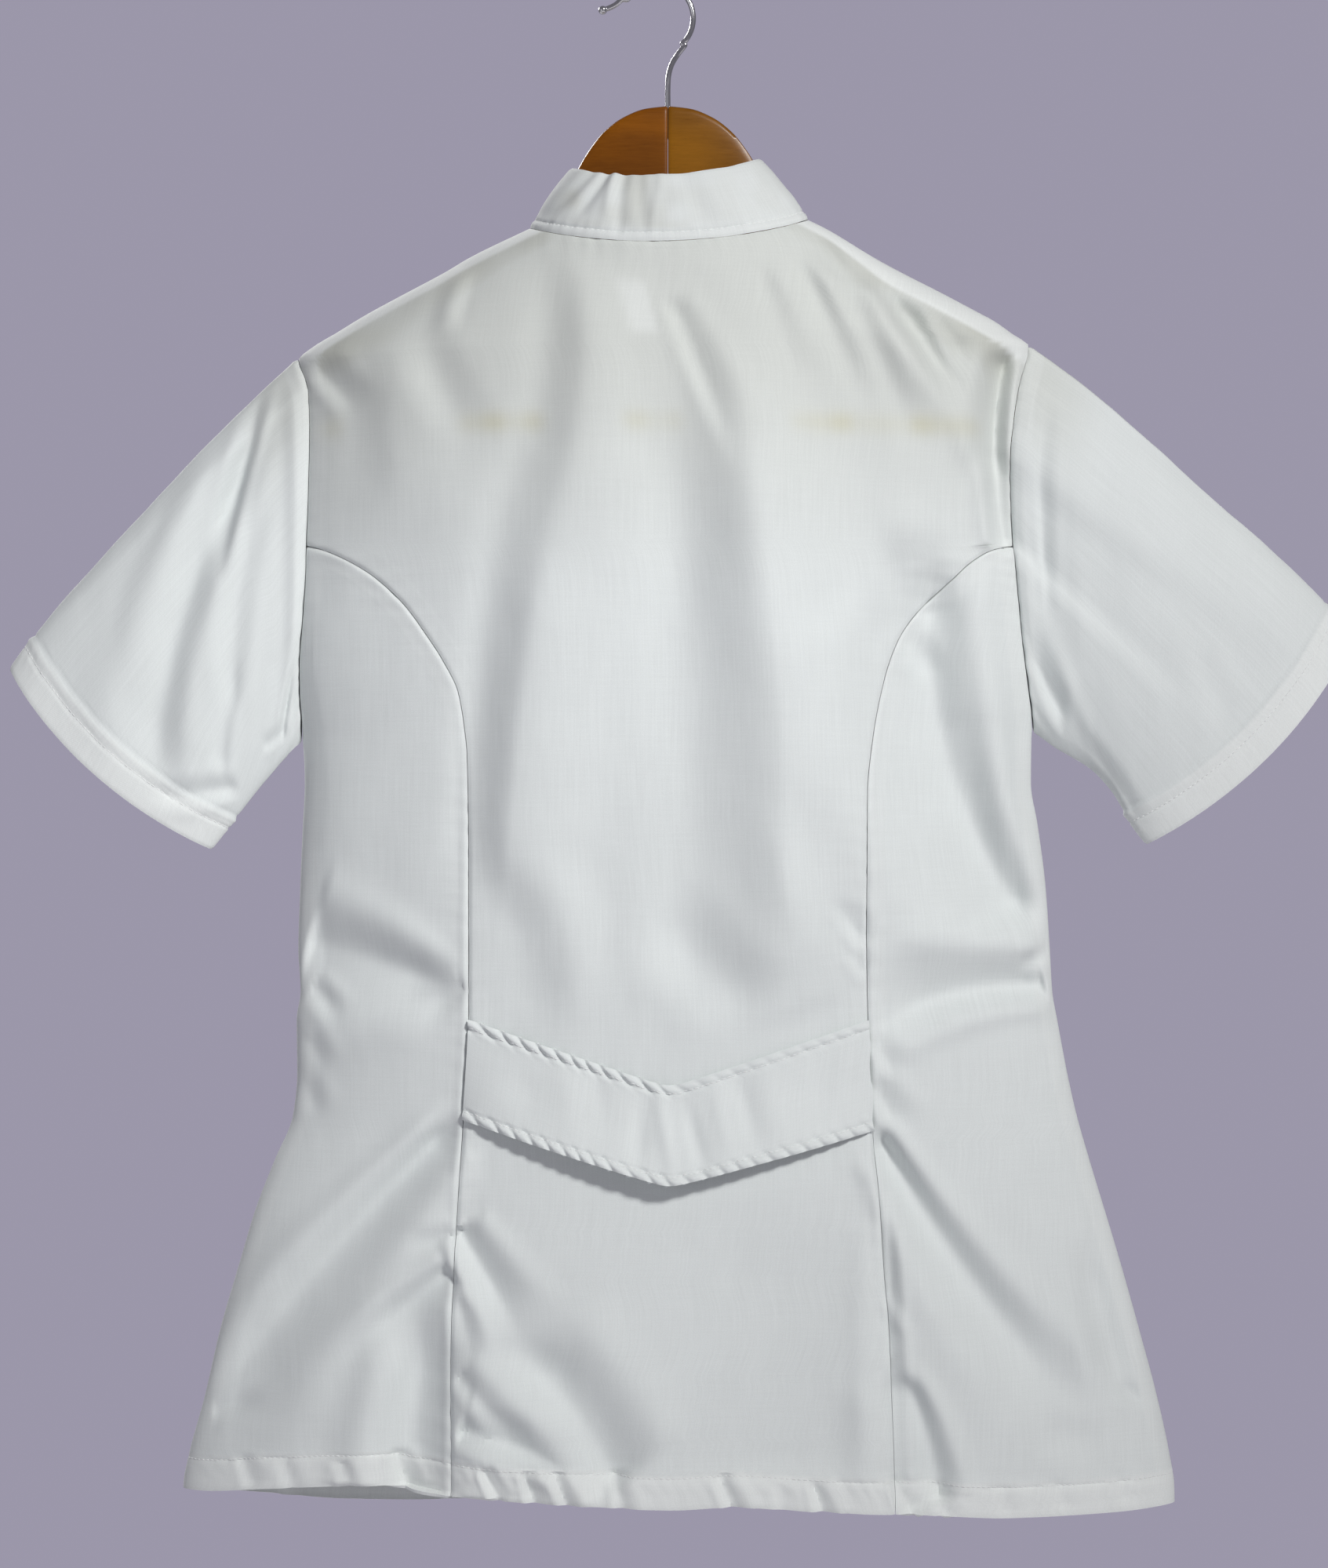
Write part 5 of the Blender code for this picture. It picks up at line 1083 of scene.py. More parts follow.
@dataclass(frozen=True)
class Finish:
    """A material with one Principled shader."""

    name: str
    slot: str

    def start(self) -> tuple[bpy.types.Material, NodeBench, bpy.types.Node]:
        """Make the empty material.

        Returns:
            The material, a bench for its tree, and its Principled shader.
        """
        material = bpy.data.materials.new(self.name)
        material.use_nodes = True
        bench = NodeBench(material.node_tree)
        return material, bench, material.node_tree.nodes["Principled BSDF"]

    def join(self, bench: NodeBench, shader: bpy.types.Node,
             links: dict[str, bpy.types.NodeSocket]) -> None:
        """Link sockets of the shader."""
        for key, socket in links.items():
            bench.tree.links.new(socket, shader.inputs[key])


@dataclass(frozen=True)
class ClothFinish(Finish):
    """White plain-woven cloth, slightly slubby, with the tint attribute."""

    white: tuple[float, float, float] = (0.79, 0.82, 0.815)
    slub: float = 1.0
    sheen: float = 0.12
    bump_strength: float = 0.35

    def material(self) -> bpy.types.Material:
        """Base colour is white times the tint attribute times the weave tone."""
        material, bench, shader = self.start()
        place = bench.add("UVMap", uv_map="cloth").outputs[0]
        weave = bench.add("Group", node_tree=WeaveGroup().built())
        bench.tree.links.new(place, weave.inputs["Vector"])
        weave.inputs["Slub"].default_value = self.slub
        tint = bench.add("Attribute", attribute_name="tint").outputs["Color"]
        colour = bench.mix(1.0, (*self.white, 1.0), tint, "MULTIPLY")
        tone = bench.add("CombineColor", {k: weave.outputs["Tone"] for k in range(3)})
        colour = bench.mix(1.0, colour, tone.outputs[0], "MULTIPLY")
        relief = bench.add("Bump", {"Height": weave.outputs["Height"],
                                    "Strength": self.bump_strength,
                                    "Distance": 0.00018})
        shader.inputs["Sheen Weight"].default_value = self.sheen
        shader.inputs["Sheen Roughness"].default_value = 0.45
        shader.inputs["Specular IOR Level"].default_value = 0.25
        self.join(bench, shader, {"Base Color": colour, "Normal": relief.outputs[0],
                                  "Roughness": weave.outputs["Grip"]})
        return material


@dataclass(frozen=True)
class ThreadFinish(Finish):
    """White sewing thread with a fine twist."""

    white: tuple[float, float, float] = (0.84, 0.86, 0.855)

    def material(self) -> bpy.types.Material:
        """Colour and height follow a fine noise that stands for the twist."""
        material, bench, shader = self.start()
        place = bench.add("TexCoord").outputs["Object"]
        twist = bench.noise(place, 2600.0, 2.0, 0.6)
        shade = tuple(c * 0.82 for c in self.white)
        colour = bench.mix(twist, (*shade, 1.0), (*self.white, 1.0))
        relief = bench.add("Bump", {"Height": twist, "Strength": 0.4,
                                    "Distance": 0.0001})
        grip = bench.math("MULTIPLY_ADD", twist, 0.2, 0.55)
        self.join(bench, shader, {"Base Color": colour, "Normal": relief.outputs[0],
                                  "Roughness": grip})
        return material


@dataclass(frozen=True)
class WoodFinish(Finish):
    """Varnished wood."""

    dark: tuple[float, float, float] = (0.2, 0.1, 0.04)
    light: tuple[float, float, float] = (0.6, 0.4, 0.2)
    bands: float = 150.0
    coat: float = 0.06

    def material(self) -> bpy.types.Material:
        """Grain colours under a thin coat of varnish."""
        material, bench, shader = self.start()
        place = bench.add("TexCoord").outputs["Object"]
        grain = bench.add("Group", node_tree=GrainGroup().built())
        bench.tree.links.new(place, grain.inputs["Vector"])
        grain.inputs["Dark"].default_value = (*self.dark, 1.0)
        grain.inputs["Light"].default_value = (*self.light, 1.0)
        grain.inputs["Bands"].default_value = self.bands
        relief = bench.add("Bump", {"Height": grain.outputs["Height"],
                                    "Strength": 0.22, "Distance": 0.0002})
        shader.inputs["Coat Weight"].default_value = self.coat
        shader.inputs["Coat Roughness"].default_value = 0.16
        shader.inputs["Specular IOR Level"].default_value = 0.2
        self.join(bench, shader, {"Base Color": grain.outputs["Color"],
                                  "Roughness": grain.outputs["Gloss"],
                                  "Normal": relief.outputs[0]})
        return material


@dataclass(frozen=True)
class ChromeFinish(Finish):
    """Bright plated wire with faint draw marks."""

    base: tuple[float, float, float] = (0.78, 0.78, 0.79)

    def material(self) -> bpy.types.Material:
        """Roughness and colour vary with a fine noise."""
        material, bench, shader = self.start()
        place = bench.add("TexCoord").outputs["Object"]
        marks = bench.noise(bench.stretched(place, (900.0, 900.0, 120.0)), 1.0, 3.0)
        dull = tuple(c * 0.8 for c in self.base)
        colour = bench.mix(marks, (*dull, 1.0), (*self.base, 1.0))
        shader.inputs["Metallic"].default_value = 1.0
        grip = bench.math("MULTIPLY_ADD", marks, 0.12, 0.08)
        self.join(bench, shader, {"Base Color": colour, "Roughness": grip})
        return material


@dataclass(frozen=True)
class ButtonFinish(Finish):
    """Milky white plastic with soft swirls."""

    white: tuple[float, float, float] = (0.80, 0.80, 0.775)

    def material(self) -> bpy.types.Material:
        """Colour and gloss follow a soft noise."""
        material, bench, shader = self.start()
        place = bench.add("TexCoord").outputs["Object"]
        swirl = bench.noise(place, 260.0, 3.0, 0.55)
        milky = tuple(c * 0.88 for c in self.white)
        colour = bench.mix(swirl, (*milky, 1.0), (*self.white, 1.0))
        shader.inputs["Coat Weight"].default_value = 0.3
        grip = bench.math("MULTIPLY_ADD", swirl, 0.15, 0.22)
        self.join(bench, shader, {"Base Color": colour, "Roughness": grip})
        return material


@dataclass(frozen=True)
class Finishes:
    """Every material of the part, made once."""

    cloth: bpy.types.Material
    thread: bpy.types.Material
    amber: bpy.types.Material
    honey: bpy.types.Material
    chrome: bpy.types.Material
    button: bpy.types.Material

    @classmethod
    def make(cls) -> "Finishes":
        """Build all materials."""
        return cls(
            cloth=ClothFinish("jacket_cloth", "cloth_white").material(),
            thread=ThreadFinish("sewing_thread", "cloth_white").material(),
            # the left arm's amber is the wood's colour made darker: its extra darkness is
            # painted shade of the arm that turns away from the light
            amber=WoodFinish("amber_wood", "wood_amber", dark=(0.07, 0.0185, 0.0003),
                             light=(0.28, 0.088, 0.0008)).material(),
            honey=WoodFinish("honey_wood", "wood_honey", dark=(0.10, 0.034, 0.0004),
                             light=(0.31, 0.122, 0.002), bands=110.0).material(),
            chrome=ChromeFinish("plated_wire", "hook_chrome").material(),
            button=ButtonFinish("button_plastic", "button_white").material())


# ---------------------------------------------------- seams, hems and tones
@dataclass(frozen=True)
class SeamWork:
    """Relief and layers that sewing gives the cloth.  Sizes in mm."""

    groove: float = 1.0
    groove_width: float = 1.2
    ridge_width: float = 2.6
    ridge_at: float = 2.6
    pucker: float = 0.30
    pucker_reach: float = 9.0
    pucker_pitch: float = 12.0
    allowance: float = 10.0
    step: float = 0.07
    hem: float = 18.5
    hem_rise: float = 0.55
    stitch_below: float = 2.0

    def edge(self, distance: Array, along: Array, ridge: float | Array,
             seed: int) -> Array:
        """Relief beside a seam.

        The edge rolls down into a groove, a soft ridge stands beside it, the
        allowance underneath lifts the cloth by a step, and small waves of
        uneven length run across.

        Args:
            distance: distance from the seam.
            along: place along the seam.
            ridge: height of the ridge.
            seed: makes the waves repeatable.

        Returns:
            Relief in mm.
        """
        wander = soft_noise(along, 0 * along, (34.0, 1.0), seed)
        size = 0.6 + 0.9 * np.abs(soft_noise(along, 0 * along, (41.0, 1.0), seed + 1))
        wave = np.sin(2 * math.pi * (along / self.pucker_pitch + 1.1 * wander)
                      + distance * 0.12)
        return (-self.groove * bump(distance, self.groove_width)
                + ridge * bump(distance - self.ridge_at, self.ridge_width)
                + self.step * smooth_step(self.allowance + 1.2, self.allowance - 1.2,
                                          distance)
                + self.pucker * size * wave * np.exp(-distance / self.pucker_reach))

    def layers(self, distance: Array) -> Array:
        """Share of double cloth beside a seam, over its allowance."""
        return smooth_step(self.allowance + 1.0, self.allowance - 1.0, distance)

    def hem_relief(self, above: Array, along: Array, seed: int) -> Array:
        """Relief of a turned-up hem.

        The band is raised, its stitch line lies in a groove and the cloth
        swells a little just above and below it.

        Args:
            above: distance above the edge.
            along: place along the hem.
            seed: makes the puckers repeatable.

        Returns:
            Relief in mm.
        """
        stitch = above - (self.hem - self.stitch_below)
        wander = soft_noise(along, 0 * along, (26.0, 1.0), seed)
        wave = np.sin(2 * math.pi * ((along + above * 0.7) / 8.5 + 0.9 * wander))
        band = smooth_step(self.hem + 0.8, self.hem - 0.8, above)
        return (self.hem_rise * band - 1.1 * bump(stitch, 0.8)
                + 0.30 * bump(stitch - 3.0, 2.0) + 0.25 * bump(stitch + 4.5, 3.0)
                - 0.5 * bump(above, 1.0)
                + 0.16 * wave * bump(stitch + 3.0, 7.0))

    def hem_layers(self, above: Array) -> Array:
        """Share of double cloth in a hem."""
        return smooth_step(self.hem + 0.6, self.hem - 0.6, above)


@dataclass(frozen=True)
class SeamLines:
    """Distances from the seam lines of the body, mm."""

    form: BodyForm
    far: float = 500.0

    def princess(self, side: Side, x: Array, drop: Array) -> Array:
        """Distance from a princess seam, taken square to it."""
        table = PRINCESS[side]
        slope = (smooth_lookup(table, 1, drop + 0.5)
                 - smooth_lookup(table, 1, drop - 0.5))
        flat = np.abs(x - smooth_lookup(table, 1, drop)) / np.sqrt(1 + slope ** 2)
        return np.where(drop > self.form.seam_top - 1.0, flat, self.far)

    def armhole(self, side: Side, face: Face, x: Array, drop: Array) -> Array:
        """Distance from an armhole seam."""
        column = 1 if face is Face.BACK else 2
        inside = np.abs(x - smooth_lookup(ARMHOLE[side], column, drop))
        hole = (drop > self.form.tip[side]) & (drop < self.form.pit[side])
        return np.where(hole, inside, self.far)

    def side_seam(self, side: Side, x: Array, drop: Array) -> Array:
        """Distance from a side seam, seen flat."""
        column = 1 if side is Side.LEFT else 2
        inside = np.abs(x - smooth_lookup(OUTLINE, column, drop))
        return np.where(drop > self.form.pit[side], inside, self.far)

    def shoulder(self, x: Array, drop: Array) -> Array:
        """Distance from the shoulder ridge, square to it."""
        rows = OUTLINE[:11]
        ridge = np.where(x < self.form.centre_x,
                         np.interp(-x, -rows[:, 1], rows[:, 0]),
                         np.interp(x, rows[:, 2], rows[:, 0]))
        return np.abs(drop - ridge) * 0.9

    def neck(self, face: Face, x: Array, drop: Array) -> Array:
        """Distance from the collar seam."""
        near = np.abs(x - self.form.neck_mid) < self.form.neck_half + 8.0
        return np.where(near, np.abs(drop - self.form.neck_drop(x, face)), self.far)

    def hem(self, face: Face, x: Array, drop: Array) -> Array:
        """Distance above the bottom edge."""
        return self.form.hem_line(face, x) - drop


@dataclass(frozen=True)
class ShowThrough:
    """Tone of the thin cloth: whiter where double, warm over the hanger, and painted
    shade over the upper body.
    """

    form: BodyForm
    single: tuple[float, float, float] = (0.885, 0.90, 0.898)
    double: tuple[float, float, float] = (0.965, 0.97, 0.96)
    # this wood tone also lays painted shade, on the upper body and on the collar
    wood: tuple[float, float, float] = (0.74, 0.725, 0.67)
    bar: tuple[float, float, float] = (0.935, 0.90, 0.77)
    joint_x: float = 5.6
    bar_drop: float = 240.5

    def mixed(self, layers: Array, wood: Array | float = 0.0,
              bar: Array | float = 0.0) -> Array:
        """Blend the tones.

        Args:
            layers: share of double cloth.
            wood: share of hanger wood that shows through single cloth; painted shade is
                laid in the same tone.
            bar: share of the trouser bar that shows through.

        Returns:
            Colour factors, with a last axis of 3.
        """
        layers = np.clip(layers, 0.0, 1.0)[..., None]
        one = np.array(self.single)
        tone = one + (np.array(self.double) - one) * layers
        for share, shade in ((wood, self.wood), (bar, self.bar)):
            share = (np.asarray(share) * np.ones(layers.shape[:-1]))[..., None]
            tone = tone * (1 - share * (1 - 0.85 * layers) * (1 - np.array(shade)))
        return tone

    def wood_and_shade_share(self, x: Array, drop: Array) -> Array:
        """Hanger arm behind the cloth, strongest along its top edge, and painted shade
        that darkens the upper body towards the top.
        """
        reach = np.abs(x - self.joint_x)
        share = np.zeros(np.broadcast(x, drop).shape)
        for side in Side:
            table = HANGER_ARM[side]
            top = smooth_lookup(table, 1, reach)
            low = smooth_lookup(table, 2, reach)
            inside = smooth_step(top - 3.0, top + 4.0, drop) * smooth_step(
                low + 12.0, low - 14.0, drop)
            fade = 1.0 - 0.55 * smooth_step(top + 8.0, low, drop)
            here = (x - self.joint_x) * side.value > 0
            share = np.where(here, inside * fade, share)
        cloud = 0.82 + 0.3 * soft_noise(x, drop, (26.0, 22.0), 77)
        # painted shade: the whole upper body darker towards the top, from drop 350 up,
        # standing for the shaded hollow inside the jacket
        hollow = 0.55 * smooth_step(350.0, 190.0, drop)
        return np.maximum(share * cloud * smooth_step(206.0, 190.0, reach), hollow)

    def bar_share(self, x: Array, drop: Array) -> Array:
        """Trouser bar behind the cloth, seen only where the cloth touches."""
        across = bump(drop - self.bar_drop - 2.0, 6.0)
        touch = np.zeros(np.broadcast(x, drop).shape)
        for start, end, strength in ((-188.0, -172.0, 0.7), (-108.0, -60.0, 0.8),
                                     (-20.0, 14.0, 0.6), (72.0, 176.0, 0.85)):
            touch += strength * smooth_step(start - 6, start + 6, x) * smooth_step(
                end + 6, end - 6, x)
        return across * touch * (0.8 + 0.4 * soft_noise(x, drop, (11.0, 30.0), 5))


# ------------------------------------------------------------- body panels
@dataclass(frozen=True)
class Workshop:
    """What every cloth piece is made with."""

    form: BodyForm
    lines: SeamLines
    seams: SeamWork
    tones: ShowThrough
    cloth: bpy.types.Material
    wall: float = 0.9
    hem_wall: float = 1.7

    def cockle(self, x: Array, drop: Array, seed: int) -> Array:
        """Slight unevenness of pressed cloth, mm."""
        broad = soft_noise(x + 0.25 * drop, drop, (34.0, 95.0), seed)
        middle = soft_noise(x, drop, (15.0, 30.0), seed + 1)
        fine = soft_noise(x, drop, (6.5, 10.0), seed + 2)
        return 0.60 * broad + 0.20 * middle + 0.055 * fine

    def hidden(self, side: Side, drop: Array) -> Array:
        """Strength of a princess seam; on the left it fades in its lower curve."""
        return 1.0 - (0.7 if side is Side.LEFT else 0.0) * bump(drop - 412.0, 48.0)

    def flat_uv(self, outer: Array, from_end: bool) -> Array:
        """Cloth coordinates: distance along each row, and height.

        Args:
            outer: grid of points, mm.
            from_end: measure from the last column, the one nearest the
                centre of the body, and not from the first.

        Returns:
            (rows, columns, 2) coordinates in mm.
        """
        run = run_length(outer, axis=1)
        if from_end:
            across = outer[:, -1:, 0] - (run[:, -1:] - run)
        else:
            across = outer[:, :1, 0] + run
        return np.stack([across, outer[..., 2]], axis=-1)

    def body_shell(self, face: Face, spread: Array, drop: Array, relief: Array,
                   layers: Array, from_end: bool, lift: Array | None = None) -> Shell:
        """Wall of a body panel from its columns, drops and relief."""
        phi = self.form.phi_of(spread)
        outer = self.form.point(face, phi, drop, relief)
        x = outer[..., 0]
        if lift is not None:
            outer = outer - grid_normals(outer) * face.value * lift[..., None]
        above = self.lines.hem(face, x, drop)
        wall = self.wall + (self.hem_wall - self.wall) * self.seams.hem_layers(above)
        tint = self.tones.mixed(layers, self.tones.wood_and_shade_share(x, drop),
                                self.tones.bar_share(x, drop))
        return Shell(outer, wall, self.flat_uv(outer, from_end), tint,
                     flip=face is Face.FRONT)


@dataclass(frozen=True)
class BackCentre:
    """Centre back, from the collar seam to the hem."""

    shop: Workshop
    columns: int = 161
    top_rows: int = 14
    gather: float = 0.5
    seed: int = 11
    flat_size: tuple[float, float] = (0.410, 0.735)
    flat_area: float = 0.190

    def rows(self) -> Array:
        """Drops of the straight rows, close together where the seams start."""
        form = self.shop.form
        return np.concatenate([
            np.linspace(form.shoulder_row, form.seam_top, 56, endpoint=False),
            np.linspace(form.seam_top, 346.0, 34, endpoint=False),
            np.linspace(346.0, form.hem_flat - 24.0, 150, endpoint=False),
            np.linspace(form.hem_flat - 24.0, form.hem_flat, 17)])

    def grid(self) -> tuple[Array, Array]:
        """Columns and drops: straight rows, and a patch up to the collar."""
        form, drops = self.shop.form, self.rows()
        above, below = drops < form.seam_top, np.clip(drops, form.seam_top, None)
        edges = [np.where(above, form.outer_column(side, Face.BACK, drops),
                          form.seam_column(PRINCESS[side], 1, below, -side.value))
                 for side in Side]
        share = clustered(self.columns, self.gather)
        spread = edges[0][:, None] + (edges[1] - edges[0])[:, None] * share
        drop = np.repeat(drops[:, None], self.columns, axis=1)
        x = form.x_at(form.phi_of(spread), drop)
        drop = drop + form.hem_shift(Face.BACK, x, drop)
        rows = np.linspace(0.0, 1.0, self.top_rows + 1)
        top = form.neck_row(Face.BACK, (share - 0.5) * math.pi)
        sides = [np.stack([np.full(len(rows), top[end, 0]), np.linspace(
            drops[0], top[end, 1], len(rows))], axis=-1) for end in (0, -1)]
        bottom = np.stack([spread[0], drop[0]], axis=-1)
        patch = coons(bottom, top, sides[0], sides[1], rows)[:0:-1]
        return (np.concatenate([patch[..., 0], spread]),
                np.concatenate([patch[..., 1], drop]))

    def shell(self) -> Shell:
        """Wall of the panel; below the belt its edges stand proud."""
        shop = self.shop
        form, seams, lines = shop.form, shop.seams, shop.lines
        spread, drop = self.grid()
        x = form.x_at(form.phi_of(spread), drop)
        below_belt = smooth_step(600.0, 640.0, drop)
        relief = shop.cockle(x, drop, self.seed)
        layers = np.zeros_like(x)
        for side in Side:
            seam = lines.princess(side, x, drop)
            proud = 0.55 if side is Side.RIGHT else 0.05
            relief += self.shop.hidden(side, drop) * seams.edge(
                seam, drop, 0.05 + proud * below_belt, self.seed + side.value)
            arm = lines.armhole(side, Face.BACK, x, drop)
            arm = np.where(drop < form.seam_top + 4.0, arm, lines.far)
            relief += seams.edge(arm, drop, 0.1, self.seed + 4 + side.value) * 0.8
            layers = np.maximum(layers, np.maximum(
                seams.layers(seam) * (0.06 + 0.1 * below_belt), 0.3 * seams.layers(arm)))
        shoulder = lines.shoulder(x, drop)
        shoulder = np.where(drop < 206.0, shoulder, lines.far)
        wide = 5.5 * smooth_step(90.0, 130.0, x)
        layers = np.maximum(layers, smooth_step(8.5, 5.5, shoulder - wide))
        relief += 0.25 * smooth_step(8.0, 5.5, shoulder)
        neck = lines.neck(Face.BACK, x, drop)
        relief += -0.8 * bump(neck, 1.4) + 0.25 * np.sin(x * 0.62 + 0.8 * np.sin(
            x * 0.17)) * np.exp(-neck / 9.0)
        above = lines.hem(Face.BACK, x, drop)
        relief += seams.hem_relief(above, x, self.seed + 9)
        layers = np.maximum(layers, seams.hem_layers(above))
        slant = x - 0.3 * (drop - 182.0)
        label = (smooth_step(-22.0, -13.0, slant) * smooth_step(-1.0, -5.0, slant)
                 * smooth_step(162.0, 172.0, drop) * smooth_step(198.0, 192.0, drop))
        layers = np.maximum(layers, 0.5 * label)
        return shop.body_shell(Face.BACK, spread, drop, relief, layers, from_end=False)


@dataclass(frozen=True)
class BackSide:
    """Side back, from a point in the armhole to the hem."""

    shop: Workshop
    side: Side
    columns: int = 66
    gather: float = 0.45
    first_gap: float = 0.7
    flat_size: tuple[float, float] = (0.172, 0.53)
    flat_area: float = 0.060

    @property
    def name(self) -> str:
        """left or right."""
        return self.side.name.lower()

    def grid(self) -> tuple[Array, Array]:
        """Columns and drops between the side seam and the princess seam."""
        form, side = self.shop.form, self.side
        drops = np.concatenate([
            np.linspace(form.seam_top + self.first_gap, 346.0, 36, endpoint=False),
            np.linspace(346.0, form.hem_flat - 24.0, 158, endpoint=False),
            np.linspace(form.hem_flat - 24.0, form.hem_flat, 17)])
        outer = form.outer_column(side, Face.BACK, drops)
        seam = form.seam_column(PRINCESS[side], 1, drops, side.value)
        first, last = (outer, seam) if side is Side.LEFT else (seam, outer)
        share = clustered(self.columns, self.gather)
        spread = first[:, None] + (last - first)[:, None] * share
        drop = np.repeat(drops[:, None], self.columns, axis=1)
        x = form.x_at(form.phi_of(spread), drop)
        return spread, drop + form.hem_shift(Face.BACK, x, drop)

    def shell(self) -> Shell:
        """Wall of the panel; above the belt its edge stands proud."""
        shop, side = self.shop, self.side
        form, seams, lines = shop.form, shop.seams, shop.lines
        seed = 31 + 7 * side.value
        spread, drop = self.grid()
        x = form.x_at(form.phi_of(spread), drop)
        above_belt = smooth_step(640.0, 600.0, drop)
        seam = lines.princess(side, x, drop)
        arm = lines.armhole(side, Face.BACK, x, drop)
        side_seam = lines.side_seam(side, x, drop)
        relief = shop.cockle(x, drop, seed)
        ridge = above_belt * (0.12 + 0.38 * smooth_step(340.0, 440.0, drop))
        if side is Side.LEFT:
            ridge += 0.6 * (1.0 - above_belt)
        relief += shop.hidden(side, drop) * seams.edge(
            seam, drop, 0.05 + ridge, seed + 3)
        relief += 0.8 * seams.edge(arm, drop, 0.15, seed + 4)
        above = lines.hem(Face.BACK, x, drop)
        relief += seams.hem_relief(above, x, seed + 9)
        layers = np.maximum(seams.hem_layers(above),
                            seams.layers(seam) * (0.08 + 0.1 * above_belt))
        layers = np.maximum(layers, 0.3 * seams.layers(arm))
        layers = np.maximum(layers, 0.35 * seams.layers(side_seam))
        return shop.body_shell(Face.BACK, spread, drop, relief, layers,
                               from_end=side is Side.LEFT)


@dataclass(frozen=True)
class Front:
    """Front panel with its overlap; the right one lies on top."""

    shop: Workshop
    side: Side
    lap: float = 15.0
    lap_lift: float = 2.8
    lap_blend: float = 26.0
    first_row: float = 222.9
    columns: int = 62
    lap_columns: int = 26
    facing: float = 24.0
    flat_size: tuple[float, float] = (0.305, 0.70)
    flat_area: float = 0.161

    @property
    def name(self) -> str:
        """left or right."""
        return self.side.name.lower()

    def marks(self) -> Array:
        """x of the columns over the overlap, from its blend to its edge."""
        reach = np.linspace(self.lap + self.lap_blend, -self.lap, self.lap_columns)
        return self.shop.form.centre_x + self.side.value * reach

    def grid(self) -> tuple[Array, Array]:
        """Columns and drops: straight rows, and a patch up to the collar."""
        form, side, face = self.shop.form, self.side, Face.FRONT
        drops = np.concatenate([
            np.linspace(self.first_row, form.hem_flat - 24.0, 190, endpoint=False),
            np.linspace(form.hem_flat - 24.0, form.hem_flat, 17)])
        marks = self.marks()
        inner = form.spread_of(form.phi_at(marks[None], drops[:, None]))
        outer = form.outer_column(side, face, drops)
        share = np.linspace(0.0, 1.0, self.columns) ** 1.15
        wide = outer[:, None] + (inner[:, :1] - outer[:, None]) * share
        spread = np.concatenate([wide, inner[:, 1:]], axis=1)
        drop = np.repeat(drops[:, None], spread.shape[1], axis=1)
        x = form.x_at(form.phi_of(spread), drop)
        drop = drop + form.hem_shift(face, x, drop)
        alphas = np.arcsin((marks - form.neck_mid) / form.neck_half)
        start = side.value * math.pi / 2
        alphas = np.concatenate([start + (alphas[0] - start) * share, alphas[1:]])
        top = form.neck_row(face, alphas)
        past = (form.centre_x - form.x_at(form.phi_of(top[:, 0]), top[:, 1])
                ) * side.value
        top[:, 1] += 0.9 * smooth_step(0.0, self.lap, past)
        side_drops = np.linspace(self.first_row, top[0, 1], 36)
        run = np.stack([form.outer_column(side, face, side_drops), side_drops], -1)
        top[0] = run[-1]
        rows = (self.first_row - side_drops) / (self.first_row - side_drops[-1])
        inner_drops = self.first_row + (top[-1, 1] - self.first_row) * rows
        edge = form.spread_of(form.phi_at(np.full(len(rows), marks[-1]), inner_drops))
        edge[-1] = top[-1, 0]
        bottom = np.stack([spread[0], drop[0]], axis=-1)
        patch = coons(bottom, top, run, np.stack([edge, inner_drops], -1), rows)
        patch = patch[:0:-1]
        spread = np.concatenate([patch[..., 0], spread])
        drop = np.concatenate([patch[..., 1], drop])
        if side is Side.RIGHT:
            spread, drop = spread[:, ::-1], drop[:, ::-1]
        return spread, drop

    def lift(self, x: Array) -> Array:
        """Lift of the upper front over the lower one, mm."""
        if self.side is Side.LEFT:
            return 0.0 * x
        return self.lap_lift * smooth_step(
            self.lap + self.lap_blend, self.lap + 2.0, x - self.shop.form.centre_x)

    def shell(self) -> Shell:
        """Wall of the panel with its stitched facing."""
        shop, side, face = self.shop, self.side, Face.FRONT
        form, seams, lines = shop.form, shop.seams, shop.lines
        seed = 61 + 7 * side.value
        spread, drop = self.grid()
        x = form.x_at(form.phi_of(spread), drop)
        arm = lines.armhole(side, face, x, drop)
        side_seam = lines.side_seam(side, x, drop)
        neck = lines.neck(face, x, drop)
        from_edge = np.abs(x - (form.centre_x - side.value * self.lap))
        above = lines.hem(face, x, drop)
        relief = shop.cockle(x, drop, seed) * smooth_step(4.0, 30.0, from_edge)
        relief += 0.8 * seams.edge(arm, drop, 0.15, seed + 4)
        relief += seams.hem_relief(above, x, seed + 9)
        relief += -0.8 * bump(neck, 1.4)
        relief += (0.3 * smooth_step(self.facing + 2.0, self.facing - 1.0, from_edge)
                   - 0.45 * bump(from_edge - self.facing + 3.0, 0.9)
                   - 0.35 * bump(from_edge, 1.0))
        layers = np.maximum(seams.hem_layers(above), 0.8 * smooth_step(
            self.facing + 1.0, self.facing - 1.0, from_edge))
        layers = np.maximum(layers, 0.5 * seams.layers(arm))
        layers = np.maximum(layers, 0.55 * seams.layers(side_seam))
        shoulder = np.where(drop < 206.0, lines.shoulder(x, drop), lines.far)
        wide = 5.5 * smooth_step(90.0, 130.0, x)
        layers = np.maximum(layers, smooth_step(8.5, 5.5, shoulder - wide))
        return shop.body_shell(face, spread, drop, relief, layers,
                               from_end=side is Side.LEFT, lift=self.lift(x))

    def facing_path(self, shell: Shell) -> list[SeamPath]:
        """Stitch line of the facing, from the neck to the hem."""
        side = self.side.value
        edge = self.shop.form.centre_x - side * self.lap
        away = (shell.outer[..., 0] - edge) * side
        level = self.facing - 3.0
        if self.side is Side.RIGHT:
            away, level = -away, -level
        return [shell.turned().line_at(away.T, level)]


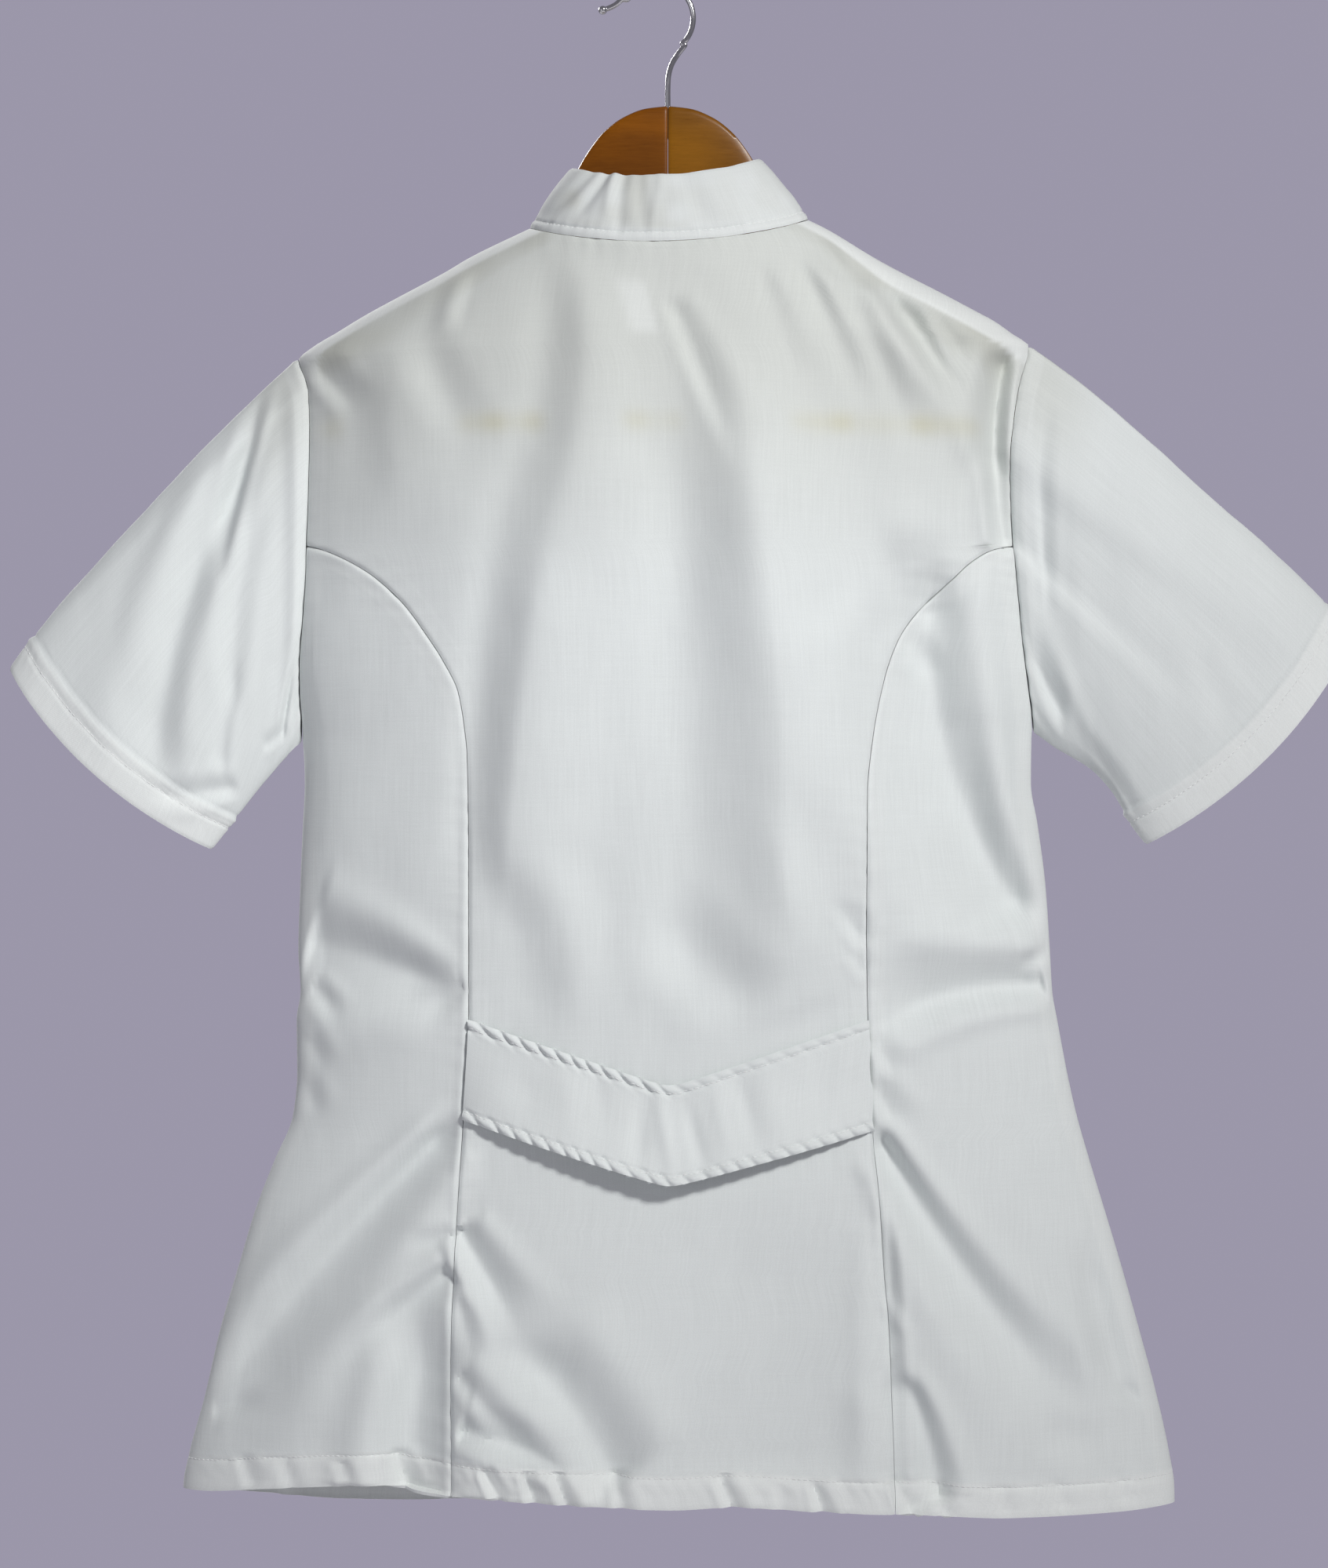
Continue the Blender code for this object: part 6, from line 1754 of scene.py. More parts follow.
# ------------------------------------------------------ collar and half belt
@dataclass(frozen=True)
class Collar:
    """Stand collar: a leaning strip round the neck, open at the front."""

    shop: Workshop
    top_left: tuple[float, float] = (-47.5, 99.4)
    top_right: tuple[float, float] = (56.2, 94.2)
    sag_back: float = 10.5
    lean: float = 12.0
    end_gap: float = 4.0
    rows: int = 34
    band: float = 5.2
    bulge: float = 1.6
    wall: float = 1.7
    seed: int = 83
    flat_size: tuple[float, float] = (0.395, 0.038)
    # Dents of the back.  Columns: start x, start share, end x, end share,
    # half width, depth (a ridge is negative).
    dents: tuple[tuple[float, ...], ...] = (
        (-52.0, 0.95, -64.0, 0.20, 5.0, 1.5), (-40.0, 1.0, -46.0, 0.45, 4.5, 2.2),
        (-34.0, 0.9, -30.0, 0.35, 4.0, -1.3), (-26.0, 0.75, -22.0, 0.20, 5.0, 1.6),
        (-14.0, 0.9, -8.0, 0.30, 5.0, 1.0), (2.0, 0.8, -3.0, 0.25, 4.0, -0.8),
        (20.0, 0.9, 28.0, 0.30, 8.0, 0.8), (58.0, 0.7, 72.0, 0.25, 7.0, 0.8))

    def top_edge(self, face: Face, alpha: Array) -> Array:
        """Upper edge: the seam moved up, and in by the lean."""
        form = self.shop.form
        (xl, dl), (xr, dr) = self.top_left, self.top_right
        share, arch = np.sin(alpha), np.cos(alpha)
        x = (xl + xr) / 2 + share * (xr - xl) / 2
        sag = self.sag_back if face is Face.BACK else form.neck_drop_front - 1.0
        drop = (dl + dr) / 2 + share * (dr - dl) / 2 + sag * np.abs(arch) ** 1.5
        seam = form.point(face, *form.neck_point(face, alpha))
        return np.stack([x, seam[..., 1] - face.value * self.lean * arch, -drop], -1)

    def lines(self) -> tuple[Array, Array]:
        """Collar seam and upper edge, from one front end to the other."""
        form, face = self.shop.form, Face.FRONT
        ends = [form.centre_x + side.value * self.end_gap / 2 for side in Side]
        stop = [math.asin((x - form.neck_mid) / form.neck_half) for x in ends]
        half = math.pi / 2
        parts = ((face, np.linspace(stop[0], -half, 74)),
                 (Face.BACK, np.linspace(-half, half, 141)[1:-1]),
                 (face, np.linspace(half, stop[1], 74)))
        seam = np.concatenate([form.point(f, *form.neck_point(f, a)) for f, a in parts])
        return seam, np.concatenate([self.top_edge(f, a) for f, a in parts])

    def surface(self, shares: Array) -> Array:
        """Points of the outside at shares of the height.

        The strip runs straight from the seam to the upper edge and bulges by
        a half sine; dents, the stitched band and rolled edges are added.

        Args:
            shares: heights from 0 at the seam to 1 at the upper edge.

        Returns:
            (rows, columns, 3) points in mm.
        """
        seam, top = self.lines()
        rise = unit(top - seam)
        height = np.linalg.norm(top - seam, axis=-1)
        seam = seam + rise * self.shop.form.seam / 2
        out = unit(np.cross(np.gradient(seam, axis=0), rise))
        away = seam - np.array([self.shop.form.neck_mid, 4.0, 0.0])
        away[:, 2] = 0.0
        out = out * np.sign(np.sum(out * away, axis=1, keepdims=True))
        s = shares[:, None]
        up = s * height[None]
        along = run_length(seam)[None] + 0 * s
        x = seam[None, :, 0] + 0 * s
        back = (seam[None, :, 1] < 5.0) * 1.0
        relief = self.bulge * np.sin(math.pi * s)
        for x0, s0, x1, s1, width, depth in self.dents:
            line = x0 + (x1 - x0) * np.clip((s - s0) / (s1 - s0), 0.0, 1.0)
            inside = smooth_step(min(s0, s1) - 0.25, min(s0, s1) + 0.1, s)
            relief = relief - back * depth * inside * bump(x - line, width)
        relief = relief + 0.30 * soft_noise(along, up, (13.0, 12.0), self.seed)
        relief = relief - 0.75 * bump(up - self.band, 0.8) + 0.35 * bump(
            up - self.band / 2, 2.0)
        wave = np.sin(2 * math.pi * along / 7.5 + soft_noise(
            along, 0 * along, (22.0, 1.0), 4) * 2.0)
        relief = relief + 0.14 * wave * bump(up - self.band, 5.0)
        relief = relief - 0.6 * bump(height[None] - up, 1.1) - 0.5 * bump(up, 0.9)
        points = seam[None] * (1 - s[..., None]) + top[None] * s[..., None]
        return points + out[None] * relief[..., None]

    def shell(self) -> Shell:
        """Wall of the collar, with painted shadow on the left of its back and painted
        shade over all of it.
        """
        shop = self.shop
        shares = clustered(self.rows, 0.35)
        outer = self.surface(shares)
        along = run_length(outer[0]) + 0 * shares[:, None]
        up = run_length(outer, axis=0)
        uv = np.stack([along, up], axis=-1)
        x, drop = outer[..., 0], -outer[..., 2]
        # painted shadow: grey on the back of the collar above its band, strongest on its
        # left, laid in the wood tone
        cloud = 0.6 + 0.7 * soft_noise(x, drop, (12.0, 10.0), 19)
        collar_painted_shadow = (0.25 + 0.75 * smooth_step(30.0, -10.0, x)) * np.clip(cloud, 0, 1)
        collar_painted_shadow = collar_painted_shadow * smooth_step(-62.0, -44.0, x) * smooth_step(
            6.0, 9.0, up) * (outer[..., 1] < 0)
        # the factor 0.92 darkens the whole collar: painted shade
        tint = shop.tones.mixed(0.45 + 0.45 * bump(up, 4.0), collar_painted_shadow) * 0.92
        return Shell(outer, self.wall, uv, tint, flip=True)

    def stitch_paths(self, shell: Shell) -> list[SeamPath]:
        """Stitch line above the seam."""
        up = run_length(shell.outer, axis=0)
        return [shell.line_at(-up, -self.band)]


@dataclass(frozen=True)
class HalfBelt:
    """V-shaped half belt over the centre back, its lower edge standing off."""

    shop: Workshop
    columns: int = 300
    rows: int = 42
    wall: float = 1.8
    thickness: float = 2.2
    stand_off: float = 12.5
    rope_pitch: float = 9.4
    rope_reach: float = 5.2
    flat_size: tuple[float, float] = (0.232, 0.074)
    flat_area: float = 0.0125
    seed: int = 91
    # Soft dents near the point.  Columns: x, share down, half width, half
    # height as a share, slant (mm sideways down the belt), depth (a ridge is
    # negative).
    dents: tuple[tuple[float, ...], ...] = (
        (-9.5, 0.60, 5.0, 0.36, -4.0, 1.7), (4.0, 0.48, 4.5, 0.50, 9.0, -1.6),
        (20.5, 0.60, 4.5, 0.36, 13.0, 2.0), (33.0, 0.45, 5.0, 0.40, 12.0, -1.2),
        (47.0, 0.42, 5.5, 0.36, 14.0, 1.8), (62.0, 0.50, 7.0, 0.36, 8.0, -0.9),
        (-31.0, 0.30, 6.0, 0.30, 4.0, 1.0), (-48.0, 0.45, 7.0, 0.36, 6.0, -0.8),
        (-69.0, 0.50, 9.0, 0.30, 5.0, 1.0), (86.0, 0.45, 8.0, 0.30, 5.0, 0.9))

    def base(self, share: Array, low: Array) -> tuple[Array, Array]:
        """x and drop of the belt at shares across and down."""
        form = self.shop.form
        (left, right), inset = form.belt_ends, form.seam
        x = left + inset + (right - left - 2 * inset) * share
        drop = form.belt_edge(x, low)
        start = smooth_lookup(PRINCESS[Side.LEFT], 1, drop) + inset
        end = smooth_lookup(PRINCESS[Side.RIGHT], 1, drop) - inset
        x = start + (end - start) * share
        return x, form.belt_edge(x, low)

    def strand(self, phase: Array) -> Array:
        """Rope wave: broad light swells between narrow grooves."""
        return 0.6 - 2.0 * (0.5 - 0.5 * np.sin(phase)) ** 2.5

    def surface(self, share: Array, low: Array) -> Array:
        """Points of the belt's outside.

        The belt lies on the back plus a stand-off that grows towards its
        lower middle.  Rope-like puckers slant over both turned edges: a sine
        along the edge, shifted by the distance from it.

        Args:
            share: shares from the left end to the right one.
            low: shares from the upper to the lower edge.

        Returns:
            Points in mm.
        """
        form = self.shop.form
        x, drop = self.base(share, low)
        phi = form.phi_at(x, drop)
        arch = 1 - (2 * share - 1) ** 2
        stand = 0.55 + self.stand_off * low ** 1.6 * arch ** 0.8
        from_top = drop - form.belt_edge(x, 0.0)
        from_low = form.belt_edge(x, 1.0) - drop
        wander = soft_noise(x, 0 * x, (27.0, 1.0), self.seed)
        rope = 2 * math.pi * (x / self.rope_pitch + 0.35 * wander)
        left = 0.35 + 0.95 * smooth_step(30.0, -10.0, x)
        relief = 0.80 * left * self.strand(rope - from_top * 0.75) * bump(
            from_top - 2.8, self.rope_reach * 0.66)
        relief += 0.85 * self.strand(rope * 1.04 + from_low * 0.6 + 1.0) * bump(
            from_low - 2.0, self.rope_reach * 0.66)
        for distance in (from_top, from_low):
            relief += -0.8 * bump(distance - self.rope_reach, 0.8)
            relief += -0.7 * bump(distance, 0.9) + 0.3 * bump(distance - 2.2, 1.5)
        for x0, down, width, height, slant, depth in self.dents:
            line = x0 + slant * (low - down)
            relief -= depth * bump(x - line, width) * bump(low - down, height)
        relief += 0.25 * soft_noise(x, drop, (15.0, 12.0), self.seed + 1)
        reach = stand + self.thickness + relief
        return form.point(Face.BACK, phi, drop) + form.out(
            Face.BACK, phi, drop) * reach[..., None]

    def shell(self) -> Shell:
        """Wall of the belt."""
        shop = self.shop
        share, low = np.meshgrid(np.linspace(0.0, 1.0, self.columns),
                                 clustered(self.rows, 0.35))
        outer = self.surface(share, low)
        uv = np.stack([run_length(outer, axis=1), run_length(outer, axis=0)], axis=-1)
        tint = shop.tones.mixed(np.full(outer.shape[:2], 0.1))
        return Shell(outer, self.wall, uv, tint)

    def stitch_paths(self, shell: Shell) -> list[SeamPath]:
        """Stitch lines inside both turned edges."""
        down = run_length(shell.outer, axis=0)
        return [shell.line_at(-down, -self.rope_reach),
                shell.line_at(down[-1:] - down, self.rope_reach)]


# ------------------------------------------------------------------ sleeves
@dataclass(frozen=True)
class Cuff:
    """Where a sleeve ends: its corners as x, y, z, and its shape, mm."""

    top: tuple[float, float, float]
    low: tuple[float, float, float]
    deep: float
    bow: float
    top_bulge: float
    low_hollow: float


@dataclass(frozen=True)
class Sleeve:
    """Short set-in sleeve: a flattened tube with a turned-up hem."""

    shop: Workshop
    side: Side
    cuff: Cuff
    half_loop: int = 74
    stations: int = 100
    hem: float = 20.5
    stitch: float = 15.0
    roll: float = 2.4
    flat_size: tuple[float, float] = (0.42, 0.215)
    flat_area: float = 0.062

    @property
    def name(self) -> str:
        """left or right."""
        return self.side.name.lower()

    def loop(self) -> Array:
        """Armhole seam: down the back, then up the front."""
        form, side = self.shop.form, self.side
        drops = form.tip[side] + (form.pit[side] - form.tip[side]) * clustered(
            self.half_loop, 0.72)
        down = form.point(Face.BACK, form.arm_phi(side, Face.BACK, drops), drops)
        rest = drops[-2:0:-1]
        front = form.point(Face.FRONT, form.arm_phi(side, Face.FRONT, rest), rest)
        return np.concatenate([down, front])

    def turns(self, loop: Array) -> Array:
        """Place round the loop: 0 top, 1 underarm, -1 to 0 up the front."""
        run = run_length(loop)
        half = self.half_loop - 1
        rest = np.linalg.norm(loop[0] - loop[-1]) + run[-1] - run[half]
        front = -1.0 + (run[half + 1:] - run[half]) / rest
        return np.concatenate([run[:half + 1] / run[half], front])

    def folds(self, along: Array, turn: Array, length: float = 215.0,
              girth: float = 210.0) -> Array:
        """Depth of the sleeve's folds, straight troughs with soft ends, mm."""
        total = np.zeros(np.broadcast(along, turn).shape)
        shape = CreaseField(np.empty((0, 12)))
        for a0, t0, a1, t1, width, depth, lean in SLEEVE_FOLDS[self.side]:
            da, dt = (a1 - a0) * length, (t1 - t0) * girth
            size = math.hypot(da, dt)
            u, v = (along - a0) * length, (turn - t0) * girth
            share, across = (u * da + v * dt) / size ** 2, (u * dt - v * da) / size
            total = total + depth * shape.profile(across / width, lean, 0.35) * (
                smooth_step(-0.1, 0.2, share) * smooth_step(1.1, 0.8, share))
        return total

    def surface(self) -> tuple[Array, Array, Array]:
        """Outer grid of the sleeve before its hem is raised.

        Points go straight from the armhole loop to the cuff, an ellipse-like
        loop whose hem line bows outwards.  The top line bulges, the underarm
        line is hollow and the folds sink the back and the front.

        Returns:
            Points in mm, places round, and distances from the cuff.
        """
        cuff, loop = self.cuff, self.loop()
        turn = self.turns(loop)
        top, low = np.array(cuff.top), np.array(cuff.low)
        q = np.cos(math.pi * np.abs(turn))
        deep = np.abs(np.sin(math.pi * turn)) ** 1.1 * -np.sign(turn)
        line = unit((top - low) / 2)
        down = np.array([line[2], 0.0, -line[0]])
        down = down * (-1.0 if down[2] > 0 else 1.0)
        end = ((top + low) / 2 + q[:, None] * (top - low) / 2
               + (1 - q[:, None] ** 2) * cuff.bow * down)
        end[:, 1] += deep * cuff.deep
        w = clustered(self.stations, 0.35)[:, None, None]
        grid = loop[None] * (1 - w) + end[None] * w
        swell = np.sin(math.pi * w[..., 0])
        ends = 1 - (2 * w[..., 0] - 1) ** 4
        grid += line * cuff.top_bulge * (ends * np.maximum(q, 0.0) ** 2)[..., None]
        grid += line * cuff.low_hollow * (
            swell ** 2 * np.maximum(-q, 0.0) ** 2)[..., None]
        grid[..., 1] += 5.0 * swell * deep
        sunk = self.folds(w[..., 0], turn[None]) * smooth_step(0.0, 0.14, w[..., 0])
        sunk = sunk * np.minimum(1.0, 2.5 * np.abs(deep))
        grid[..., 1] -= sunk * np.sign(deep)
        grid[0, :, 0] += self.side.value * self.shop.form.seam / 2
        run = run_length(grid)
        return grid, turn, run[-1][None] - run

    def outward(self, grid: Array) -> Array:
        """Unit directions out of the tube."""
        out = grid_normals(grid, wrap=True)
        middle = grid.mean(axis=1, keepdims=True)
        return out if np.sum(out * (grid - middle)) > 0 else -out

    def finished(self) -> tuple[Array, Array, Array]:
        """Outer grid with seam, hem and small waves raised.

        Returns:
            Points in mm, places round, and distances from the cuff.
        """
        seams = self.shop.seams
        grid, turn, above = self.surface()
        seed = 120 + 5 * self.side.value
        run = above[:1] - above
        around = run_length(grid, axis=1)
        wander = soft_noise(around, 0 * around, (30.0, 1.0), seed)
        relief = seams.edge(run, around, 0.3, seed + 1)
        relief += self.roll * bump(run - 9.0, 7.0) * smooth_step(
            0.02, 0.16, turn) * smooth_step(0.86, 0.70, turn)
        relief += 0.40 * soft_noise(run, around, (44.0, 30.0), seed + 2)
        relief += 0.14 * soft_noise(run, around, (12.0, 14.0), seed + 3)
        stitch = above - self.stitch
        wave = np.sin(2 * math.pi * (around / 9.0 + 0.8 * wander) + above * 0.3)
        relief += (0.7 * smooth_step(self.hem + 1.4, self.hem - 1.0, above)
                   + 0.65 * bump(above - self.hem, 1.7) - 0.75 * bump(stitch, 0.8)
                   - 0.5 * bump(above - self.hem - 2.6, 0.8)
                   - 0.5 * bump(above, 1.0) + 0.14 * wave * bump(stitch + 1.0, 6.0))
        return grid + self.outward(grid) * relief[..., None], turn, above

    def shell(self) -> tuple[Shell, Array]:
        """Wall of the sleeve, and the distances above its cuff."""
        shop = self.shop
        outer, turn, above = self.finished()
        run = above[:1] - above
        band = smooth_step(self.hem + 1.0, self.hem - 1.0, above)
        layers = np.maximum(band, 0.25 * shop.seams.layers(run))
        wall = shop.wall + (shop.hem_wall - shop.wall) * band
        uv = np.stack([run_length(outer, axis=1), -run], axis=-1)
        near = smooth_step(62.0, 12.0, run) * smooth_step(0.36, 0.10, np.abs(turn))
        tint = shop.tones.mixed(layers, 0.5 * near)
        return Shell(outer, wall, uv, tint, wrap=True,
                     flip=self.side is Side.RIGHT), above


CUFFS: dict[Side, Cuff] = {
    Side.LEFT: Cuff(top=(-358.1, 22.0, -373.2), low=(-246.2, 16.0, -472.6),
                    deep=19.0, bow=10.5, top_bulge=5.2, low_hollow=1.0),
    Side.RIGHT: Cuff(top=(384.5, 22.0, -353.8), low=(270.0, 16.0, -469.6),
                     deep=20.0, bow=12.0, top_bulge=4.6, low_hollow=7.0)}


# --------------------------------------------------------- thread and buttons
@dataclass(frozen=True)
class Stitches:
    """Lockstitches: short capsules of thread laid along a line, mm."""

    material: bpy.types.Material
    pitch: float = 3.1
    length: float = 2.35
    radius: float = 0.34
    sink: float = 0.10
    sides: int = 6
    ends: tuple[tuple[float, float], ...] = (
        (-0.5, 0.35), (-0.36, 1.0), (0.36, 1.0), (0.5, 0.35))

    def capsules(self, centre: Array, along: Array, out: Array) -> tuple[Array, Array]:
        """Points and quads of one capsule per centre.

        Args:
            centre: (n, 3) middles.
            along: (n, 3) unit directions of the thread.
            out: (n, 3) directions out of the cloth.

        Returns:
            Points in mm and corner numbers.
        """
        across = unit(np.cross(out, along))
        out = unit(np.cross(along, across))
        angle = 2 * math.pi * np.arange(self.sides) / self.sides
        ring = (np.cos(angle)[:, None] * across[:, None]
                + np.sin(angle)[:, None] * out[:, None]) * self.radius
        rings = [centre[:, None] + along[:, None] * self.length * at + ring * size
                 for at, size in self.ends]
        points = np.stack(rings, axis=1)
        count, last = len(self.ends) * self.sides, self.sides * (len(self.ends) - 1)
        first = np.arange(len(centre))[:, None, None] * count
        a = (np.arange(len(self.ends) - 1)[:, None] * self.sides
             + np.arange(self.sides)[None]).ravel()
        b = (a // self.sides) * self.sides + (a + 1) % self.sides
        tube = np.stack([a, b, b + self.sides, a + self.sides], axis=-1)
        caps = np.array([[3, 2, 1, 0], [5, 4, 3, 0], [last, last + 1, last + 2, last + 3],
                         [last, last + 3, last + 4, last + 5]])
        faces = np.concatenate([tube, caps])[None] + first
        return points.reshape(-1, 3), faces.reshape(-1, 4)

    def sew(self, name: str, paths: list[SeamPath]) -> bpy.types.Object:
        """Lay stitches along paths and join them into one mesh."""
        points, faces, count = [], [], 0
        for path in paths:
            run = run_length(path.points)
            marks = np.arange(self.pitch * 0.7, run[-1] - self.pitch * 0.5, self.pitch)
            at = [np.stack([np.interp(marks + shift, run, values[:, k])
                            for k in range(3)], axis=-1)
                  for values, shift in ((path.points, 0.0), (path.points, -0.6),
                                        (path.points, 0.6), (path.out, 0.0))]
            centre = at[0] - at[3] * self.sink
            new, corners = self.capsules(centre, unit(at[2] - at[1]), unit(at[3]))
            points.append(new)
            faces.append(corners + count)
            count += len(new)
        return write_mesh(name, np.concatenate(points), np.concatenate(faces),
                          self.material, sharp_deg=70.0)


@dataclass(frozen=True)
class Button:
    """Flat button with a rim, a dished middle and four holes, sewn on."""

    form: BodyForm
    finishes: Finishes
    number: int
    drop: float
    radius: float = 7.5
    thickness: float = 2.6
    lift: float = 3.15
    rim: float = 1.5
    hole_at: float = 1.55
    hole_radius: float = 0.75
    hole_depth: float = 1.1
    rings: int = 30
    spokes: int = 64

    def frame(self) -> tuple[Array, Array]:
        """Middle of the button and its axes as rows: right, up, out."""
        phi = self.form.phi_at(np.array([self.form.centre_x]), self.drop)
        out = self.form.out(Face.FRONT, phi, np.array([self.drop]))[0]
        right = unit(np.cross(np.array([0.0, 0.0, 1.0]), out))
        middle = self.form.point(Face.FRONT, phi, np.array([self.drop]))[0]
        return middle + out * self.lift, np.stack([right, np.cross(out, right), out])

    def top(self, u: Array, v: Array) -> Array:
        """Height of the button's face over its back.

        The rim is a rounded step, the middle is dished, and each hole is a
        smooth pit.
        """
        r = np.hypot(u, v)
        height = self.thickness - 0.7 * smooth_step(
            self.radius - self.rim, self.radius - self.rim - 1.1, r)
        edge = np.clip((r - self.radius + 0.8) / 0.8, 0.0, 1.0)
        height = height - 0.9 * (1 - np.sqrt(np.maximum(1 - edge ** 2, 0.0)))
        for su in (-1, 1):
            for sv in (-1, 1):
                near = np.hypot(u - su * self.hole_at, v - sv * self.hole_at)
                height = height - self.hole_depth * smooth_step(
                    self.hole_radius + 0.25, self.hole_radius - 0.25, near)
        return height

    def build(self) -> list[bpy.types.Object]:
        """Make the button, and the thread crossed over its holes."""
        middle, axes = self.frame()
        radii = self.radius * np.linspace(0.0, 1.0, self.rings) ** 0.8
        angle = 2 * math.pi * np.arange(self.spokes) / self.spokes
        u, v = (radii[1:, None] * wave(angle) for wave in (np.cos, np.sin))
        face = np.stack([u, v, self.top(u, v)], axis=-1)
        low = face[-1:].copy()
        low[..., 2] = 0.35
        base = np.stack([u[-2:-1], v[-2:-1], np.zeros((1, self.spokes))], axis=-1)
        rings = np.concatenate([face, low, base]) @ axes + middle
        made = [loft(f"button_{self.number}_disc", rings, self.finishes.button,
                     sharp_deg=50.0)]
        at = self.hole_at
        turn = np.linspace(-1.0, 1.0, 13)
        paths = []
        for sign in (-1, 1):
            rise = self.thickness - 0.5 + 0.35 * (1 - turn ** 2) - 1.1 * (
                np.abs(turn) > 0.95)
            line = np.stack([turn * at, sign * turn * at, rise + 0.12 * sign], axis=-1)
            paths.append(line @ axes + middle)
        made.append(tube_mesh(f"button_{self.number}_thread", paths, 0.30,
                              self.finishes.thread, 8))
        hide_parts(f"button_{self.number}")
        return made


def tube_rings(path: Array, radius: float | Array, sides: int) -> Array:
    """Rings of a round tube along a path that doesn't double back.

    Args:
        path: (n, 3) points in mm.
        radius: one radius, or one per point.
        sides: corners per ring.

    Returns:
        (n, sides, 3) points.
    """
    along = unit(np.gradient(path, axis=0))
    side = np.array([0.0, 1.0, 0.0]) if np.abs(along[:, 1]).max() < 0.8 else (
        np.array([0.0, 0.0, 1.0]))
    across = unit(np.cross(along, side))
    other = np.cross(across, along)
    angle = 2 * math.pi * np.arange(sides) / sides
    size = np.broadcast_to(radius, len(path))[:, None, None]
    return path[:, None] + size * (np.cos(angle)[:, None] * across[:, None]
                                   + np.sin(angle)[:, None] * other[:, None])


def tube_mesh(name: str, paths: list[Array], radius: float,
              material: bpy.types.Material, sides: int) -> bpy.types.Object:
    """Join round tubes along several paths of equal length into one mesh."""
    points, faces, count = [], [], 0
    for path in paths:
        rings = tube_rings(path, radius, sides)
        index = np.arange(rings.shape[0] * sides).reshape(-1, sides)
        grid = np.concatenate([index, index[:, :1]], axis=1)
        quads = np.stack([grid[:-1, :-1], grid[:-1, 1:], grid[1:, 1:], grid[1:, :-1]],
                         axis=-1).reshape(-1, 4)
        half = np.arange(0, sides - 2, 2)
        caps = np.concatenate([
            np.stack([0 * half, half + 3, half + 2, half + 1], axis=-1) % sides,
            np.stack([0 * half, half + 1, half + 2, half + 3], axis=-1) % sides
            + index[-1, 0]])
        caps = caps[[len(set(row)) == 4 for row in caps.tolist()]]
        points.append(rings.reshape(-1, 3))
        faces.append(np.concatenate([quads, caps]) + count)
        count += rings.shape[0] * sides
    return write_mesh(name, np.concatenate(points), np.concatenate(faces), material)


# ------------------------------------------------------------------- hanger
@dataclass(frozen=True)
class HangerArm:
    """One half of the hanger: a bowed board with rounded edges."""

    side: Side
    finish: bpy.types.Material
    half_thick: float = 6.5
    corner: float = 4.6
    joint: float = 5.6
    gap: float = 0.15
    middle: float = 4.8
    curve: float = 28.0
    curve_half: float = 200.0
    last: float = 192.8
    stations: int = 130
    around: int = 48

    @property
    def name(self) -> str:
        """left or right."""
        return self.side.name.lower()

    def section(self, half_high: Array, half_thick: Array, corner: Array) -> Array:
        """Rounded rectangles: (n, around, 2) heights and thicknesses."""
        turn = np.arange(self.around) / self.around * 2 * math.pi + 0.02
        cos, sin = np.cos(turn), np.sin(turn)
        spread = np.abs(np.stack([cos, sin], axis=-1)) ** 0.55 * np.sign(
            np.stack([cos, sin], axis=-1))
        flat = np.stack([np.maximum(half_high - corner, 0.0),
                         np.maximum(half_thick - corner, 0.0)], axis=-1)
        box = np.clip(spread[None] * 1.35, -1.0, 1.0) * flat[:, None]
        return box + corner[:, None, None] * np.stack([cos, sin], axis=-1)[None]

    def build(self) -> bpy.types.Object:
        """Make the arm; its joint edge is softly rounded, its tip closed."""
        share = np.linspace(0.0, 1.0, self.stations)
        reach = np.concatenate([[0.0, 0.5, 1.2], 2.0 + (self.last - 2.0) * share])
        reach = np.concatenate([reach, self.last + np.array([0.5, 0.8])])
        shrink = np.concatenate([[0.7, 0.25, 0.05], np.zeros(self.stations),
                                 [0.8, 2.4]])
        table = HANGER_ARM[self.side]
        top, low = (smooth_lookup(table, k, reach) for k in (1, 2))
        high = (low - top) / 2 - shrink
        thick = self.half_thick * (1 - 0.45 * smooth_step(160.0, 192.0, reach)) - shrink
        corner = np.minimum(self.corner, 0.6 * np.minimum(high, thick))
        place = self.section(high, thick, corner)
        x = self.joint + self.side.value * (self.gap + reach)
        y = self.curve * (np.abs(x - self.middle) / self.curve_half) ** 2
        z = -(top + low) / 2
        rings = np.stack([np.repeat(x[:, None], self.around, axis=1),
                          y[:, None] + place[..., 1], z[:, None] + place[..., 0]], -1)
        arm = loft(f"hanger_{self.name}_arm", rings, self.finish)
        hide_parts(f"hanger_{self.name}")
        return arm


@dataclass(frozen=True)
class TrouserBar:
    """Round bar between the hanger's ends, with thinner tenons."""

    finish: bpy.types.Material
    drop: float = 240.5
    y: float = 23.2
    radius: float = 6.2
    tenon: float = 3.2
    middle: float = 5.6
    shoulder: float = 171.4
    end: float = 184.0
    sides: int = 32

    def build(self) -> bpy.types.Object:
        """Make the bar."""
        half = np.array([(self.end, self.tenon), (self.shoulder + 0.05, self.tenon),
                         (self.shoulder, self.radius - 0.6),
                         (self.shoulder - 0.7, self.radius), (110.0, self.radius),
                         (50.0, self.radius)])
        reach = np.concatenate([-half[:, 0], half[::-1, 0]])
        radius = np.concatenate([half[:, 1], half[::-1, 1]])
        path = np.stack([self.middle + reach, np.full(len(reach), self.y),
                         np.full(len(reach), -self.drop)], axis=-1)
        bar = loft("trouser_bar_rod", tube_rings(path, radius, self.sides), self.finish)
        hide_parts("hanger_bar")
        return bar


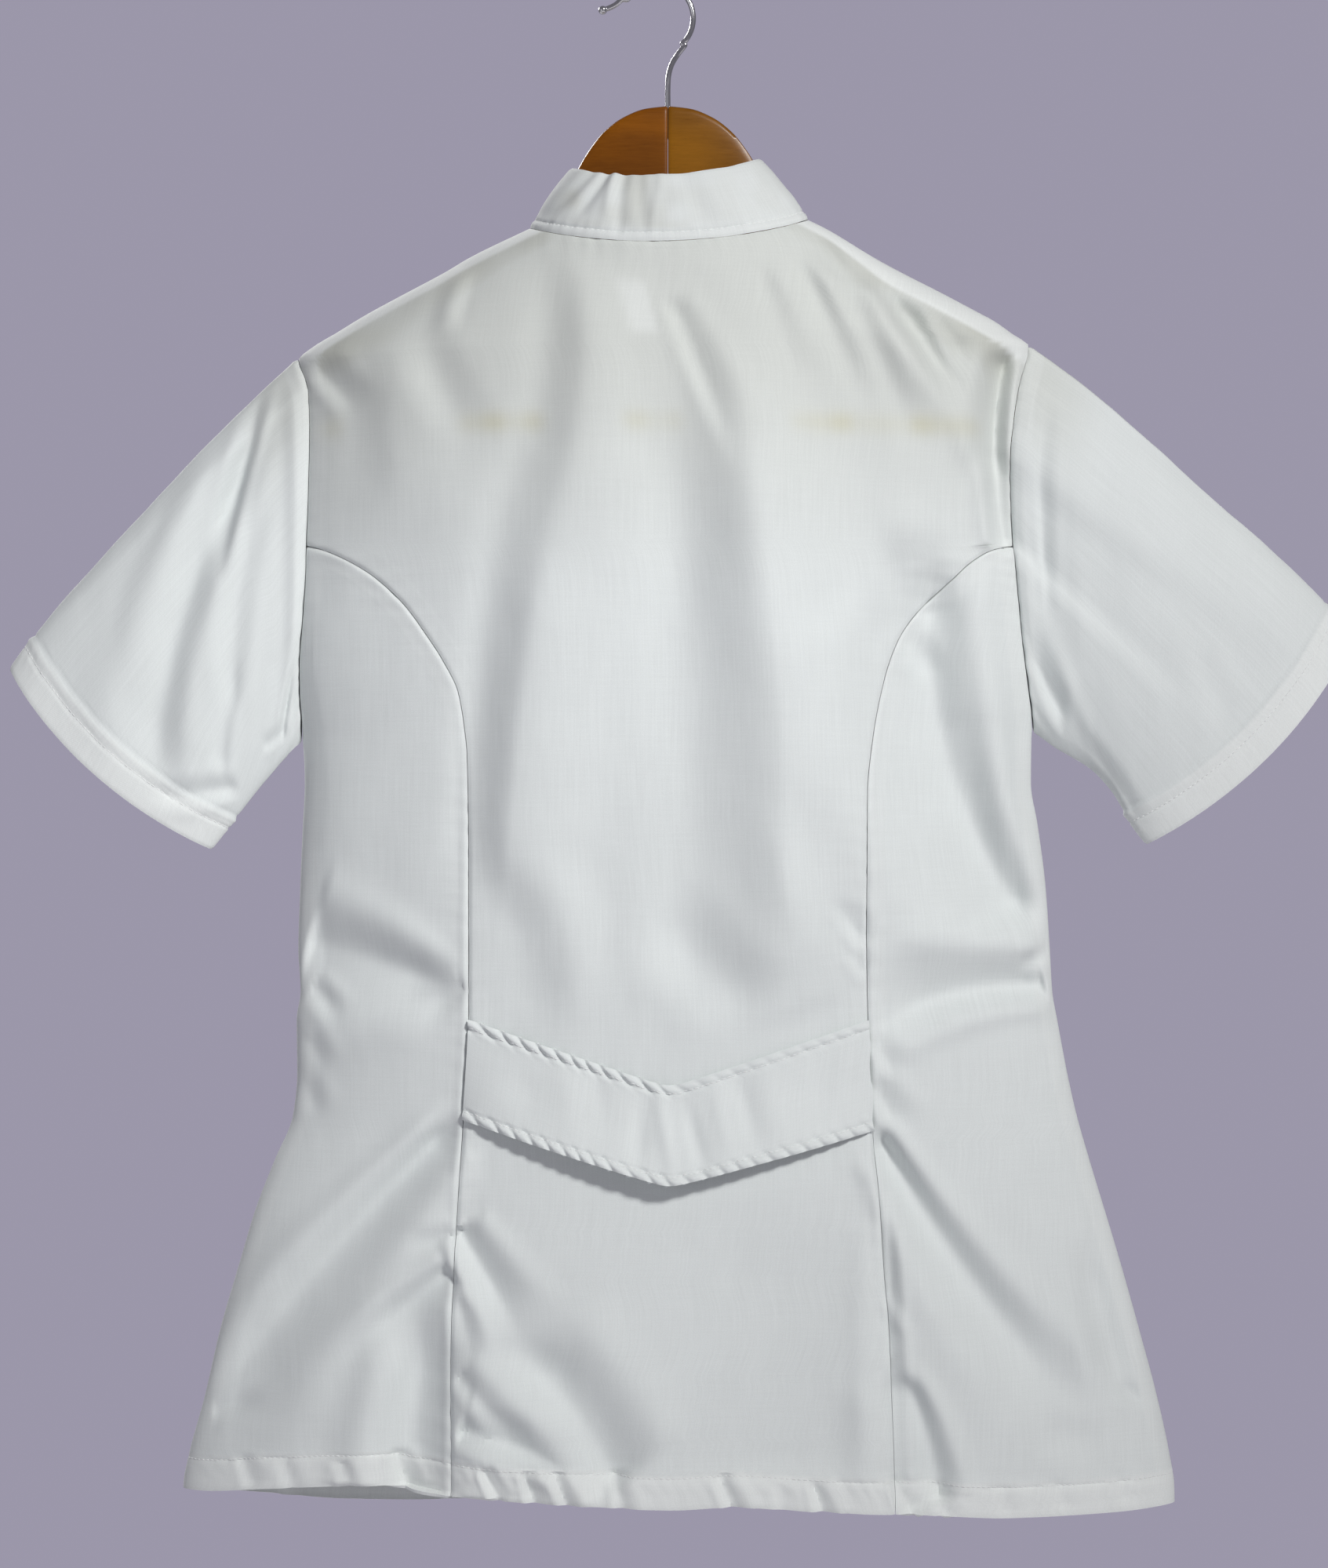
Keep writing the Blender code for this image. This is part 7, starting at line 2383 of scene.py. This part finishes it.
@dataclass(frozen=True)
class Hook:
    """Plated wire hook with a small ball at its tip."""

    finish: bpy.types.Material
    wire: float = 1.45
    ball: float = 2.35
    arc_radius: float = 19.5
    arc_drop: float = 18.05
    arc_turn: tuple[float, float] = (148.0, -46.0)
    sides: int = 20
    steps: int = 10

    def build(self) -> bpy.types.Object:
        """Sweep the wire along its path, the ball as rings at its start."""
        turn = np.radians(np.linspace(*self.arc_turn, 25))
        arc = np.stack([self.arc_radius * np.cos(turn),
                        self.arc_drop - self.arc_radius * np.sin(turn)], axis=-1)
        path = flowing(np.concatenate([HOOK_ENTRY, arc, HOOK_EXIT]), self.steps)
        path = np.stack([path[:, 0], 0 * path[:, 0], -path[:, 1]], axis=-1)
        start = unit(path[0] - path[1])
        angle = np.radians(np.linspace(8.0, 140.0, 14))
        ball = path[0] + start * (self.ball * np.cos(angle))[:, None]
        keep = run_length(path) > 2.2
        rings = np.concatenate([ball, path[keep]])
        radius = np.concatenate([self.ball * np.sin(angle),
                                 np.full(keep.sum(), self.wire)])
        hook = loft("hook_wire", tube_rings(rings, radius, self.sides), self.finish)
        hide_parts("hook")
        return hook


# ------------------------------------------------------------------- studio
@dataclass(frozen=True)
class Studio:
    """Camera, floor and soft light.  Lengths in metres."""

    camera_at: tuple[float, float, float] = (0.0035, -1.986, -0.4368)
    lens: float = 83.37
    sensor: float = 36.0
    floor_z: float = -1.45
    key_from: tuple[float, float, float] = (0.44, -0.74, 0.50)
    key_distance: float = 4.2
    key_size: float = 0.7
    key_power: float = 96.0
    fill_power: float = 5.0
    front_power: float = 62.0
    wash_power: float = 430.0
    wash_at: tuple[float, float, float] = (-0.10, 0.0, -0.36)
    world: tuple[float, float, float] = (0.85, 0.82, 0.95)
    world_strength: float = 0.19
    backdrop: tuple[float, float, float] = (0.33, 0.31, 0.40)

    def camera(self) -> None:
        """Aim the camera straight at the back."""
        data = bpy.data.cameras.new("camera")
        data.lens, data.sensor_width = self.lens, self.sensor
        camera = bpy.data.objects.new("camera", data)
        camera.location = self.camera_at
        camera.rotation_euler = (math.pi / 2, 0.0, 0.0)
        bpy.context.scene.collection.objects.link(camera)
        bpy.context.scene.camera = camera

    def lamp(self, name: str, toward: Array, distance: float, size: float,
             power: float, colour: tuple[float, float, float]) -> None:
        """Area light that looks at the middle of the jacket."""
        data = bpy.data.lights.new(name, "AREA")
        data.shape, data.size, data.energy, data.color = "DISK", size, power, colour
        lamp = bpy.data.objects.new(name, data)
        toward = unit(np.array(toward))
        lamp.location = toward * distance + np.array([0.0, 0.0, -0.45])
        cam = -toward
        yaw = math.atan2(cam[1], cam[0]) - math.pi / 2
        lamp.rotation_euler = (math.acos(-cam[2]), 0.0, yaw)
        lamp.visible_camera = False
        bpy.context.scene.collection.objects.link(lamp)

    def wash(self) -> None:
        """Soft spot beside the key that evens out the far side."""
        data = bpy.data.lights.new("wash", "SPOT")
        data.energy, data.spot_size, data.spot_blend = self.wash_power, 0.18, 1.0
        data.shadow_soft_size = self.key_size / 2
        lamp = bpy.data.objects.new("wash", data)
        toward = unit(np.array(self.key_from))
        aim = np.array(self.wash_at)
        lamp.location = aim + toward * self.key_distance
        lamp.rotation_euler = (math.acos(toward[2]), 0.0,
                               math.atan2(-toward[1], -toward[0]) - math.pi / 2)
        bpy.context.scene.collection.objects.link(lamp)

    def floor(self) -> None:
        """Pale plain floor below the jacket."""
        bench = Finish("floor_paint", "")
        material, _, shader = bench.start()
        shader.inputs["Base Color"].default_value = (0.72, 0.71, 0.75, 1.0)
        shader.inputs["Roughness"].default_value = 0.7
        mesh = bpy.data.meshes.new("floor")
        mesh.from_pydata([(-3, -4, self.floor_z), (3, -4, self.floor_z),
                          (3, 2.4, self.floor_z), (-3, 2.4, self.floor_z)], [],
                         [(0, 1, 2, 3)])
        mesh.materials.append(material)
        floor = bpy.data.objects.new("floor", mesh)
        bpy.context.scene.collection.objects.link(floor)

    def build(self) -> None:
        """Set up everything around the jacket."""
        self.camera()
        self.floor()
        self.lamp("key", self.key_from, self.key_distance, self.key_size,
                  self.key_power, (1.0, 0.985, 0.96))
        self.lamp("fill", (-0.8, -0.9, 0.1), 2.8, 1.6, self.fill_power,
                  (0.95, 0.96, 1.0))
        self.wash()
        self.lamp("front", (-0.5, 0.85, 0.5), 3.4, 1.2, self.front_power,
                  (1.0, 0.985, 0.96))
        world = bpy.data.worlds.new("studio")
        world.use_nodes = True
        bench = NodeBench(world.node_tree)
        sky = world.node_tree.nodes["Background"]
        seen = bench.add("LightPath").outputs["Is Camera Ray"]
        ambient = tuple(c * self.world_strength for c in self.world)
        colour = bench.mix(seen, (*ambient, 1.0), (*self.backdrop, 1.0))
        world.node_tree.links.new(colour, sky.inputs["Color"])
        bpy.context.scene.world = world
        bpy.context.scene.view_settings.view_transform = "Standard"


# ------------------------------------------------------------------ garment
@dataclass(frozen=True)
class SheetFact:
    """Cut of one piece: flat box in metres, and its area."""

    flat: tuple[float, float]
    area: float
    held: Held = Held.HUNG


@dataclass
class Jacket:
    """The whole garment: every cloth piece, its thread and its buttons."""

    shop: Workshop
    finishes: Finishes
    button_drops: tuple[float, ...] = (232.0, 330.0, 428.0, 526.0, 624.0)

    def dress(self, node: str, piece: bpy.types.Object) -> None:
        """Hide a cloth piece's CAD node and log the piece's face count."""
        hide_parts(node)
        LOG.info("%s: %d faces", piece.name, len(piece.data.polygons))

    def thread(self, name: str, paths: list[SeamPath]) -> None:
        """Sew a piece's stitch lines."""
        piece = Stitches(self.finishes.thread).sew(f"{name}_stitches", paths)
        LOG.info("%s: %d faces", piece.name, len(piece.data.polygons))

    def hem_paths(self, face: Face, shell: Shell) -> list[SeamPath]:
        """Stitch line of a body panel's hem."""
        x, drop = shell.outer[..., 0], -shell.outer[..., 2]
        above = self.shop.lines.hem(face, x, drop)
        level = self.shop.seams.hem - self.shop.seams.stitch_below
        return [shell.line_at(above, level)]

    def build(self) -> None:
        """Make every piece."""
        shop = self.shop
        panels = [("back_centre", Face.BACK, BackCentre(shop).shell())]
        panels += [(f"back_side_{side.name.lower()}", Face.BACK,
                    BackSide(shop, side).shell()) for side in Side]
        fronts = [Front(shop, side) for side in Side]
        panels += [(f"front_{front.name}", Face.FRONT, front.shell())
                   for front in fronts]
        for node, face, shell in panels:
            self.dress(node, shell.build(f"{node}_cloth", shop.cloth))
            paths = self.hem_paths(face, shell)
            if face is Face.FRONT:
                front = fronts[node == "front_right"]
                paths += front.facing_path(shell)
            self.thread(node, paths)
        for sleeve in (Sleeve(shop, side, CUFFS[side]) for side in Side):
            shell, above = sleeve.shell()
            node = f"sleeve_{sleeve.name}"
            self.dress(node, shell.build(f"{node}_cloth", shop.cloth))
            self.thread(node, [shell.line_at(above, sleeve.stitch)])
        collar = Collar(shop)
        shell = collar.shell()
        self.dress("collar", shell.build("collar_cloth", shop.cloth))
        self.thread("collar", collar.stitch_paths(shell))
        belt = HalfBelt(shop)
        shell = belt.shell()
        self.dress("back_belt", shell.build("half_belt_cloth", shop.cloth))
        self.thread("half_belt", belt.stitch_paths(shell))
        for number, drop in enumerate(self.button_drops, start=1):
            Button(shop.form, self.finishes, number, drop).build()
            LOG.info("button %d", number)


@dataclass(frozen=True)
class Hanger:
    """Wooden hanger in two halves, with its bar and hook."""

    finishes: Finishes

    def build(self) -> None:
        """Make every piece of the hanger."""
        # the left arm takes the darker amber wood, which carries painted shade
        for side, wood in ((Side.LEFT, self.finishes.amber),
                           (Side.RIGHT, self.finishes.honey)):
            HangerArm(side, wood).build()
            LOG.info("hanger arm %s", side.name.lower())
        TrouserBar(self.finishes.honey).build()
        Hook(self.finishes.chrome).build()
        LOG.info("trouser bar and hook")


def main() -> None:
    """Build the dressed part on the CAD frame."""
    logging.basicConfig(level=logging.INFO, format="%(name)s: %(message)s")
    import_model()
    Studio().build()
    finishes, form = Finishes.make(), BodyForm()
    shop = Workshop(form, SeamLines(form), SeamWork(), ShowThrough(form),
                    finishes.cloth)
    Jacket(shop, finishes).build()
    Hanger(finishes).build()
    bpy.context.view_layer.update()
    LOG.info("sizes written")


if __name__ == "__main__":
    main()
